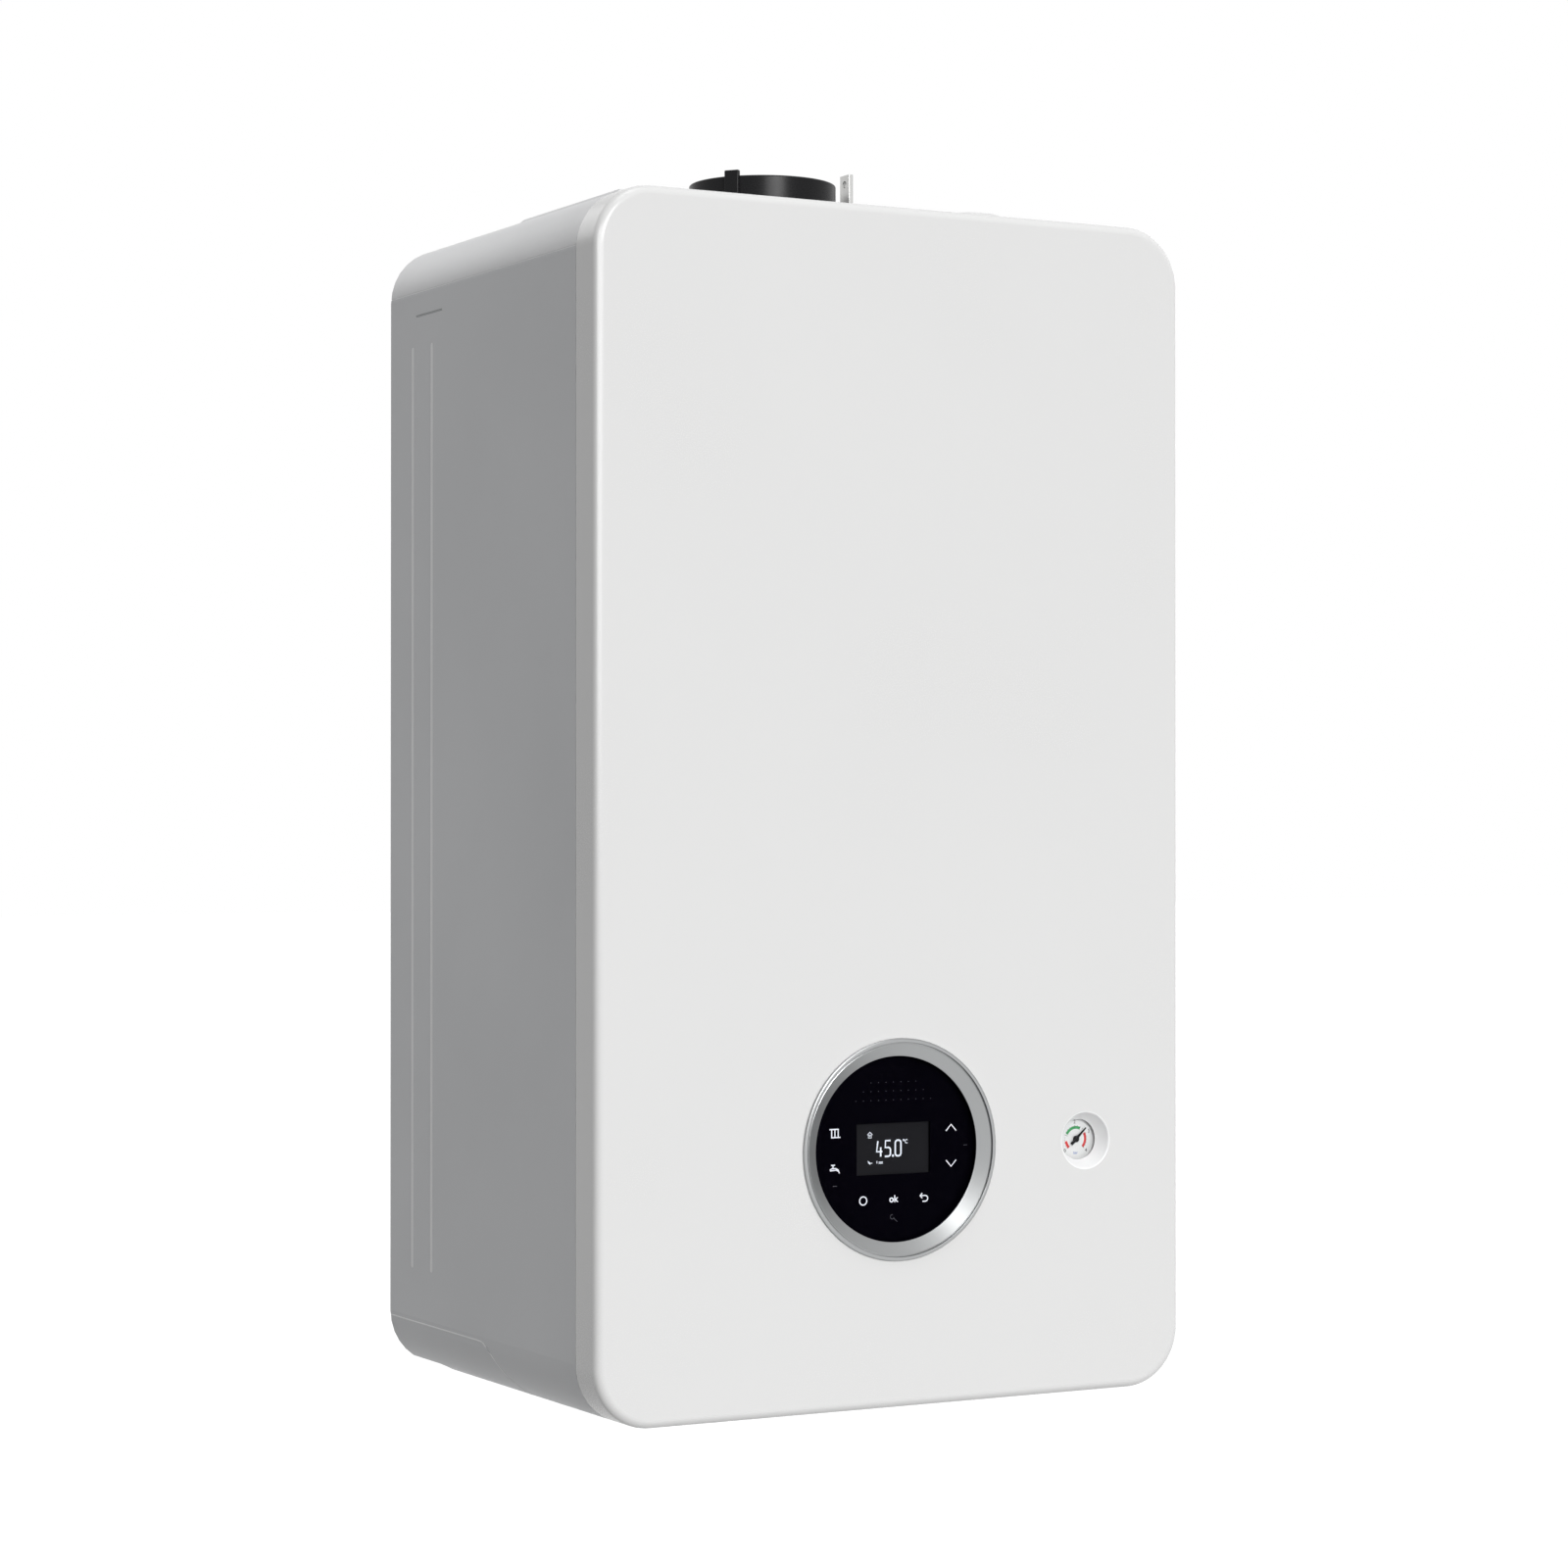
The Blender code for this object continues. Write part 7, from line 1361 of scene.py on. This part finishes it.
# The corner trim's upper line, as (y, height over the case's foot) in millimetres: level, rounded over
# and then straight down to the foot.
TRIM_TOP = 33.25
TRIM_LINE = [
    (-0.6, TRIM_TOP), (-70.0, TRIM_TOP), (-136.0, TRIM_TOP), (-141.0, 33.0), (-144.5, 31.6), (-147.5, 29.0),
]
TRIM_LINE += [(-146.2 - 30.0 * step / 8, TRIM_TOP - 33.0 * step / 8) for step in range(2, 8)]
GROOVE_PLACES = (-35.0, -65.0)


def side_strip(name, side, depths, start, end):
    """A thin strip in a side of the case, between two depths under its skin and two (y, z) corners."""
    skin = side_x(side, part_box("left_side_panel")[1].z / MM)
    corners = [(skin - side * depth, *corner) for depth, corner in zip(depths, (start, end))]
    return block_between(name, corners, 0.1 * MM, 1)


def case_lines(sizes):
    """Painted highlights: whiter strips in the grooves, round the trims and under the top, where light
    catches these edges; and grey backs in the slots, painted shade.
    """
    foot, shoulder = [corner.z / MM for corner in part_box("left_side_panel")]
    half = sizes.line_width / MM / 2
    # How far the painted highlight lead round a trim sits in from the skin.
    seal = sizes.seal_radius / MM + 0.02
    pale, shades = [], []
    for side, label in ((-1, "left"), (1, "right")):
        for number, y in enumerate(GROOVE_PLACES):
            start, end = (y - half, foot + 66.5), (y + half, shoulder - 33.5)
            pale.append(side_strip(f"{label}_groove_line_{number}", side, (0.1, 0.75), start, end))
        path = [(side_x(side, foot + z) - side * seal, y, foot + z) for y, z in TRIM_LINE]
        pale.append(lead(f"{label}_trim_seal", path, sizes.seal_radius))
        start, end = (-272.0, shoulder - 0.2), (-0.6, shoulder + 0.7)
        pale.append(side_strip(f"{label}_top_seal", side, (0.35, 1.4), start, end))
        # A grey back at each slot's floor is painted shade: it darkens the slot to the tone of the shade
        # inside it.
        shades.append(side_strip(f"{label}_slot_back", side, (0.15, 1.2), (-81.2, 8.3), (-39.8, 10.2)))
    # The strips are painted highlights in the whiter finish.
    show(joined("case_pale_lines", pale), "white_paint", "case", material="pale_line")
    show(joined("case_slot_backs", shades), "grey_plastic", "case")


class OBJECT_OT_boiler_fittings(bpy.types.Operator):
    """Model the burner door, the fan's motor and the screws, nuts, plugs, leads and clips"""

    bl_idname = "object.boiler_fittings"
    bl_label = "Fittings"

    def execute(self, context):
        sizes = context.scene.boiler_fittings
        for make in (
            burner_door,
            fan_fittings,
            valve_fittings,
            pump_fittings,
            control_fittings,
            case_fittings,
        ):
            make(sizes)
        return {"FINISHED"}


class OBJECT_OT_boiler_case(bpy.types.Operator):
    """Make the side panels, trims, top cover, rear panel and plates"""

    bl_idname = "object.boiler_case"
    bl_label = "Case"

    pieces = (
        "left_side_panel", "right_side_panel", "left_corner_trim", "right_corner_trim",
        "top_cover", "bottom_plate", "rear_panel", "wall_bracket", "exchanger_shelf",
    )

    def execute(self, context):
        for node in self.pieces:
            edge = 0.0 if node.endswith("side_panel") else context.scene.boiler_finish.soften / 2
            refined(node, edge)
        case_lines(context.scene.boiler_fittings)
        return {"FINISHED"}


def carry_over(nodes, settings):
    """Takes over nodes of the frame with their edges softened."""
    for node in nodes:
        refined(node, settings.soften)


class OBJECT_OT_boiler_heat_cell(bpy.types.Operator):
    """Make the heat exchanger, the burner, the fan and the gas valve"""

    bl_idname = "object.boiler_heat_cell"
    bl_label = "Heat Cell"

    pieces = (
        "heat_exchanger", "exchanger_coil", "burner_tube", "ignition_electrode",
        "fan_housing", "fan_impeller", "mixing_duct", "gas_valve", "gas_pipe",
    )

    def execute(self, context):
        carry_over(self.pieces, context.scene.boiler_finish)
        return {"FINISHED"}


class OBJECT_OT_boiler_water_side(bpy.types.Operator):
    """Make the vessel, pump, valves, trap and pipes"""

    bl_idname = "object.boiler_water_side"
    bl_label = "Water Side"

    pieces = (
        "expansion_vessel", "vessel_hose", "pump_body", "pump_motor", "pump_impeller",
        "diverter_valve", "diverter_actuator", "plate_exchanger", "relief_valve", "relief_knob",
        "air_vent", "condensate_trap", "condensate_hose", "flow_pipe", "return_pipe",
        "hot_water_pipe", "cold_water_pipe", "filling_knob", "boiler_flow_pipe", "boiler_return_pipe",
    )

    def execute(self, context):
        carry_over(self.pieces, context.scene.boiler_finish)
        return {"FINISHED"}


class OBJECT_OT_boiler_controls(bpy.types.Operator):
    """Make the control box, its board and what hangs beside it"""

    bl_idname = "object.boiler_controls"
    bl_label = "Controls"

    pieces = (
        "control_box", "control_box_lid", "circuit_board", "control_hinge_rod",
        "gauge_bracket", "gauge_capillary", "cable_gland",
    )

    def execute(self, context):
        carry_over(self.pieces, context.scene.boiler_finish)
        return {"FINISHED"}


# Stage


def seen_directly(tree):
    """One for what the camera sees, also in a gloss or through glass, and nought for other light."""
    rays = add_node(tree, "LightPath").outputs
    seen = combined(tree, "MAXIMUM", rays["Is Camera Ray"], rays["Is Glossy Ray"])
    return combined(tree, "MAXIMUM", seen, rays["Is Transmission Ray"])


def make_floor_finish():
    """A floor that the camera sees as white from above and as clear from below."""
    tree, shader, place = new_material("stage_floor")
    rough = mapped(tree, noise(tree, place, 30.0, 2.0), "To", 0.7, 0.9)
    behind = add_node(tree, "NewGeometry").outputs["Backfacing"]
    links = [
        ("Roughness", rough),
        ("Emission Strength", combined(tree, "MULTIPLY", seen_directly(tree), 0.92)),
        ("Alpha", combined(tree, "SUBTRACT", 1.0, behind)),
        ("Base Color", (0.27, 0.27, 0.27, 1.0)),
        ("Emission Color", (1.0, 1.0, 1.0, 1.0)),
        ("Specular IOR Level", 0.0),
    ]
    feed(tree, shader, links)


def make_world(ambient):
    """White to the camera, in glass and in gloss, and an even light for everything else."""
    world = bpy.data.worlds.new("studio")
    world.use_nodes = True
    tree = world.node_tree
    strength = mapped(tree, seen_directly(tree), "To", ambient, 1.0)
    feed(tree, tree.nodes["Background"], [("Color", (1.0, 1.0, 1.0, 1.0)), ("Strength", strength)])
    bpy.context.scene.world = world


def add_lamp(name, kind, place, offset, strength):
    """A lamp that stands off from a place and shines back at it."""
    bpy.ops.object.light_add(type=kind, location=place + offset)
    lamp = bpy.context.active_object
    lamp.name = name
    lamp.data.energy = strength
    lamp.rotation_euler = offset.to_track_quat("Z", "Y").to_euler()
    return lamp


# The gloss lamps: how each stands off from its aim, its size, and the pieces that it shows in.
GLOSS_LAMPS = {
    "strip_lamp": ((-1.529, -1.5818, 0.0), (2.4, 1.5), ("front_cover_rounding",)),
    "collar_lamp": ((-0.365, -2.4425, 0.39), (1.2, 1.2), ("flue_collar_made",)),
    "ring_lamp": ((-0.585, -1.605, 1.785), (0.6, 0.6), ("display_ring_turned",)),
    "shoulder_lamp": (
        (-0.6263, 2.1796, 1.0522),
        (1.6, 0.8),
        ("top_cover_made", "front_cover_shell", "front_cover_rounding"),
    ),
}
STRIP_LAMP_HEIGHT = 0.5
SHOULDER_DEPTH = -0.14


def gloss_lamp(name, aim, strength):
    """A flat lamp that shows only in the gloss of a few pieces."""
    offset, size, receivers = GLOSS_LAMPS[name]
    lamp = add_lamp(name, "AREA", aim, Vector(offset), strength)
    lamp.data.shape = "RECTANGLE"
    lamp.data.size, lamp.data.size_y = size
    lamp.visible_diffuse = False
    lamp.visible_camera = False
    lit = bpy.data.collections.new(f"{name}_lights")
    for receiver in receivers:
        lit.objects.link(bpy.data.objects[receiver])
    lamp.light_linking.receiver_collection = lit


def sun_lamp(name, direction, strength, degrees):
    """A distant lamp that shines from a direction, as wide as this many degrees."""
    lamp = add_lamp(name, "SUN", Vector(), 2.0 * Vector(direction), strength)
    lamp.data.angle = math.radians(degrees)


def add_camera(sizes):
    """The camera of the main picture."""
    bpy.ops.object.camera_add(location=sizes.camera_place, rotation=sizes.camera_turn)
    camera = bpy.context.active_object
    camera.name = "photo_camera"
    camera.data.sensor_width = 36.0
    camera.data.lens = sizes.lens
    camera.data.clip_start = 0.05
    camera.data.clip_end = 100.0
    bpy.context.scene.camera = camera


class OBJECT_OT_boiler_stage(bpy.types.Operator):
    """Set up the floor, the lamps and the camera"""

    bl_idname = "object.boiler_stage"
    bl_label = "Stage"

    def execute(self, context):
        sizes = context.scene.boiler_stage
        bpy.ops.object.select_all(action="DESELECT")
        bpy.ops.mesh.primitive_plane_add(size=60.0, location=(0.0, 0.0, sizes.floor_height))
        floor = settle(take_new("stage_floor"))
        make_floor_finish()
        floor.data.materials.append(bpy.data.materials["stage_floor"])
        floor.visible_shadow = False
        make_world(sizes.ambient)
        sun_lamp("key_lamp", (-0.05, -0.92, 0.35), sizes.key, 18)
        sun_lamp("overhead_lamp", (0.0, -0.2, 0.98), sizes.overhead, 30)
        sun_lamp("fill_lamp", (0.45, -0.80, -0.40), sizes.fill, 25)
        corner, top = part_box("front_cover")[0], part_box("top_cover")[0]
        collar_low, collar_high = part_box("flue_collar")
        aims = {
            "strip_lamp": Vector((corner.x, corner.y, STRIP_LAMP_HEIGHT)),
            "collar_lamp": Vector((0.0, collar_low.y, collar_high.z)),
            "ring_lamp": DISPLAY_PLACE,
            "shoulder_lamp": Vector((top.x, SHOULDER_DEPTH, top.z)),
        }
        for name, aim in aims.items():
            gloss_lamp(name, aim, getattr(sizes, name))
        add_camera(sizes)
        context.scene.view_settings.view_transform = "Standard"
        return {"FINISHED"}


class VIEW3D_PT_boiler(bpy.types.Panel):
    """Sidebar panel with the boiler's sizes and steps"""

    bl_idname = "VIEW3D_PT_boiler"
    bl_label = "Condensing Boiler"
    bl_space_type = "VIEW_3D"
    bl_region_type = "UI"
    bl_category = "Boiler"

    def draw(self, context):
        for name in SETTINGS:
            box = self.layout.box()
            settings = getattr(context.scene, name)
            for key in settings.bl_rna.properties.keys():
                if key not in ("rna_type", "name"):
                    box.prop(settings, key)
        for step in STEPS:
            self.layout.operator(step.bl_idname)


SETTINGS = {
    "boiler_cover": BoilerCoverSizes,
    "boiler_display": BoilerDisplaySizes,
    "boiler_gauge": BoilerGaugeSizes,
    "boiler_flue": BoilerFlueSizes,
    "boiler_fittings": BoilerFittingSizes,
    "boiler_finish": BoilerFinishSettings,
    "boiler_stage": BoilerStageSettings,
}
STEPS = (
    OBJECT_OT_boiler_finishes,
    OBJECT_OT_boiler_front_cover,
    OBJECT_OT_boiler_display_ring,
    OBJECT_OT_boiler_display,
    OBJECT_OT_boiler_gauge,
    OBJECT_OT_boiler_flue,
    OBJECT_OT_boiler_case,
    OBJECT_OT_boiler_heat_cell,
    OBJECT_OT_boiler_water_side,
    OBJECT_OT_boiler_controls,
    OBJECT_OT_boiler_fittings,
    OBJECT_OT_boiler_stage,
)


def register():
    for settings in SETTINGS.values():
        bpy.utils.register_class(settings)
    for name, settings in SETTINGS.items():
        setattr(bpy.types.Scene, name, PointerProperty(type=settings))
    for step in STEPS:
        bpy.utils.register_class(step)
    bpy.utils.register_class(VIEW3D_PT_boiler)


def unregister():
    bpy.utils.unregister_class(VIEW3D_PT_boiler)
    for step in reversed(STEPS):
        bpy.utils.unregister_class(step)
    for name in reversed(SETTINGS):
        delattr(bpy.types.Scene, name)
    for settings in reversed(SETTINGS.values()):
        bpy.utils.unregister_class(settings)


def main():
    """Registers the add-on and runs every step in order."""
    register()
    for step in STEPS:
        group, name = step.bl_idname.split(".")
        getattr(getattr(bpy.ops, group), name)()


if __name__ == "__main__":
    main()
